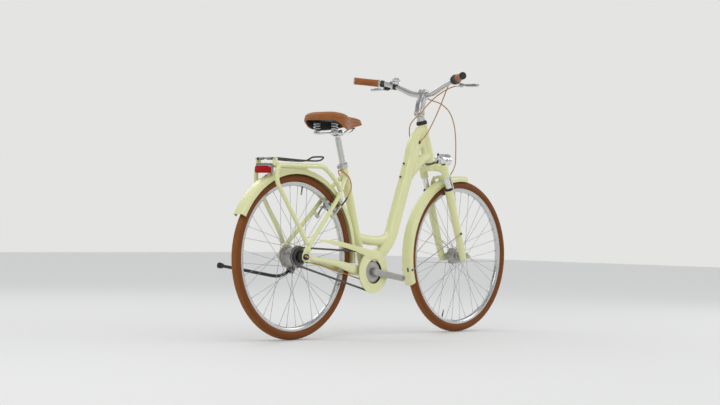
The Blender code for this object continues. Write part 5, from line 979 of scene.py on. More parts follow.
# %% Stays and dropouts
SEATSTAY = mm([(-232, 10, 700), (-268, 23.5, 664), (-304.5, 39.5, 622), (-348, 46.5, 572), (-455, 59.5, 463),
               (-491, 64.5, 428), (-526, 69, 388), (-533, 70, 366)])
CHAINSTAY = mm([(-106, 24, 283), (-150, 31.5, 288), (-184, 34.6, 292), (-219, 40.5, 297), (-280, 48, 310),
                (-341, 54, 322), (-420, 61, 332), (-500, 68, 341), (-532, 70, 345)])
STAY_DEPTH = [0.019, 0.02, 0.019, 0.018, 0.014, 0.0125, 0.011, 0.01, 0.009]
STAY_WIDTH = [0.01, 0.008, 0.008, 0.0085, 0.0095, 0.0095, 0.009, 0.008, 0.0045]
DROPOUT = mm([(-520, 326), (-518, 360), (-516, 392), (-536, 398), (-552, 380), (-564, 356), (-564, 340),
              (-552, 329)])
BRAKE_SPOT = mm([-372.62, 0, 536.36])
BRAKE_UP = unit(BRAKE_SPOT - AXLES["rear"])
BRAKE_AHEAD = np.array([BRAKE_UP[2], 0, -BRAKE_UP[0]])


def along(values, count):
    """Values given at even steps, spread smoothly over more steps."""
    values = np.asarray(values, float)
    return np.interp(np.linspace(0, len(values) - 1, count), np.arange(len(values)), values)


def stay_shells():
    """One side's two stays, axle plate, brake boss with its peg, and the rings of weld at their ends."""
    seat_stay = smooth_path(SEATSTAY, 70)
    chain_stay = smooth_path(CHAINSTAY, 60)
    pivot = AXLES["rear"] + BRAKE_UP * 0.258 + LEFT * 0.044
    plate_outline = eased(DROPOUT, 0.006)
    bead = [tube([p, q], [r, r], sides=28, ease=0.0012)
            for p, q, r in ((seat_stay[-4], seat_stay[-2], 0.0106), (chain_stay[-5], chain_stay[-3], 0.0093))]
    return [tube(seat_stay, 0.0095, sides=28, ease=0.003),
            tube(chain_stay, along(STAY_DEPTH, 60), along(STAY_WIDTH, 60), LEFT, 2.4, 36, ease=0.003),
            plate(plate_outline, 0.067, 0.073, 0.0008),
            rod(pivot - BRAKE_AHEAD * 0.006, pivot + BRAKE_AHEAD * 0.0155, 0.008, ease=0.001),
            rod(pivot + BRAKE_AHEAD * 0.01, pivot + BRAKE_AHEAD * 0.0275, 0.004)] + bead


left_stays = stay_shells()
piece("stays", left_stays + mirrored(left_stays), PAINT, "frame", ["frame"])

# %% [markdown]
# Small things on the frame: a black port where each cable goes in, a rubber sleeve where it
# comes out, two closed bosses on the down tube's rear face, the headset, the bottom bracket's
# rings and the clamp that holds the seat post.

# %% Frame fittings
def port(place, out, length=0.016):
    """An oval grommet, longer along the tube, that stands a little proud of the paint."""
    along_tube = unit(np.array([-0.42, 0, -0.9]))
    axes = basis(out, along_tube)
    return tube([place - unit(out) * 0.004, place + unit(out) * 0.0022], 0.0055, length / 2, side=axes[0],
                sides=28, ease=0.0012)


def boss(x, z):
    """A closed rivet nut on the down tube's rear face: a flanged ring round a domed screw."""
    back = unit(np.array([-0.93, 0, 0.36]))
    ring = [(0.2, -4), (4.6, -4), (4.6, 0.4), (4, 1), (3.6, 0.6), (3.1, 1.3), (1.8, 1.7), (0.2, 1.8)]
    return turned(mm(ring), np.array([x, 0, z]) + back * 0.0015, back, 28)


piece("cable_ports", [port(mm([237, -25.5, 862]), (0.1, -1, 0.1)), port(mm([236, 25.5, 868]), (0.1, 1, 0.1)),
                      port(mm([-37, -8, 310.5]), (0.35, 0, -1)), port(mm([-106, 16.5, 434]), (-0.2, 1, 0.1)),
                      boss(0.157, 0.764), boss(0.135, 0.704)], BLACK, "frame")
upper_cup = [(16.7, -14), (16.7, 0.3), (24.6, 0.3), (25, 2), (25, 6.2), (24, 7.5), (23.6, 8.2), (23.6, 10),
             (22.6, 11.8), (19, 15), (14.6, 15), (14.6, -14)]
lower_cup = [(16.7, 14), (16.7, -0.3), (24, -0.3), (24.4, -1.8), (24.4, -4.8), (23.4, -5.6), (22.8, -6.2),
             (22.8, -8), (22.2, -8.5), (14.6, -8.5), (14.6, 14)]
piece("headset_cup_upper", [hollow(upper_cup, 0.4, steer(HEAD_HIGH), UP, 64)], BLACK, "frame",
      ["headset_upper"])
piece("headset_cup_lower", [hollow(lower_cup, 0.4, steer(HEAD_LOW), UP, 64)], DARK_STEEL, "frame",
      ["headset_lower"])
ring = [(9.2, -36), (16, -36), (17.1, -34.5), (17.1, 34.5), (16, 36), (9.2, 36)]
piece("bottom_bracket_rings", [hollow(ring, 0.6, BB_CENTRE, LEFT, 56)], DARK_STEEL, "frame",
      ["bottom_bracket"])
collar = [(17.7, -9.5), (21, -9.5), (21.6, -8.5), (21.6, 7), (20.8, 8.5), (19, 9.5), (14.3, 9.5), (14.3, 7.8),
          (17.7, 7.8)]
ear = seat_at(0.7405, -0.0255)
seat_axes = basis(LEFT, SEAT_UP)
piece("seat_clamp_ring", [hollow(collar, 0.5, seat_at(0.7405), SEAT_UP, 64),
                          block(ear + LEFT * 0.0048, (0.015, 0.012, 0.0062), 0.0012, seat_axes),
                          block(ear - LEFT * 0.0048, (0.015, 0.012, 0.0062), 0.0012, seat_axes)], SILVER,
      "frame", ["seat_clamp"])
piece("seat_clamp_bolt", [rod(ear - LEFT * 0.014, ear + LEFT * 0.01, 0.0026),
                          rod(ear - LEFT * 0.015, ear - LEFT * 0.008, 0.0044),
                          tube([ear + LEFT * 0.008, ear + LEFT * 0.0125], 0.0042, sides=6, ease=0.0006)],
      STEEL, "frame", [])

# %% [markdown]
# ## Suspension fork
# The crown and its legs are one cast piece, painted like the frame. Two chromed stanchions
# stand in it and slide in the lowers, under black wiper seals. The lowers are one casting
# too: two tapered legs, an arch behind the tyre's top, brake bosses and dropouts.

# %% Crown and stanchions
LEG_Y, LEG_AHEAD, BOSS_UP, BOSS_Y = 0.063, 0.016, 0.264, 0.044
CROWN_SPOTS = [(0.408, LEG_AHEAD, -LEG_Y), (0.423, 0.012, -0.04), (0.429, 0.006, 0.0), (0.423, 0.012, 0.04),
               (0.408, LEG_AHEAD, LEG_Y)]


def leg(up, side, ahead=LEG_AHEAD):
    """A point on a fork leg's axis."""
    return steer(up, ahead, side * LEG_Y)


def crown_shells():
    """A flattened bar across, a steerer seat in its middle, and a turned socket round each stanchion."""
    bridge = smooth_path([steer(*spot) for spot in CROWN_SPOTS], 40)
    shells = [tube(bridge, 0.016, 0.0165, UP, 3.0, 40, ease=0.004),
              rod(steer(0.418), steer(0.4465), 0.0222, 0.0218, ease=0.002)]
    for side in (1, -1):
        shells.append(turned(mm([(0.2, 376), (17.2, 376), (18.5, 378), (18.3, 390), (17.6, 428),
                                 (16.4, 433.5), (12, 436), (0.2, 436.8)]), leg(0, side), UP, 48))
    return shells


crown = piece("fork_crown_casting", crown_shells(), PAINT, "steering", ["fork_crown"])
welded(crown, 0.0013, 5)
steerer = [rod(steer(0.43), steer(0.54), 0.0143),
           turned(mm([(11.7, 538), (14.3, 538), (14.3, 651.5), (11.7, 651.5)]), STEER_FOOT, UP, 48, True)]
piece("steerer", steerer, STEEL, "steering", ["fork_crown"])
stanchions = [rod(leg(0.2, side), leg(0.38, side), 0.0127, sides=56, ease=0.001) for side in (1, -1)]
piece("stanchions", stanchions, CHROME, "steering", ["fork_crown"])
caps = [turned(mm([(0.2, 436), (9, 436), (9.2, 438.5), (8, 439.8), (6, 439), (0.2, 438.6)]), leg(0, side), UP,
               32) for side in (1, -1)]
piece("stanchion_caps", caps, BLACK, "steering", [])

# %% [markdown]
# Cast lowers have thick round feet where the axle bolts on, and their brake bosses stand on
# short pads. An arch joins the legs behind the tyre's crown, because a bridge in front would
# hit the crown when the fork is pushed in. They slide, so nothing here is welded to the crown.

# %% Lowers
def lower_leg(side):
    """The leg's radius runs from 16 to 20 mm, with a bead below the seal and a rounded foot."""
    profile = [(13.1, 140), (13.1, 314), (19.2, 314), (20, 312.5), (20, 306), (19.2, 303.5), (19.2, 275),
               (18.4, 200), (17.2, 100), (16.2, 20), (15.8, -14), (14.5, -23), (11, -27.5), (6, -28),
               (6, 140)]
    return hollow(profile, 1.2, leg(0, side), UP, 64)


ARCH_SPOTS = mm([(278, 26, 60), (300, 34, 57), (320, 40, 53), (354, 41, 40), (368, 41, 20), (370.5, 41, 0)])


def arch_shells():
    """A flattened bar up from one leg, over the tyre and down to the other, with a rib along its front."""
    half = [steer(*spot) for spot in ARCH_SPOTS]
    path = smooth_path(half + [p * [1, -1, 1] for p in half[-2::-1]], 80)
    reach = np.abs(np.linspace(-1, 1, 80))
    return [tube(path, 0.0066 + 0.003 * reach ** 2, 0.0066 + 0.004 * reach ** 3, AHEAD, 2.8, 32, ease=0.003),
            tube(path + AHEAD * 0.0046, 0.0022, 0.003, AHEAD, 2.0, 16, ease=0.002)]


def fork_dropout(side):
    """A web from the leg's foot to a round eye behind the axle nut."""
    y = side * 0.0538
    eye = steer(AXLE_DROP, 0.05)
    leg_foot = steer(AXLE_DROP + 0.002, 0.018)
    outline = mm([(-2, -16.5), (20, -14), (33, -15), (44.5, -14), (50, 0), (44.5, 14), (33, 15), (18, 15),
                  (-2, 20)])
    axes = np.array([AHEAD, UP, LEFT])
    web = plate(eased(outline, 0.007), -0.0035, 0.0035, 0.001, leg_foot + LEFT * y, axes)
    ring = rod(eye + LEFT * (y - 0.0035), eye + LEFT * (y + 0.0035), 0.015, sides=40, ease=0.0012)
    return [web, ring]


lowers = []
for side in (1, -1):
    boss_out = steer(BOSS_UP, 0.0535, side * BOSS_Y)
    lowers += fork_dropout(side) + [rod(steer(BOSS_UP, 0.026, side * BOSS_Y), boss_out, 0.008, ease=0.0012),
                                    rod(steer(BOSS_UP, 0.023, side * 0.04),
                                        steer(BOSS_UP, 0.023, side * LEG_Y), 0.0095, 0.011, ease=0.002)]
lowers += arch_shells()
piece("fork_lowers", lowers + [lower_leg(1), lower_leg(-1)], PAINT, "fork_lowers", ["fork_lowers"])
pegs = [rod(steer(BOSS_UP, 0.05, side * BOSS_Y), steer(BOSS_UP, 0.0655, side * BOSS_Y), 0.004)
        for side in (1, -1)]
piece("front_brake_pegs", pegs, STEEL, "fork_lowers", [])
wiper = [(12.9, 314.2), (19, 314.2), (19.4, 315.5), (19.4, 318), (17.6, 319.2), (16, 322.5), (14.6, 324.5),
         (12.9, 324.8)]
piece("fork_seals", [hollow(wiper, 0.3, leg(0, side), UP, 56) for side in (1, -1)], BLACK, "fork_lowers", [])

# %% [markdown]
# ## Axles
# Each axle is a threaded rod with flanged nuts outside the dropouts and domed caps on the
# nuts. Threads are a ripple on the rod's radius, so they catch the light as rings.

# %% Axles and nuts
def threaded(centre, start, end, radius, axis=LEFT, step=0.001):
    """A rod whose radius ripples by 0.25 mm with the thread's step."""
    at = np.linspace(start, end, int(abs(end - start) / step * 6))
    wave = radius - 0.00025 * (0.5 + 0.5 * np.cos(2 * math.pi * at / step))
    profile = np.column_stack([np.concatenate([[0.0002], wave, [0.0002]]),
                               np.concatenate([[start], at, [end]])])
    return turned(profile, centre, axis, 24)


def axle_nut(centre, side, face, across, height):
    """A washer, a six-sided nut and a domed cap."""
    washer = turned(eased([(0.0052, 0.0), (across + 0.0016, 0.0), (across + 0.0016, 0.0016), (0.0052, 0.002)],
                          0.0003), centre + LEFT * side * face, LEFT * side, 48, True)
    nut = tube([centre + LEFT * side * (face + 0.0016), centre + LEFT * side * (face + height)], across,
               sides=6, ease=0.0009)
    dome = turned([(0.0002, height - 0.001), (across * 0.8, height - 0.001), (across * 0.8, height + 0.003),
                   (across * 0.66, height + 0.0052), (across * 0.35, height + 0.0062),
                   (0.0002, height + 0.0064)], centre + LEFT * side * face, LEFT * side, 40)
    return [washer, nut, dome]


rear, front = AXLES["rear"], AXLES["front"]
rear_parts = [threaded(rear, -0.087, 0.087, 0.005), rod(rear + LEFT * 0.0482, rear + LEFT * 0.0667, 0.009)]
front_parts = [threaded(front, -0.076, 0.076, 0.005),
               rod(front - LEFT * 0.0442, front - LEFT * 0.0499, 0.0092),
               rod(front + LEFT * 0.0432, front + LEFT * 0.0499, 0.0092)]
for side in (1, -1):
    rear_parts += axle_nut(rear, side, 0.0733, 0.0095, 0.0088)
    front_parts += axle_nut(front, side, 0.0576, 0.0088, 0.0082)
piece("rear_axle_parts", rear_parts, SILVER, "frame", ["rear_axle"], 32)
piece("front_axle_parts", front_parts, SILVER, "fork_lowers", ["front_axle"], 32)
plug = front + mm([0, 46.4, 13])
piece("dynamo_plug", [block(plug, (0.017, 0.03, 0.0058), 0.0012, [(1, 0, 0), (0, 0, 1), (0, 1, 0)]),
                      tube(smooth_path([plug + [0, 0, 0.014], plug + [-0.006, 0.004, 0.03],
                                        steer(0.06, 0.036, 0.058), steer(0.1, 0.031, 0.066)], 24), 0.0014,
                           sides=10)], BLACK, "fork_lowers", ["front_axle"])

# %% [markdown]
# ## Fenders
# A fender is one section, flat on top with rounded shoulders and turned-in hems, carried round the axle. The
# front one has a rounded end, and over the tyre's rear a thin black plate stands for a slot: its black is
# painted shade of the hole.

# %% Fenders
def fender_section(outer, edge, half=0.028, wall=0.0012):
    """Half of the outer line runs from the hem up the side and over the shoulder; the wall lies inside it."""
    side = np.array([(edge, half - 0.0022), (edge - 0.0008, half - 0.0006), (edge + 0.0012, half),
                     (outer - 0.011, half - 0.0008)])
    a = np.radians(np.linspace(12, 90, 7))[:, None]
    shoulder = np.hstack([outer - 0.0095 + 0.0095 * np.sin(a), half - 0.0135 + 0.0127 * np.cos(a)])
    line = np.vstack([side, shoulder, [[outer, 0.0075]]])
    over = np.vstack([line, (line * [1, -1])[::-1]])
    step = unit(np.gradient(over, axis=0))
    inside = over - np.column_stack([step[:, 1], -step[:, 0]]) * -wall
    inside[0], inside[-1] = over[0] + [0.001, -0.0002], over[-1] + [0.001, 0.0002]
    return np.vstack([over, inside[::-1]])


def fender_strip(axle, outer, edge, first, last, count=160, round_end=0.0, half=0.028):
    """The section carried round the axle; near the last angle the sides may narrow to a rounded end."""
    section = fender_section(outer, edge, half)
    angle = np.radians(np.linspace(first, last, count))
    left_over = np.abs(angle - angle[-1]) * outer
    squeeze = np.ones(count)
    if round_end:
        near = np.clip(left_over / round_end, 0, 1)
        squeeze = 0.6 + 0.4 * np.sqrt(1 - (1 - near) ** 2)
    radius = outer - (outer - section[None, :, 0]) * np.clip(squeeze[:, None] * 1.2, 0, 1)
    y = section[None, :, 1] * squeeze[:, None]
    return shell(np.stack([axle[0] + radius * np.cos(angle)[:, None], axle[1] + y,
                           axle[2] + radius * np.sin(angle)[:, None]], axis=-1))


rear_strip = [fender_strip(rear, 0.371, 0.347, 152.0, -4.5)]
out = SEAT_AHEAD
reach = float(np.dot(seat_at(0.45) - rear, out))
peg = turned(eased([*mm([(0.2, 370.2), (13, 370.2), (13, 371.6), (7.5, 373)]), (0.007, reach - 0.0185),
                    (0.0002, reach - 0.0175)], 0.0006, False), rear, out, 40)
rack_cross = mm([-700, 0, 727.5])
toward = unit(rack_cross - rear)
top = float(np.linalg.norm(rack_cross - rear))
post = turned(eased([*mm([(0.2, 370.2), (11, 370.2), (11, 371.4), (6.4, 372.4)]), (0.006, top - 0.0099),
                     (0.0002, top - 0.0099)], 0.0006, False), rear, toward, 40)
piece("rear_fender_strip", rear_strip + [peg, post], PAINT, "frame", ["rear_fender"], 45)

front_strip = [fender_strip(front, 0.369, 0.345, 83.5, 201.0, 200, 0.012, 0.0265)]
stay_wires, clips = [], []
for side in (1, -1):
    low = steer(0.105, LEG_AHEAD, side * (LEG_Y + 0.019))
    a = math.radians(190.0)
    rim_at = front + np.array([0.356 * math.cos(a), side * 0.027, 0.356 * math.sin(a)])
    middle = (low + rim_at) / 2 + LEFT * side * 0.004
    stay_wires.append(tube(smooth_path([low, middle, rim_at], 30), 0.0018, sides=14, ease=0.001))
    clips += [pin(low, LEFT * side * 0.003, 0.0048, ease=0.0006),
              rod(low + LEFT * side * 0.0026, low + LEFT * side * 0.0046, 0.003, ease=0.0006),
              rod(rim_at - LEFT * side * 0.0006, rim_at + LEFT * side * 0.003, 0.0042, ease=0.0006)]
tab = rod(steer(AXLE_DROP + 0.3677, 0.041), steer(0.37, 0.041), 0.005)
piece("front_fender_strip", front_strip + [tab], PAINT, "fork_lowers", ["front_fender"], 45)
piece("front_fender_stays", stay_wires, STEEL, "fork_lowers", ["front_fender"])
# A thin black plate on the fender's surface: painted shade where the slot's hole would be.
a = math.radians(189.6)
spoke_line = np.array([math.cos(a), 0, math.sin(a)])
slot_axes = np.array([np.cross(spoke_line, LEFT), LEFT, spoke_line])
piece("front_fender_slot_shade_plate", [block(front + spoke_line * 0.3691 - LEFT * 0.012, (0.02, 0.008, 0.0008), 0.0002,
                                  slot_axes, 0.0038)], BLACK, "fork_lowers", [])
piece("fender_clips", clips, BLACK, "fork_lowers", ["front_fender"])

# %% [markdown]
# ## Stem and handlebar
# The stem is an adjustable one: a quill collar, a hinge across it, a neck that leans forward
# and a clamp round the bar. Its parts are welded into one skin like the frame, only finer.

# %% Stem
STEM_PIVOT = mm([260, 0, 995])
BAR_CENTRE = mm([285.5, 0, 1080])


def stem_shells():
    """Quill collar, hinge barrel, a boxy neck that leans forward, the clamp with face plate and lugs."""
    neck = smooth_path([STEM_PIVOT, (0.266, 0, 1.03), (0.278, 0, 1.06), BAR_CENTRE], 30)
    collar = [(0.0002, HEAD_HIGH + 0.0158), (0.019, HEAD_HIGH + 0.0158), (0.019, HEAD_HIGH + 0.021),
              (0.0178, HEAD_HIGH + 0.023), (0.0172, HEAD_HIGH + 0.04), (0.0002, HEAD_HIGH + 0.04)]
    return [turned(collar, STEER_FOOT, UP, 56), pin(STEM_PIVOT, LEFT * 0.019, 0.0168, sides=56, ease=0.0015),
            tube(neck, np.linspace(0.0205, 0.019, 30), np.linspace(0.0185, 0.019, 30), LEFT, 3.4, 44),
            pin(BAR_CENTRE, LEFT * 0.021, 0.0205, sides=56, ease=0.0015),
            block(BAR_CENTRE + mm([16.5, 0, 0]), (0.0125, 0.0375, 0.029), 0.0015),
            block(BAR_CENTRE + mm([-6, 12.5, 19]), (0.013, 0.011, 0.011), 0.002),
            block(BAR_CENTRE + mm([-6, -12.5, 19]), (0.013, 0.011, 0.011), 0.002)]


stem = piece("stem_casting", stem_shells(), SILVER, "steering", ["stem"])
bar_bore = tube([BAR_CENTRE - LEFT * 0.05, BAR_CENTRE + LEFT * 0.05], 0.0129, sides=64)
welded(stem, 0.0011, 4, [bar_bore])
piece("stem_quill", [rod(steer(0.56), steer(HEAD_HIGH + 0.02), 0.0112)], STEEL, "steering", ["stem"])
# Each bolt head's hex socket gets a black hexagon at its floor: painted shade in the recess.
bolts, sockets = [], []
for x, z, y in ((0.254, 0.986, -0.01), (0.256, 0.986, 0.01)):
    head = np.array([x - 0.009, y, z + 0.002])
    back = unit(np.array([-0.978, 0, 0.21]))
    bolts.append(hollow([(2.4, 0), (4.2, 0), (4.2, 5), (3.4, 5.6), (2.4, 5.2)], 0.3, head, back, 28))
    sockets.append(tube([head + back * 0.0005, head + back * 0.003], 0.0026, sides=6))
for z in (-0.0095, 0.0095):
    head = BAR_CENTRE + np.array([0.0225, 0, z])
    bolts.append(hollow([(2.2, 0), (4, 0), (4, 2.4), (3.2, 3), (2.2, 2.8)], 0.3, head, (1, 0, 0), 28))
    sockets.append(tube([head, head + [0.0012, 0, 0]], 0.0025, sides=6))
bolts += [rod(STEM_PIVOT + LEFT * s * 0.0186, STEM_PIVOT + LEFT * s * 0.0206, 0.0066, ease=0.0006)
          for s in (1, -1)]
piece("stem_bolts", bolts, STEEL, "steering", [])
piece("stem_bolt_socket_shade", sockets, BLACK, "steering", [])

# %% [markdown]
# The bar is one bent aluminium tube, thicker where the stem holds it. Bending keeps a tube's
# section round, so one path carries it: half the path is drawn and mirrored, which keeps both
# sides alike, and a short sleeve fills the clamp.

# %% Handlebar
GRIP_START = mm([234, 221, 1135])
GRIP_END = mm([172, 316, 1146])
GRIP_LINE = unit(GRIP_END - GRIP_START)
BAR_R = 0.0111


def bar_path(count=220):
    """The left half is drawn, then mirrored: flat in the clamp, then up and back to the grips."""
    half = [*mm([(285.5, 0, 1080), (285.5, 20, 1080), (285, 36, 1080.5), (276.5, 68, 1087), (270, 116, 1107),
                 (262, 156, 1122)]), GRIP_START - GRIP_LINE * 0.03, GRIP_START, GRIP_START + GRIP_LINE * 0.06,
            GRIP_END + GRIP_LINE * 0.001]
    half = np.array([np.asarray(p, float) for p in half])
    return smooth_path(np.vstack([on_side(half[:0:-1]), half]), count)


bar_reach = np.abs(np.linspace(-1, 1, 220))
bar_radius = np.interp(bar_reach, [0, 0.22, 0.36, 1], [0.0127, 0.0127, BAR_R, BAR_R])
sleeve = [(11.2, -31), (12.7, -29), (12.7, 29), (11.2, 31)]
piece("handlebar_tube", [tube(bar_path(), bar_radius, sides=40), solid(sleeve, 0.8, BAR_CENTRE, LEFT, 56)],
      SILVER, "steering", ["handlebar"])

# %% [markdown]
# ## Grips and controls
# The grips are leather, sewn along a line underneath, between a flange and a polished end
# ring. The left lever's clamp is black and the right one silver, and on the right a ribbed
# twist shifter sits inside the grip.

# %% Grips
def grip_surface(start, line, length, seam):
    """Radius from the angle and the way along: a soft waist, and a groove where the seam is sewn."""
    s = np.linspace(0, 1, 90)[:, None]
    a = np.linspace(0, 2 * math.pi, 72, endpoint=False)[None, :]
    u, v, w = basis(line, seam)
    radius = 0.0162 - 0.0005 * np.sin(math.pi * s) + 0.0018 * np.exp(-(s * length / 0.0035) ** 2)
    radius = radius - 0.0009 * np.exp(-((np.angle(np.exp(1j * a))) / 0.05) ** 2) * np.ones_like(s)
    stitch = np.exp(-((np.abs(np.angle(np.exp(1j * a))) - 0.13) / 0.045) ** 2)
    radius = radius + 0.00045 * stitch * np.clip(np.sin(2 * math.pi * s * length / 0.004), 0, 1)
    edge = np.clip(np.minimum(s, 1 - s) * length / 0.0014, 0, 1)
    radius = radius - 0.0014 * (1 - np.sqrt(1 - (1 - edge) ** 2))
    spin = np.cos(a)[..., None] * u + np.sin(a)[..., None] * v
    grid = start + radius[..., None] * spin + (s * length)[..., None] * w
    rim = [start + 0.0115 * spin[0] + w * h for h in (length, 0.0)]
    return shell(np.vstack([grid, rim[0][None], rim[1][None]]), loop=True)


for side, tag in ((1, "left"), (-1, "right")):
    line = on_side(GRIP_LINE, side)
    start = on_side(GRIP_START, side) + line * (0.0 if side > 0 else 0.048)
    end = on_side(GRIP_END, side)
    length = float(np.linalg.norm(end - start))
    down = unit(np.array([0.25, 0, -1.0]))
    piece(f"grip_leather_{tag}", [grip_surface(start + line * 0.0035, line, length - 0.0005, down)], LEATHER,
          "steering", [f"grip_{tag}"], 60)
    ring = [(11.5, -0.2), (17.6, -0.2), (18.4, 0.6), (18.4, 2.6), (17.6, 3.4), (11.5, 3.4)]
    end_ring = [(16.2, -0.6), (16.6, 0.2), (16.4, 2.6), (14, 4.2), (9, 5), (0.2, 5.2)]
    trim = SILVER if side > 0 else BLACK
    piece(f"grip_collar_{tag}", [hollow(ring, 0.4, start, line, 56)], trim, "steering", [])
    piece(f"grip_end_{tag}", [solid(end_ring, 0.6, end + line * 0.0006, line, 56)], trim, "steering", [])

# %% [markdown]
# A brake lever turns on a pin between two cheeks of its bracket. The bracket's collar is
# clamped on the bar inboard of the grip, and the cable comes in through a knurled screw. The
# blade is its own piece on its own body, so that it can be pulled.

# %% Lever brackets and levers
LEVER_ROOT = mm([280.5, 223, 1116])
LEVER_TIP = mm([286, 312, 1112])


def control_axes(side):
    """The grip's line, the lever's hinge axis, and the direction square to both."""
    line = on_side(GRIP_LINE, side)
    axis = unit(np.cross(line, on_side(LEVER_TIP, side) - on_side(LEVER_ROOT, side)))
    return line, axis, unit(np.cross(axis, line))


def bracket_shells(side):
    """A collar, an arm to the hinge with a block at its end, two cheeks and a knurled barrel adjuster."""
    line, _, lift = control_axes(side)
    start, hinge = on_side(GRIP_START, side), on_side(LEVER_ROOT, side)
    collar = [(11.4, -23), (15, -23), (16, -21.5), (16, -6.5), (15, -5), (11.4, -5)]
    axes = np.array([lift, line, np.cross(lift, line)])
    arm = tube(smooth_path([start - line * 0.014 + lift * 0.011, start - line * 0.014 + lift * 0.024,
                            hinge - line * 0.012], 20), 0.0065, 0.0078, line, 3.0, 32, ease=0.002)
    shells = [hollow(collar, 0.5, start, line, 56), arm,
              block(hinge - line * 0.0105, (0.018, 0.007, 0.016), 0.0012, axes)]
    for s in (1, -1):
        shells.append(block(hinge - line * 0.002 + axes[2] * s * 0.0058, (0.0176, 0.0236, 0.0044), 0.001,
                            axes))
    at = np.linspace(0.014, 0.0217, 24)
    knurl = np.column_stack([0.0052 + 0.0006 * (np.sin(np.arange(24) * 1.6) > 0), at])
    shells.append(turned(np.vstack([[0.0002, 0.013], knurl, [0.0002, 0.0217]]), hinge, -line, 28))
    return shells


def lever_shells(side):
    """A flat blade that bows away from the grip, a little wider at two thirds, with a ball at its tip."""
    line, axis, lift = control_axes(side)
    root, tip = on_side(LEVER_ROOT, side), on_side(LEVER_TIP, side)
    mid = root + (tip - root) * 0.35 + lift * 0.006
    path = smooth_path([root, mid, root + (tip - root) * 0.75 + lift * 0.001, tip], 50)
    s = np.linspace(0, 1, 50)
    depth = 0.0054 + 0.0009 * np.sin(math.pi * np.clip(s * 1.2, 0, 1)) - 0.0004 * s
    ball = [(0.0062 * math.sin(b) + 0.0001, -0.0062 * math.cos(b)) for b in np.linspace(0, math.pi, 20)]
    width = np.interp(s, [0, 0.12, 0.35, 0.8, 1], [0.0033, 0.0036, 0.0062, 0.0068, 0.005])
    return [tube(path, depth, width, axis, 2.8, 32, ease=0.001), turned(ball, tip, line, 32),
            pin(root, axis * 0.0033, 0.0066, ease=0.0006)]


for side, tag in ((1, "left"), (-1, "right")):
    line, axis, lift = control_axes(side)
    hinge = on_side(LEVER_ROOT, side)
    piece(f"lever_bracket_{tag}_body", bracket_shells(side), SATIN if side > 0 else SILVER, "steering",
          [f"lever_bracket_{tag}"])
    piece(f"lever_bracket_{tag}_pin", [pin(hinge, axis * 0.009, 0.003)], STEEL, "steering", [])
    piece(f"brake_lever_{tag}_blade", lever_shells(side), SILVER, f"brake_lever_{tag}",
          [f"brake_lever_{tag}"])

# %% [markdown]
# The twist shifter is a moulded drum round the bar that turns under thumb and finger. Ribs
# give them a hold, so its radius is worked out from the angle and from the way along, and a
# small window shows the gear.

# %% Twist shifter
def shifter_surface(start, line, first, last):
    """A drum whose outer two thirds have 20 round ribs; a raised ring and a smooth barrel stand inboard."""
    s = np.linspace(0, 1, 100)[:, None]
    a = np.linspace(0, 2 * math.pi, 160, endpoint=False)[None, :]
    u, v, w = basis(line)
    at = s * (last - first)
    base = np.interp(at, [0, 0.002, 0.014, 0.0165, 0.017, 0.021, 0.0215, 0.023, 0.048, 0.051],
                     [0.0188, 0.0203, 0.0203, 0.0205, 0.0223, 0.0223, 0.0205, 0.0196, 0.0186, 0.0172])
    zone = np.clip((at - 0.0225) / 0.002, 0, 1) * np.clip((0.049 - at) / 0.002, 0, 1)
    radius = base - 0.0012 * zone * (1 - np.abs(np.cos(10 * a)) ** 0.7)
    spin = np.cos(a)[..., None] * u + np.sin(a)[..., None] * v
    grid = start + radius[..., None] * spin + (first + at)[..., None] * w
    rims = np.stack([start + 0.012 * spin[0] + w * h for h in (last, first)])
    return shell(np.vstack([grid, rims]), loop=True)


right_line = on_side(GRIP_LINE, -1)
right_start = on_side(GRIP_START, -1)
piece("twist_shifter_drum", [shifter_surface(right_start, right_line, -0.004, 0.0468)], BLACK,
      "twist_shifter", ["twist_shifter"], 60)
right_rise = unit(np.array([0, 0, 1.0]) - right_line * right_line[2])
window = right_start + right_line * 0.006 + right_rise * 0.0203
piece("shifter_window", [block(window, (0.0075, 0.011, 0.0012), 0.0004,
                               [right_line, np.cross(right_rise, right_line), right_rise])], GREY,
      "twist_shifter", [])

# %% [markdown]
# ## Bell and headlight
# The bell is a spun dome in two steps on a black foot, with a thumb lever. Metal spinning
# presses a disc over a turned form, so a turned profile is the true way to draw it.

# %% Bell
BELL_SPOT = mm([264, 150, 1119.7])
BELL_LINE = unit(GRIP_START - GRIP_LINE * 0.03 - mm([270, 116, 1107]))
bell_top = np.array([-0.25, -0.2, 0.95])
bell_top = unit(bell_top - BELL_LINE * np.dot(bell_top, BELL_LINE))
base = BELL_SPOT + bell_top * 0.0135
dome = [(20, 5.2), (21.8, 5.6), (21.9, 6.6), (21.4, 7.8), (21, 13.5), (19.6, 16.8), (16, 18.8), (15, 19.8),
        (14.3, 24), (11, 26.8), (6, 28.1), (0.2, 28.5)]
inner = [(0.2, 22), (10, 20.8), (13, 19), (14, 16.5), (18, 14.5), (19.6, 12), (20, 7)]
piece("bell_dome", [turned(eased(mm(dome + inner), 0.0004, False), base, bell_top, 72)], CHROME, "steering",
      ["bell"], 60)
band = [(11.3, -7), (14.2, -7), (15, -6.2), (15, 6.2), (14.2, 7), (11.3, 7)]
bell_foot = rod(BELL_SPOT + bell_top * 0.0105, BELL_SPOT + bell_top * 0.0215, 0.01, 0.0085, ease=0.001)
bell_post = rod(BELL_SPOT + bell_top * 0.021, BELL_SPOT + bell_top * 0.0355, 0.0022)
piece("bell_foot", [hollow(band, 0.5, BELL_SPOT, BELL_LINE, 48), bell_foot, bell_post], BLACK, "steering",
      ["bell"])
hinge = BELL_SPOT + bell_top * 0.0149 + BELL_LINE * 0.011
flank = unit(np.cross(bell_top, BELL_LINE))
thumb = smooth_path([hinge + BELL_LINE * 0.015 + flank * 0.006, hinge + BELL_LINE * 0.0152 - flank * 0.008,
                     hinge + BELL_LINE * 0.015 - flank * 0.0225], 24)
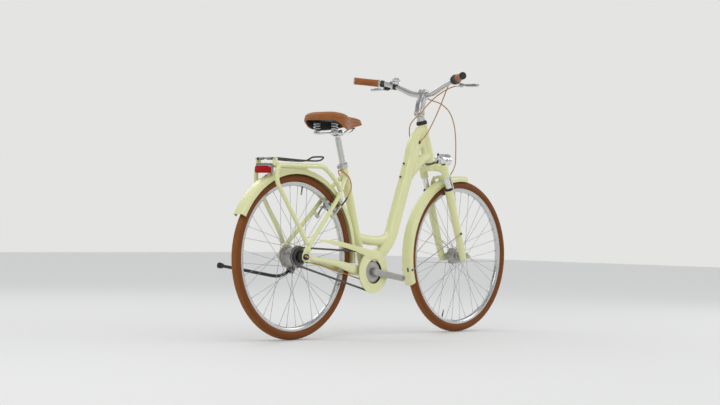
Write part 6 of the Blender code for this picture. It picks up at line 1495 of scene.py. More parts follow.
piece("bell_thumb_lever", [rod(hinge - BELL_LINE * 0.0012, hinge + BELL_LINE * 0.015, 0.0022),
                           tube(thumb, 0.0044, 0.0014, bell_top, 2.6, 28, ease=0.0013)], BLACK, "bell_lever",
      ["bell_lever"])

# %% [markdown]
# The headlight is a chromed bullet on a short arm. Its shell is turned with the reflector
# bowl as the inside of the same profile, and the lamp sits in the bowl behind a clear lens.

# %% Headlight
LAMP = mm([427, 0, 790])
FORWARD = np.array([1.0, 0, 0])
bullet = [(0.2, -40), (9, -38.8), (15.8, -35.4), (21.2, -29.2), (24.3, -21), (25.6, -9.5), (26.1, 4),
          (26.4, 22), (26.4, 23.8), (25.7, 24.6), (26.4, 25.4), (27.2, 29), (27.5, 37), (27.3, 39.8),
          (26.2, 40), (24.4, 39), (23.4, 36), (23.2, 27), (20, 19), (13, 13), (0.2, 11)]
fins = [turned([(0.0257, h), (0.0263, h + 0.0005), (0.0257, h + 0.001)], LAMP, FORWARD, 72, True)
        for h in (-0.004, 0.0, 0.004)]
arm_path = smooth_path([steer(0.4375, 0.033), steer(0.4385, 0.044), LAMP + [-0.024, 0, -0.013],
                        LAMP + [-0.012, 0, -0.0105]], 40)
piece("headlight_shell", [solid(bullet, 0.5, LAMP, FORWARD, 96)] + fins, CHROME, "steering",
      ["headlight_body"], 50)
lamp_axes = np.array([AHEAD, LEFT, UP])
piece("headlight_bracket", [tube(arm_path, 0.0046, 0.006, LEFT, 3.0, 28, ease=0.001),
                            block(steer(0.4375, 0.029), (0.012, 0.02, 0.0135), 0.0012, lamp_axes)], SATIN,
      "steering", ["headlight_body"])
knob = LAMP + mm([-28, 0, 4])
piece("headlight_switch", [solid([(5, 12), (5, 20), (4.2, 24.5), (3, 25.6), (0.2, 25.8)], 0.6, knob,
                                 (0, 0, 1), 32)], BLACK, "steering", ["headlight_body"])
glass = mm([(0.2, 38), (9.6, 37.7), (18, 36.3), (22.6, 34.2), (22.8, 32.5), (22, 31.8), (17.4, 34),
            (9.6, 35.2), (0.2, 35.5)])
piece("headlight_glass", [turned(glass, LAMP, FORWARD, 72)], CLEAR_LENS, "steering", ["headlight_lens"],
      60)
lamp_bulb = mm([(0.2, 11.5), (3.5, 11.5), (3.5, 19), (2.8, 23), (1.4, 25.2), (0.2, 25.6)])
piece("headlight_bulb", [turned(lamp_bulb, LAMP, FORWARD, 32)], YELLOW, "steering", [], 60)

# %% [markdown]
# ## Saddle
# The saddle is a leather cover over foam on a black shell, carried by chromed rails and two
# coil springs. The cover is one crowned form: its section at each place along the saddle is
# drawn between a half width and a height, the sides roll under to the shell's rim, and a
# shallow channel runs down the middle at the rear. Cloth can't be told from moulded foam on
# a saddle this stiff, so the form is worked out directly, and the stitched piping and the
# rolled hem are added as seams along it.

# %% Saddle stations
# Each row is x, half width, height of the crown, height of the hem.
SADDLE = mm([(-426.2, 12, 944, 939.5), (-425, 30, 948, 939), (-418, 60, 958, 937.5), (-402, 85, 964, 936.5),
             (-380, 98.5, 966.8, 935.5), (-356, 101.5, 967, 934.5), (-330, 95, 965, 933.5),
             (-302, 79, 961.5, 932), (-275, 60, 957.5, 930), (-248, 45, 954.5, 927.5), (-220, 36, 952.5, 925),
             (-192, 31.5, 950.5, 922.5), (-168, 27, 947, 921), (-156, 20, 942, 921.5), (-150, 9, 935, 924)])


def saddle_rows(count):
    """The stations on a smooth curve through them, closer together near both ends."""
    fine = spline(SADDLE, 16)
    way = way_along(fine[:, :2])
    return read_at(np.linspace(0, way[-1], count), way, fine)


def saddle_top(rows, s):
    """Height and width factors of the section; s runs from one hem, -1, over the crown to the other, 1."""
    bend = s * math.pi / 2 * 1.14
    y = np.sign(s) * np.abs(np.sin(bend)) ** 0.82
    z = np.cos(bend)
    z = np.where(z > 0, np.abs(z) ** 0.62, -0.28 * np.abs(z) ** 0.9)
    x, half, top, low = (rows[:, k][:, None] for k in range(4))
    full = low + 0.0018 + (top - low - 0.0018) * z[None, :]
    channel = (np.exp(-(y[None, :] * half / 0.011) ** 2)
               * np.clip((-0.235 - x) / 0.06, 0, 1) * np.clip((x + 0.418) / 0.03, 0, 1))
    cheeks = np.exp(-((np.abs(y[None, :]) * half - 0.055) / 0.026) ** 2) * np.clip((-0.29 - x) / 0.05, 0, 1)
    full = full - 0.0012 * channel + 0.0008 * cheeks * np.clip(z[None, :], 0, 1) - 0.0012
    return np.stack([x + 0 * full, y[None, :] * half, full], axis=-1)


rows = saddle_rows(150)
across = np.linspace(-1, 1, 96)
skin = saddle_top(rows, across)
under = np.stack([skin[:, -1] * [1, 0.9, 1] + [0, 0, 0.002], skin[:, 0] * [1, 0.9, 1] + [0, 0, 0.002]],
                 axis=1)
cover_shell = shell(np.concatenate([skin, under], axis=1))
cover = piece("saddle_leather", [cover_shell], LEATHER, "seat", ["saddle_cover"], 70)

# %% [markdown]
# The leather is pulled down over the shell's edge and sewn. A skirt hangs under the crown's
# edge, a rolled hem closes it, and a thin piping with a row of stitches runs round above it.
# All of them follow one closed line on the cover, so they stay on it whatever its shape.

# %% Seams of the cover
def saddle_line(width_share, count=200, lift=0.0):
    """A closed line on the cover at one share of the way across, round both ends."""
    station = saddle_rows(count)
    left = saddle_top(station, np.array([width_share]))[:, 0]
    right = saddle_top(station, np.array([-width_share]))[:, 0]
    return np.vstack([left, right[::-1]]) + [0, 0, lift]


def closed_tube(path, depth, width, sides=12, power=2.0):
    """A superellipse carried along a closed path, kept upright; its height may differ at each place."""
    tangent = unit(np.roll(path, -1, axis=0) - np.roll(path, 1, axis=0))
    across_line = unit(np.cross(tangent, [0.0, 0.0, 1.0]))
    normal = np.cross(across_line, tangent)
    shape = rounded(power, sides)
    depth = np.broadcast_to(depth, len(path))[:, None, None]
    ring = (path[:, None] + normal[:, None] * shape[None, :, :1] * depth
            + across_line[:, None] * shape[None, :, 1:] * width)
    return shell(ring, loop=True)


def even_loop(path, count):
    """The same closed path with even steps."""
    ring = np.vstack([path, path[:1]])
    way = way_along(ring)
    return read_at(np.linspace(0, way[-1], count, endpoint=False), way, ring)


SKIRT_X = mm([-430, -398, -380, -355, -320, -280, -250, -220, -190, -165, -150])
SKIRT_LOW = mm([930, 927, 917, 899, 889, 893, 899, 906, 913, 918, 923])
edge_line = even_loop(saddle_line(0.93), 400)
skirt_low = np.interp(edge_line[:, 0], SKIRT_X, SKIRT_LOW)
for _ in range(12):
    skirt_low = (np.roll(skirt_low, 1) + 2 * skirt_low + np.roll(skirt_low, -1)) / 4
skirt_top = edge_line[:, 2] + 0.003
skirt = edge_line * [1, 0.985, 0] + np.column_stack([np.zeros((400, 2)), (skirt_top + skirt_low) / 2])
skirt_half = (skirt_top - skirt_low) / 2
piece("saddle_skirt", [closed_tube(skirt, skirt_half, 0.0036, 28, 3.2)], LEATHER, "seat", ["saddle_cover"],
      60)
middle = mm([-300, 0, 0])
# A thin black band just inside the skirt is painted shade: it darkens the hollow under the saddle.
skirt_shade_band = middle + (skirt - middle) * [0.955, 0.945, 1]
piece("saddle_skirt_shade_band", [closed_tube(skirt_shade_band, np.maximum(skirt_half - 0.0035, 0.001), 0.001, 16, 3.2)], PAD,
      "seat", [], 60)
hem = even_loop(skirt * [1, 1, 0] + np.column_stack([np.zeros((400, 2)), skirt_low + 0.0012]), 400)
piping = even_loop(saddle_line(0.86), 400)
piece("saddle_hem", [closed_tube(hem, 0.0022, 0.0042), closed_tube(piping, 0.001, 0.001)], LEATHER, "seat",
      ["saddle_cover"], 60)
seam = even_loop(saddle_line(0.8, lift=0.0002), 480)
piece("saddle_stitches", bars(seam[0::3], seam[1::3], (0.00045, 0.00045), 6), THREAD, "seat", [],
      60)

# %% [markdown]
# Under the leather lies a black moulded shell. Two chromed wires, joined into one loop, carry
# it at the nose and on two coil springs at the rear. A coil is a circle that climbs, and its
# end turns lie nearly flat, as on real springs that stand on a washer.

# %% Shell, rails and springs
def base_shell():
    """A shallow dish under the cover: its rim follows the cover's outline and its floor is 14 mm lower."""
    station = saddle_rows(110)
    inside = np.maximum(station[:, 1] - 0.007, 0.0025)[:, None]
    low = station[:, 3][:, None] + 0.0004
    a = np.linspace(0, math.pi, 40)[None, :]
    c = np.cos(a)
    y = np.sign(c) * np.abs(c) ** 0.55 * inside
    depth = 0.006 * np.clip(inside / 0.02, 0.25, 1)
    z = low - 0.0006 - depth * np.abs(np.sin(a)) ** 0.75
    rib = 0.001 * (np.cos(y / 0.012 * math.pi) > 0.75)
    bowl = np.stack([station[:, :1] + 0 * y, y, z - rib * np.abs(np.sin(a)) ** 3], axis=-1)
    top = np.stack([np.stack([station[:, 0], y[:, -1] * share, low[:, 0]], axis=-1) for share in (0.9, -0.9)],
                   axis=1)
    return shell(np.concatenate([bowl, top], axis=1))


piece("saddle_shell", [base_shell()], BLACK, "seat", ["saddle_base"], 50)

RAIL = mm([(-185, 8, 902), (-200, 14, 897.5), (-218, 19, 886), (-238, 21, 879), (-287, 22, 879),
           (-315, 25, 878), (-338, 38, 874.5), (-350, 50, 873.5), (-364, 54, 873.5), (-376, 44, 873.5),
           (-378, 20, 873.5)])


def rail_loop(count=260):
    """Both rails and the two bows that join them, as one smooth closed wire."""
    half = np.array(RAIL)
    ring = np.vstack([half, on_side(half)[::-1]])
    path = smooth_path(np.vstack([ring[-3:], ring, ring[:3]]), count * 2)
    start = int(np.argmin(np.linalg.norm(path[:count // 2] - ring[0], axis=1)))
    stop = count + int(np.argmin(np.linalg.norm(path[count:] - ring[0], axis=1)))
    return even_loop(path[start:stop], count)


SPRING = mm([-360, 52, 879.5])
SPRING_TOP, SPRING_R, SPRING_WIRE, SPRING_TURNS = 0.917, 0.0135, 0.0021, 4.0


def coil(side):
    """A helix whose first and last turns lie nearly flat, as ground spring ends do."""
    s = np.linspace(0, 1, 260)
    a = 2 * math.pi * SPRING_TURNS * s
    rise = s + 0.1 * np.sin(2 * math.pi * (s - 0.5)) * np.abs(2 * s - 1)
    rise = (rise - rise[0]) / (rise[-1] - rise[0])
    path = np.column_stack([SPRING[0] + SPRING_R * np.cos(a), side * (SPRING[1] + SPRING_R * np.sin(a)),
                            SPRING[2] + (SPRING_TOP - SPRING[2]) * rise])
    return tube(path, SPRING_WIRE, side=(0, 0, 1), sides=14, ease=0.001)


rail_bits = [closed_tube(rail_loop(), 0.0035, 0.0035, 20)]
for side in (1, -1):
    foot = SPRING * [1, side, 1] - [0, 0, SPRING_WIRE + 0.0003]
    rail_bits.append(solid([(12, -5), (15.6, -2), (15.6, -0.4), (14.8, 0)], 0.6, foot, (0, 0, 1), 48))
piece("saddle_rail_wire", rail_bits, CHROME, "seat", ["saddle_rails"], 40)
for side, tag in ((1, "left"), (-1, "right")):
    piece(f"saddle_coil_{tag}", [coil(side)], CHROME, "seat", [f"saddle_spring_{tag}"], 60)
    cap = SPRING * [1, side, 0] + [0, 0, SPRING_TOP + SPRING_WIRE]
    piece(f"spring_cap_{tag}", [solid([(15, -1), (16, 0.4), (16, 3.6)], 0.6, cap, (0, 0, 1), 40),
                                solid([(3, -34), (3, 0)], 0.4, cap, (0, 0, 1), 20)], SATIN, "seat", [])

# %% [markdown]
# The post is a straight tube that slides in the seat tube, with a clamp on a cross bolt that
# holds the saddle's wires. Both are turned, and they ride with the saddle when it is raised.

# %% Seat post
HEAD_AT = mm([-287, 0, 879])
post = [(12.8, 0), (13.6, 0.8), (13.6, 264), (13, 268), (11.8, 270), (11.8, 276)]
piece("seatpost_tube", [solid(post, 0.6, seat_at(0.6), SEAT_UP, 64)], SILVER, "seat", ["seatpost"])
clamp = [pin(HEAD_AT, LEFT * 0.03, 0.01, sides=40, ease=0.0012)]
for side in (1, -1):
    clamp.append(solid([(12.8, 16.5), (13.4, 17.5), (13.4, 26.5), (12, 28.5)], 0.7, HEAD_AT, LEFT * side, 48))
    clamp.append(tube([HEAD_AT + LEFT * side * 0.029, HEAD_AT + LEFT * side * 0.0345], 0.0072, sides=6,
                      ease=0.0008))
clamp.append(solid([(15, -17), (16.2, -15.5), (16.2, -10), (14.5, -8.5)], 0.8, HEAD_AT + SEAT_UP * 0.001,
                   SEAT_UP, 48))
piece("seatpost_clamp", clamp, CHROME, "seat", ["seatpost"])

# %% [markdown]
# ## Rack, luggage clamp and tail light
# Two bent tubes run from the axle plates up round the platform and on to the seat stays.
# Two cross tubes join them, and ears at the rear hold the hinge of the sprung clamp.

# %% Rack
RACK_SIDE = mm([(-299, 37.2, 628), (-333, 51, 659), (-380, 58, 693), (-412, 60, 715), (-445, 60, 728.5),
                (-500, 60, 729), (-600, 60, 728), (-685, 60, 727.2), (-706, 60, 718), (-714, 60.5, 695),
                (-709, 61, 653), (-676, 62, 605), (-624, 63.5, 533), (-572, 65, 462), (-549, 68, 427),
                (-538, 70, 403)])
HINGE = mm([-722, 0, 753])
UPRIGHT = np.array([(1.0, 0, 0), (0, 0, 1.0), (0, 1.0, 0)])
rack_side = smooth_path(RACK_SIDE, 130)
half_rack = [tube(rack_side, 0.0095, sides=28, ease=0.003),
             block((-0.714, 0.048, 0.741), (0.026, 0.034, 0.005), 0.001, UPRIGHT, 0.009),
             rod(rack_side[2], rack_side[5], 0.0104, ease=0.0015),
             rod(rack_side[-6], rack_side[-3], 0.0104, ease=0.0015)]
cross = [tube([(-0.7, -0.06, 0.7275), (-0.7, 0.06, 0.7275)], 0.0095, sides=32),
         tube([(-0.455, -0.06, 0.73), (-0.455, 0.06, 0.73)], 0.0062, sides=28)]
weld_rings = [rod((x, s * 0.049, z), (x, s * 0.053, z), r) for s in (1, -1)
              for x, z, r in ((-0.7, 0.7275, 0.0104), (-0.455, 0.73, 0.0071))]
piece("rack_tubes", half_rack + mirrored(half_rack) + cross + weld_rings, PAINT, "frame", ["rear_rack"])

# %% [markdown]
# The clamp is bent spring wire in a black coat: two arms from the hinge, which rise at the
# front and meet in a rounded nose, and a pressed plate between them. A torsion spring on the
# hinge pin holds it down.

# %% Clamp
def clamp_wire():
    """Half of the wire from the hinge to the middle of the nose, then its mirror image back."""
    arm = [(HINGE[0], 0.041, HINGE[2]), *mm([(-690, 41, 756), (-560, 42, 752), (-470, 42, 752),
                                             (-430, 40, 757), (-408, 34, 769), (-403.5, 18, 771.7),
                                             (-403, 0, 772)])]
    arm = np.array(arm)
    return tube(smooth_path(np.vstack([arm, on_side(arm[-2::-1])]), 240), 0.0036, sides=16, ease=0.001)


def torsion_spring(y0, y1, turns):
    """A close helix round the hinge pin with a straight leg that bears on the plate's arm."""
    s = np.linspace(0, 1, 160)
    a = 2 * math.pi * turns * s
    coil_path = np.column_stack([HINGE[0] + 0.0046 * np.cos(a), y0 + (y1 - y0) * s,
                                 HINGE[2] + 0.0046 * np.sin(a)])
    end = coil_path[-1]
    return tube(np.vstack([coil_path, end + [0.012, 0, 0.003], end + [0.03, 0, 0.002]]), 0.0011, side=LEFT,
                sides=10)


knuckles = [hollow([(2.8, -3.5), (6, -3.5), (6, 3.5), (2.8, 3.5)], 0.4, HINGE + LEFT * s * 0.0415, LEFT, 32)
            for s in (1, -1)]
press_plate = block((-0.56, 0, 0.753), (0.03, 0.086, 0.0032), 0.0008, np.eye(3), 0.006)
press_ribs = [tube([(-0.56 + d, -0.034, 0.7548), (-0.56 + d, 0.034, 0.7548)], 0.0016, sides=12, ease=0.001)
              for d in (-0.007, 0.007)]
piece("clamp_wire_and_plate", [clamp_wire(), press_plate] + press_ribs + knuckles, SATIN, "rack_clamp",
      ["rack_clamp"])
piece("clamp_pin_and_spring", [pin(HINGE, LEFT * 0.0535, 0.0025), torsion_spring(0.01, 0.036, 7),
                               torsion_spring(-0.01, -0.036, 7)]
      + [rod(HINGE + LEFT * s * 0.0508, HINGE + LEFT * s * 0.054, 0.0046, ease=0.0008) for s in (1, -1)],
      STEEL, "rack_clamp", [])

# %% [markdown]
# The tail light is a grey case on the rear cross tube, with a ledge over it that shades the
# lens. The lens is a box of red polycarbonate with soft corners, moulded in one piece.

# %% Tail light
LIGHT_AXES = np.array([(0, 1.0, 0), (0, 0, 1.0), (1.0, 0, 0)])
piece("tail_light_case", [block((-0.7262, 0, 0.7125), (0.076, 0.0368, 0.0318), 0.003, LIGHT_AXES, 0.01),
                          block((-0.7425, 0, 0.7255), (0.064, 0.0055, 0.003), 0.0008, LIGHT_AXES, 0.002)],
      GREY, "frame", ["tail_light_body"])
piece("tail_light_shelf", [block((-0.7305, 0, 0.7298), (0.07, 0.004, 0.024), 0.001, LIGHT_AXES, 0.0015),
                           rod((-0.712, 0.018, 0.706), (-0.702, 0.018, 0.706), 0.004)], BLACK, "frame", [])
piece("tail_light_glass", [block((-0.735, 0, 0.708), (0.0772, 0.029, 0.022), 0.0026, LIGHT_AXES, 0.007)],
      RED_LENS, "frame", ["tail_light_lens"])

# %% [markdown]
# ## Drive
# A 42 tooth chainring turns a 19 tooth sprocket through a half inch chain. The links are
# made all at once: each one is an outline of two circles and a waist, copied to every other
# place along the chain's closed run, which is two arcs and the two straight lines between.

# %% The chain's run
PITCH, CHAIN_Y = 0.0127, -0.045
RING_TEETH, SPROCKET_TEETH = 42, 19
RING_R = PITCH / (2 * math.sin(math.pi / RING_TEETH))
SPROCKET_R = PITCH / (2 * math.sin(math.pi / SPROCKET_TEETH))


def chain_run(count):
    """Even places along the closed run, each with its heading, in the plane of X and Z."""
    gap = np.array([BB_CENTRE[0] - rear[0], BB_CENTRE[2] - rear[2]])
    span = np.linalg.norm(gap)
    heading = math.atan2(gap[1], gap[0])
    lean = math.asin((RING_R - SPROCKET_R) / span)
    straight = math.sqrt(span ** 2 - (RING_R - SPROCKET_R) ** 2)
    top, low = heading + math.pi / 2 + lean, heading - math.pi / 2 - lean
    lengths = np.array([RING_R * (math.pi + 2 * lean), straight, SPROCKET_R * (math.pi - 2 * lean), straight])
    ends = np.cumsum(lengths)
    s = np.linspace(0, ends[-1], count, endpoint=False)
    big = BB_CENTRE[[0, 2]] + RING_R * np.column_stack([np.cos(top - s / RING_R), np.sin(top - s / RING_R)])
    turn = low - (s - ends[1]) / SPROCKET_R
    small = rear[[0, 2]] + SPROCKET_R * np.column_stack([np.cos(turn), np.sin(turn)])
    a = BB_CENTRE[[0, 2]] + RING_R * np.array([math.cos(low), math.sin(low)])
    b = rear[[0, 2]] + SPROCKET_R * np.array([math.cos(low), math.sin(low)])
    c = rear[[0, 2]] + SPROCKET_R * np.array([math.cos(top), math.sin(top)])
    d = BB_CENTRE[[0, 2]] + RING_R * np.array([math.cos(top), math.sin(top)])
    lower = a + (b - a) * ((s - ends[0]) / straight)[:, None]
    upper = c + (d - c) * ((s - ends[2]) / straight)[:, None]
    behind = np.where((s < ends[2])[:, None], small, upper)
    below = np.where((s < ends[1])[:, None], lower, behind)
    at = np.where((s < ends[0])[:, None], big, below)
    return at, ends[-1]


links = 2 * round(chain_run(4)[1] / PITCH / 2)
pins, chain_length = chain_run(links)
print(f"chain: {links} links, {chain_length / links * 1000:.2f} mm apart")


def link_plates(first, second, y, half=0.0005, sides=9):
    """Figure-of-eight plates between neighbouring pins, all at the same distance from the chain's middle."""
    line = second - first
    length = np.linalg.norm(line, axis=1)[:, None]
    u = line / length
    v = np.column_stack([-u[:, 1], u[:, 0]])
    a = np.radians(np.linspace(-112, 112, sides))
    local_far = np.column_stack([0.0042 * np.cos(a), 0.0042 * np.sin(a)])
    waist = np.array([[0.0, 0.003]])
    shells = []
    for p, q, along_line, square in zip(first, second, u, v):
        mid = (p + q) / 2
        far = q + local_far[:, :1] * along_line + local_far[:, 1:] * square
        near = p - local_far[:, :1] * along_line - local_far[:, 1:] * square
        outline = np.vstack([far, mid + waist[0, 1] * square, near, mid - waist[0, 1] * square])
        rows = [np.column_stack([outline[:, 0], np.full(len(outline), height), outline[:, 1]])
                for height in (y - half, y + half)]
        shells.append(shell(np.array(rows)))
    return shells


following = np.roll(pins, -1, axis=0)
even, odd = np.arange(0, links, 2), np.arange(1, links, 2)
plates = []
for s in (1, -1):
    plates += link_plates(pins[even], following[even], CHAIN_Y + s * 0.0025)
    plates += link_plates(pins[odd], following[odd], CHAIN_Y + s * 0.0037)
pin_ends = np.column_stack([pins[:, 0], np.full(links, CHAIN_Y), pins[:, 1]])
rollers = bars(pin_ends - LEFT * 0.002, pin_ends + LEFT * 0.002, (0.0038, 0.0038), 12)
rivets = bars(pin_ends - LEFT * 0.0045, pin_ends + LEFT * 0.0045, (0.0016, 0.0016), 8)
piece("chain_plates", plates, DARK_STEEL, "frame", ["chain"], 30)
piece("chain_rollers", rollers + rivets, STEEL, "frame", ["chain"], 30)

# %% [markdown]
# Teeth are a rounded wave on a circle: the radius rises to the tip between two rollers and
# falls to the root under each of them. The tips stop just inside the chain's plates.

# %% Toothed wheels
def gear(centre, teeth, pitch_radius, y, half=0.0011, hole=0.012):
    """A ring whose outer radius follows the teeth and whose inner edge is the hole."""
    a = np.linspace(0, 2 * math.pi, teeth * 14, endpoint=False)
    wave = 0.5 + 0.5 * np.cos(teeth * a)
    outer = pitch_radius - 0.008 + 0.0042 * np.clip(wave * 1.25, 0, 1) ** 0.8
    thin = 0.45 * half * np.clip(wave * 1.6 - 0.6, 0, 1)
    rows = []
    for radius, height in ((np.full_like(a, hole), -half), (outer - 0.0035, -half), (outer, -half + thin),
                           (outer, half - thin), (outer - 0.0035, half), (np.full_like(a, hole), half)):
        rows.append(np.column_stack([centre[0] + radius * np.cos(a), centre[1] + y + height + 0 * a,
                                     centre[2] + radius * np.sin(a)]))
    return shell(np.array(rows), loop=True)


piece("rear_sprocket_teeth", [gear(rear, SPROCKET_TEETH, SPROCKET_R, CHAIN_Y, hole=0.0185),
                              hollow([(5.4, -47.8), (19.6, -47.8), (20, -47), (20, -39.2), (5.4, -39.2)], 0.4,
                                     rear, LEFT, 56)], DARK_STEEL, "rear_sprocket", ["rear_sprocket"],
      30)

# %% [markdown]
# The cranks are forged: the metal is pressed between dies, so a crank is a soft box that
# narrows towards the pedal eye, with a shallow groove along its outer face. The pedals aren't
# fitted, and the threaded holes for them stay open.

# %% Cranks
DROP = math.radians(9.7)
FORWARD_DOWN = np.array([math.cos(DROP), 0, -math.sin(DROP)])


def crank_arm(side, count=90, sides=56):
    """A forged arm: a soft box section that narrows from boss to eye, with a groove along its outer face."""
    reach = FORWARD_DOWN if side < 0 else -FORWARD_DOWN
    s = np.linspace(0, 0.161, count)
    off = np.interp(s, [0, 0.02, 0.06, 0.11, 0.15, 0.17], [0.064, 0.066, 0.07, 0.076, 0.08, 0.0815])
    depth = np.interp(s, [0, 0.02, 0.06, 0.11, 0.15, 0.17], [0.0165, 0.016, 0.0148, 0.0138, 0.0135, 0.0135])
    width = np.interp(s, [0, 0.02, 0.06, 0.11, 0.15], [0.0085, 0.008, 0.007, 0.0065, 0.0065])
    square = np.cross(reach, LEFT)
    shape = rounded(3.4, sides)
    c, h = shape[None, :, 0] * depth[:, None], shape[None, :, 1] * width[:, None]
    cut = np.clip((s - 0.026) / 0.008, 0, 1) * np.clip((0.146 - s) / 0.008, 0, 1)
    h = h - np.where(h > 0, 0.0013, 0) * cut[:, None] * np.clip(1.6 - np.abs(c) / 0.0042, 0, 1)
    grid = (BB_CENTRE + s[:, None, None] * reach + (off[:, None] + h)[..., None] * LEFT * side
            + c[..., None] * square)
    return shell(grid)


def crank_ends(side):
    """The tapered boss with its bolt cap, and the eye, a threaded hole for a pedal that isn't fitted."""
    reach = FORWARD_DOWN if side < 0 else -FORWARD_DOWN
    boss_profile = [(8.8, 52.5), (16, 52.5), (16.8, 54), (15.6, 70), (14.6, 73.5), (12.2, 74.2), (8.8, 74.2)]
    tip = BB_CENTRE + reach * 0.17
    thread_at = np.linspace(0.0884, 0.0752, 80)
    eye = np.vstack([mm([(8, 75), (11.8, 75), (13, 76.2), (13, 87.2), (12, 88.5), (8, 88.5)]),
                     np.column_stack([0.0071 + 0.0005 * np.abs(np.sin(thread_at / 0.00127 * math.pi)),
                                      thread_at])])
    cap = [(10.8, 72.5), (11, 74.8), (10, 75.7), (6, 76)]
    return ([hollow(boss_profile, 0.6, BB_CENTRE, LEFT * side, 64), turned(eye, tip, LEFT * side, 56, True)],
            [solid(cap, 0.4, BB_CENTRE, LEFT * side, 48)])


ring_disc = [(17.5, -56), (30, -57.3), (40, -56.2), (45, -54.5), (47.8, -52.5), (47.8, -50), (40, -50),
             (17.5, -52)]
disc_rim = [(47.4, -53), (49.2, -51.2), (50, -49), (50, -46.2), (47.4, -46.2)]
for side, tag in ((-1, "right"), (1, "left")):
    ends, caps = crank_ends(side)
    extra = [hollow(ring_disc, 0.6, BB_CENTRE, LEFT, 96)] if side < 0 else []
    piece(f"crank_{tag}_forging", [crank_arm(side)] + ends + extra, CAST, "cranks", [f"crank_{tag}"],
          35)
    piece(f"crank_{tag}_cap", caps, STEEL, "cranks", [])
piece("chainring", [gear(BB_CENTRE, RING_TEETH, RING_R, CHAIN_Y, hole=0.03)], DARK_STEEL, "cranks",
      ["crank_right"], 30)
piece("disc_rim", [hollow(disc_rim, 0.5, BB_CENTRE, LEFT, 96)], BLACK, "cranks", [])
piece("crank_axle", [pin(BB_CENTRE, LEFT * 0.0595, 0.0085)], STEEL, "cranks", ["crank_spindle"])

# %% [markdown]
# The chain guard is pressed from sheet: a ring round the chainring's disc and a long strip
# over the chain whose top edge is folded inward. The edge runs through points that were read
# along it. A pin behind it, over the chain, fastens it to the seat tube.

# %% Chain guard
GUARD_Y = -0.059
GUARD_TOP = mm([(-451, 422.5), (-391, 420.5), (-331, 415), (-282, 408), (-233, 399), (-183, 390),
                (-133, 380.6), (-115, 378.6), (-100, 377), (-80, 374.5), (-60, 369)])
GUARD_LOW = mm([(-60, 330), (-105, 330), (-152, 351), (-190, 364), (-232, 375), (-281, 386), (-330, 394),
                (-380, 404), (-431, 413), (-449, 417)])


def in_plane(points, y):
    """Points in X and Z placed in the plane at that Y."""
    p = np.asarray(points, float)
    return np.column_stack([p[:, 0], np.full(len(p), y), p[:, 1]])


top_edge = smooth_path(in_plane(GUARD_TOP, 0), 90)
low_edge = smooth_path(in_plane(GUARD_LOW, 0), 80)
strip_outline = np.vstack([top_edge, low_edge])[:, [0, 2]]
guard_centre = np.array([BB_CENTRE[0], GUARD_Y, BB_CENTRE[2]])
ring_profile = mm([(51.5, -1), (54, -1), (56, -0.4), (88, -0.4), (90, -1), (91.8, -0.8), (92.5, 0.2),
                   (92.5, 5), (91.5, 5), (91, 1), (90, 0.6), (56, 0.8), (53, 1), (51.5, 1)])
lip_path = top_edge + [0, GUARD_Y + 0.008, 0] - [0, 0, 0.0008]
guard = [turned(ring_profile, guard_centre, LEFT, 128, True),
         plate(strip_outline, GUARD_Y - 0.001, GUARD_Y + 0.0008, 0.0004),
         tube(lip_path, 0.0008, 0.009, LEFT, 5.0, 24, ease=0.0006),
         rod((-0.1297, -0.0585, 0.3768), (-0.1297, -0.015, 0.3768), 0.002, ease=0.0003)]
piece("chain_guard_pressing", guard, PAINT, "frame", ["chain_guard"], 32)

# %% [markdown]
# The gears are in the hub. A moulded drum on the right end of the axle winds up the gear
# cable, and a cap covers the axle nut. The drum is turned, and its notches are cut by drawing
# in the radius where a wave of the angle is high.

# %% Gear hub's shift unit
cover_profile = [(5.4, -48.6), (23.2, -48.6), (24, -49.8), (25.5, -51.8), (25, -56), (23.8, -57.5),
                 (23.6, -60.2), (21, -63.2), (17.2, -65.5), (11, -65.9), (5.4, -65.9)]


def notched(profile, count, depth, low, high):
    """The turned cover with notches cut round it where its height lies between low and high."""
    points, faces = hollow(profile, 0.5, rear, LEFT, 168)
    local = points - rear
    a = np.arctan2(local[:, 2], local[:, 0])
    radius = np.hypot(local[:, 0], local[:, 2])
    cut = depth * (np.cos(count * a) > 0.45) * (local[:, 1] > low) * (local[:, 1] < high) * (radius > 0.02)
    share = (1 - cut / np.maximum(radius, 1e-6))[:, None]
    return rear + np.column_stack([local[:, 0] * share[:, 0], local[:, 1], local[:, 2] * share[:, 0]]), faces


piece("shift_unit_cover", [notched(cover_profile, 14, 0.0016, -0.0565, -0.05),
                           block((-0.533, -0.057, 0.3335), (0.03, 0.014, 0.0096), 0.0015, UPRIGHT, 0.004),
                           rod((-0.5235, -0.0566, 0.3275), (-0.513, -0.0552, 0.326), 0.0042, 0.0034)], BLACK,
      "frame", ["rear_shift_unit"], 32)
piece("shift_unit_marker", [block((-0.543, -0.0613, 0.336), (0.0075, 0.0042, 0.0022), 0.0005, UPRIGHT),
                            block((-0.5575, -0.085, 0.3525), (0.0105, 0.006, 0.006), 0.0008, UPRIGHT)],
      YELLOW, "frame", [])

axle_cap = [(10.5, 73.6), (12.8, 73.6), (13, 83), (11.8, 86.2), (7, 88), (0.2, 88.4), (0.2, 85), (10.5, 82)]
piece("axle_cap_right", [hollow(axle_cap, 0.6, rear, -LEFT, 48)], BLACK, "frame", [])

# %% [markdown]
# The stand's leg is a bent black rod that swings on a slanted pin, with a knob over the
# pin's end and a black rubber foot. It hangs from a plate under the left chain stay.

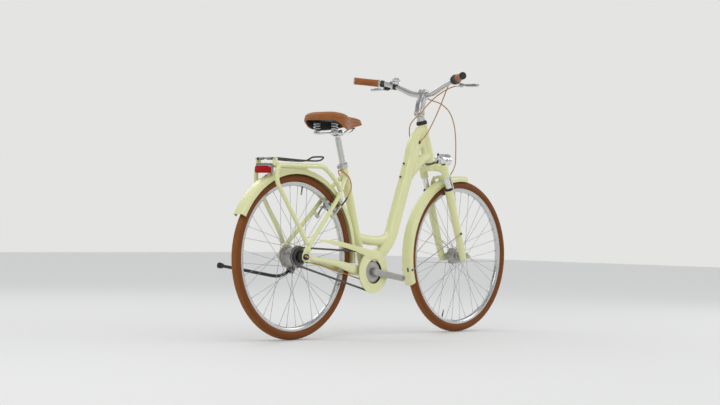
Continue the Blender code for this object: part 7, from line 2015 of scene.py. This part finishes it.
# %% Kickstand
STAND_PIVOT = mm([-475, 90, 290])
STAND_AXIS = unit(np.array([-0.2437, 0.93, 0.15]))
leg_spots = [STAND_PIVOT, *mm([(-500, 92, 273), (-545, 96, 264), (-620, 107, 274), (-730, 123, 292),
                               (-830, 137, 308)])]
stand_knob = [(12.4, -6), (13, -5), (13, 5.8), (11.8, 7.6), (9, 8.8), (0.2, 9)]
piece("kickstand_rod", [tube(smooth_path(leg_spots, 90), np.linspace(0.0074, 0.0066, 90), sides=28,
                             ease=0.002), solid(stand_knob, 0.8, STAND_PIVOT, STAND_AXIS, 48),
                        rod(STAND_PIVOT - STAND_AXIS * 0.018, STAND_PIVOT, 0.004)], SATIN, "kickstand",
      ["kickstand_leg"])
foot_at = mm([-833, 137.4, 308.5])
foot_line = unit(np.array([-0.1, 0.014, 0.016]))
foot = [(8, -12.5), (10.2, -10), (11.2, -4), (12.4, 2), (12.8, 7), (11.8, 11), (8.8, 13.2), (0.2, 13.8)]
piece("kickstand_foot", [solid(foot, 1.2, foot_at, foot_line, 48)], BLACK, "kickstand", [], 50)
knuckle = [(4.4, -19), (13, -19), (14, -17.8), (14, -7.6), (13, -6.5), (4.4, -6.5)]
piece("kickstand_plate", [block((-0.475, 0.0762, 0.312), (0.036, 0.056, 0.0076), 0.0012, UPRIGHT, 0.008),
                          block((-0.475, 0.069, 0.327), (0.035, 0.033, 0.011), 0.0012, UPRIGHT, 0.004),
                          hollow(knuckle, 0.8, STAND_PIVOT, STAND_AXIS, 48)], SATIN, "frame",
      ["kickstand_mount"])
piece("kickstand_screws", [solid([(5, 0), (5, 3), (4, 4.2), (0.2, 4.4)], 0.3, np.array([x, 0.08, 0.33]), LEFT,
                                 6) for x in (-0.485, -0.465)], STEEL, "frame", [])

# %% [markdown]
# ## Rim brakes
# Each brake is a pair of long levers on pegs. A lever is a flat curved bar with a round boss,
# a shoe with a rubber pad on a threaded stud, and, on one side, a bent pipe that leads the
# cable in. The bare wire crosses to the other lever inside a small bellows.

# %% Brake levers and pads
def brake_lever(pivot, up, ahead, side, lift, pad_up, axle):
    """Shells of the metal lever and of its shoe, stud and nut, then of the rubber pad."""
    out = LEFT * side
    path = smooth_path([pivot - up * 0.006, pivot + up * lift * 0.5 + out * 0.006,
                        pivot + up * lift + out * 0.004], 40)
    s = np.linspace(0, 1, 40)
    depth = np.interp(s, [0, 0.15, 1], [0.0078, 0.007, 0.0046])
    metal = [tube(path, depth, 0.0044, ahead, 3.0, 32, ease=0.0012),
             hollow([(4.2, -6), (8, -6), (8.7, -5), (8.7, 6.8), (7.8, 8), (4.2, 8)], 0.6, pivot, ahead, 40),
             solid([(5.6, 6.6), (5.6, 9.2), (4.6, 10.4), (0.2, 10.6)], 0.4, pivot, ahead, 32)]
    centre = (pivot + up * pad_up) * [1, 0, 1]
    radial = unit(centre - axle)
    tangent = np.cross(LEFT, radial)
    pad_inner, stud_out = 0.012 + 0.0018, abs(pivot[1]) + 0.0135
    axes = np.array([tangent, radial, LEFT])
    metal.append(block(centre + out * (pad_inner + 0.0088), (0.056, 0.01, 0.0044), 0.001, axes, 0.0035))
    metal.append(threaded(centre * [1, 0, 1], side * (pad_inner + 0.01), side * (stud_out - 0.0006), 0.003))
    for at, radius in ((pad_inner + 0.0135, 0.0068), (pad_inner + 0.0165, 0.0056),
                       (stud_out - 0.0076, 0.0068)):
        metal.append(rod(centre + out * at, centre + out * (at + 0.0022), radius, radius * 0.92, ease=0.0005))
    metal.append(tube([centre + out * (stud_out - 0.0054), centre + out * (stud_out - 0.001)], 0.0058,
                      sides=6, ease=0.0006))
    rubber = []
    for k in (-1, 0, 1):
        rubber.append(block(centre + tangent * k * 0.0186 + out * (pad_inner + 0.0036),
                            (0.0176, 0.008, 0.0072), 0.0012, axes, 0.0016))
    rubber.append(block(centre + out * (pad_inner + 0.0048), (0.056, 0.0078, 0.005), 0.0008, axes, 0.002))
    return metal, rubber


def brake_set(tag, base_point, up, ahead, pivot_up, pivot_ahead, lift, bodies):
    """Both levers of one brake. The pad sits at the rim's wall, measured along the arm from the axle."""
    reach = math.sqrt(0.307 ** 2 - pivot_ahead ** 2)
    for side, name in ((1, "left"), (-1, "right")):
        pivot = base_point + up * pivot_up + ahead * pivot_ahead + LEFT * side * 0.044
        metal, rubber = brake_lever(pivot, up, ahead, side, lift, reach - pivot_up, base_point)
        piece(f"{tag}_brake_{name}_lever", metal, SILVER, bodies[name], [f"{tag}_brake_{name}"], 34)
        piece(f"{tag}_brake_{name}_pad", rubber, PAD, bodies[name], [])


brake_set("front", steer(AXLE_DROP, 0.05), UP, AHEAD, 0.264 - AXLE_DROP, 0.01, 0.102,
          {"left": "front_brake_left", "right": "front_brake_right"})
brake_set("rear", rear, BRAKE_UP, BRAKE_AHEAD, 0.258, 0.022, 0.062,
          {"left": "rear_brake_left", "right": "rear_brake_right"})

# %% [markdown]
# On one lever a bent pipe turns the cable sideways, and its bare wire crosses to the other
# lever inside a rubber bellows. A bellows is turned, its radius a wave along its length.

# %% Cable ends, bent pipes and bellows
def bellows(start, end, folds=6):
    """A rubber sleeve whose radius rises and falls once per fold."""
    s = np.linspace(0, 1, folds * 10)
    radius = 0.0028 + 0.0012 * (0.5 - 0.5 * np.cos(2 * math.pi * folds * s))
    length = float(np.linalg.norm(end - start))
    profile = np.column_stack([np.r_[0.0002, radius, 0.0002], np.r_[0, s * length, length]])
    return turned(profile, start, end - start, 24)


def brake_wire(tag, top_left, up, pipe_spots):
    """A bent pipe on the right lever, the bare wire across, its bellows, and the clamp on the left lever."""
    piece(f"{tag}_brake_pipe", [tube(smooth_path(pipe_spots, 50), 0.0026, sides=18, ease=0.0005),
                                rod(pipe_spots[-1] - unit(pipe_spots[-1] - pipe_spots[-2]) * 0.006,
                                    pipe_spots[-1], 0.0036)], CHROME, f"{tag}_brake_right", [])
    piece(f"{tag}_brake_wire", [rod(pipe_spots[-1], top_left + LEFT * 0.01, 0.0008, ease=0.0002)], STEEL,
          f"{tag}_brake_right", [])
    first = pipe_spots[-1] + unit(top_left - pipe_spots[-1]) * 0.001
    piece(f"{tag}_brake_bellows", [bellows(first, first + unit(top_left - pipe_spots[-1]) * 0.034)], BLACK,
          f"{tag}_brake_right", [], 60)
    piece(f"{tag}_brake_anchor", [rod(top_left - LEFT * 0.001 + up * 0.001,
                                      top_left + LEFT * 0.007 + up * 0.001, 0.0048, ease=0.0006)],
          STEEL, f"{tag}_brake_left", [])


FRONT_TOP = steer(0.264 + 0.1055, 0.06, -0.048)
front_pipe = np.array([FRONT_TOP, FRONT_TOP - UP * 0.006 - LEFT * 0.004,
                       FRONT_TOP - UP * 0.0105 + LEFT * 0.002, FRONT_TOP - UP * 0.011 + LEFT * 0.01])
brake_wire("front", steer(0.264 + 0.095, 0.0668, 0.044), UP, front_pipe)
rear_right_top = rear + BRAKE_UP * (0.258 + 0.056) + BRAKE_AHEAD * 0.022 - LEFT * 0.048
rear_left_top = rear_right_top * [1, -1, 1]
rear_end = mm([-306, -47, 565])
rear_pipe = np.array([rear_end, rear_end + [-0.014, -0.004, -0.01],
                      rear_right_top - LEFT * 0.008 + BRAKE_UP * 0.004, rear_right_top + LEFT * 0.006])
piece("rear_brake_pipe", [tube(smooth_path(rear_pipe, 50), 0.0026, sides=18, ease=0.0005)], CHROME,
      "rear_brake_right", [])
piece("rear_brake_anchor", [rod(rear_left_top - LEFT * 0.005, rear_left_top + LEFT * 0.007, 0.0048,
                                ease=0.0006)], STEEL, "rear_brake_left", [])

# %% [markdown]
# The rear arms are short, so their wire can't run straight across through the tyre. It goes
# up from one arm, over the fender and down to the other. Each half rides on its own arm, and
# the ends slide past each other inside the bellows when the brake closes.

# %% Wire over the rear fender
ARCH = mm([(-43, 316), (-42, 340), (-37, 362), (-26, 376.5), (-12, 380), (-1, 380.5)])
arch_half = smooth_path([rear + BRAKE_UP * up + BRAKE_AHEAD * 0.022 + LEFT * y for y, up in ARCH], 50)
for side, name in ((-1, "right"), (1, "left")):
    half_wire = tube(arch_half, 0.0009, sides=10, ease=0.0002)
    piece(f"rear_brake_wire_{name}", [half_wire] if side < 0 else mirrored([half_wire]), STEEL,
          f"rear_brake_{name}", [])
crest = rear + BRAKE_UP * 0.3805 + BRAKE_AHEAD * 0.022
piece("rear_brake_bellows", [bellows(crest - LEFT * 0.015, crest + LEFT * 0.015)], BLACK, "rear_brake_right",
      [], 60)

# %% [markdown]
# ## Cables
# All three cables keep the CAD model's routes, point for point, on a smooth curve. Their upper ferrules hang
# on the steered bar and their lower ferrules on the frame or the sliding fork, while each housing is left on
# no body.

# %% Cables
BARREL = 0.0225
shift_start = on_side(GRIP_START, -1) - right_line * 0.0045 + right_rise * 0.019
brake_start = on_side(LEVER_ROOT, -1) - right_line * BARREL
SHIFT_ROUTE = [shift_start, shift_start - right_line * 0.025,
               *mm([(295, -150, 1142), (322, -100, 1090), (322, -66, 1020), (300, -48, 955), (270, -38, 902),
                    (240, -28.5, 868), (218, -13, 832), (203, -8, 786), (172, -8, 700), (135, -8, 603),
                    (97.5, -8, 500), (76, -8, 452), (48, -8, 408), (10, -8, 369), (-20, -8, 335),
                    (-50, -8, 295), (-85, -12, 255), (-130, -26, 248), (-210, -33, 264), (-340, -40, 296),
                    (-460, -52, 319), (-520, -56, 327)])]
BRAKE_ROUTE = [brake_start, brake_start - right_line * 0.014,
               *mm([(302, -165, 1113), (303, -115, 1098), (291, -65, 1066), (266, -33, 1024), (240, -26, 993),
                    (221, -6, 968), (219, 18, 940), (228, 30, 905), (235, 29, 872), (218, 13, 832),
                    (203, 8, 786), (172, 8, 700), (135, 8, 603), (97.5, 8, 500), (79, 8, 452), (50, 9, 427),
                    (0, 13, 419), (-60, 20, 420), (-115, 26, 435), (-150, 25, 480), (-175, 23.5, 530),
                    (-196, 23.5, 590), (-215, 24, 645), (-227, 27.5, 682), (-242, 27, 706), (-258, 15, 718),
                    (-264, 0, 719), (-257, -16, 710), (-240, -29, 691), (-227, -30, 668), (-223, -29, 648),
                    (-236, -36, 628), (-260, -42, 604), (-285, -45.5, 581), (-306, -47, 565)])]
front_start = LEVER_ROOT - GRIP_LINE * BARREL
FRONT_ROUTE = [front_start, front_start - GRIP_LINE * 0.014,
               *mm([(304, 160, 1113), (312, 100, 1100), (328, 50, 1079), (350, 8, 1060), (390, -22, 1042),
                    (428, -40, 1006), (452, -48, 950), (463, -50, 883), (464, -51, 810), (460, -52, 770),
                    (446, -51, 742)]), FRONT_TOP]


def cable(name, route, node, bodies):
    """The housing along its route, left on no body, and a metal ferrule at both ends, each on its own body.
    """
    path = smooth_path([np.asarray(p, float) for p in route], 420)
    housing = piece(f"{name}_housing", [tube(path, 0.0025, sides=14)], HOUSING, None, [node], 60)
    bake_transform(housing)
    first = path[0]
    upper = piece(f"{name}_upper_ferrule", [rod(first - unit(path[6] - first) * 0.0005, path[8], 0.0031,
                                                ease=0.0004)], SILVER, bodies[0], [])
    sleeve, cover = (path[-16:], BLACK) if name == "rear_brake" else (path[-8:], SILVER)
    lower = piece(f"{name}_lower_ferrule", [tube(sleeve, 0.0033, sides=16, ease=0.0004)], cover, bodies[1],
                  [])


cable("shift", SHIFT_ROUTE, "shift_cable",
      ("steering", "frame"))
cable("rear_brake", BRAKE_ROUTE, "rear_brake_cable",
      ("steering", "frame"))
cable("front_brake", FRONT_ROUTE, "front_brake_cable",
      ("steering", "fork_lowers"))

# %% [markdown]
# ## Colour view
# The view shows colours as they are written, through the Standard transform.

# %% Standard view transform
bpy.context.scene.view_settings.view_transform = "Standard"
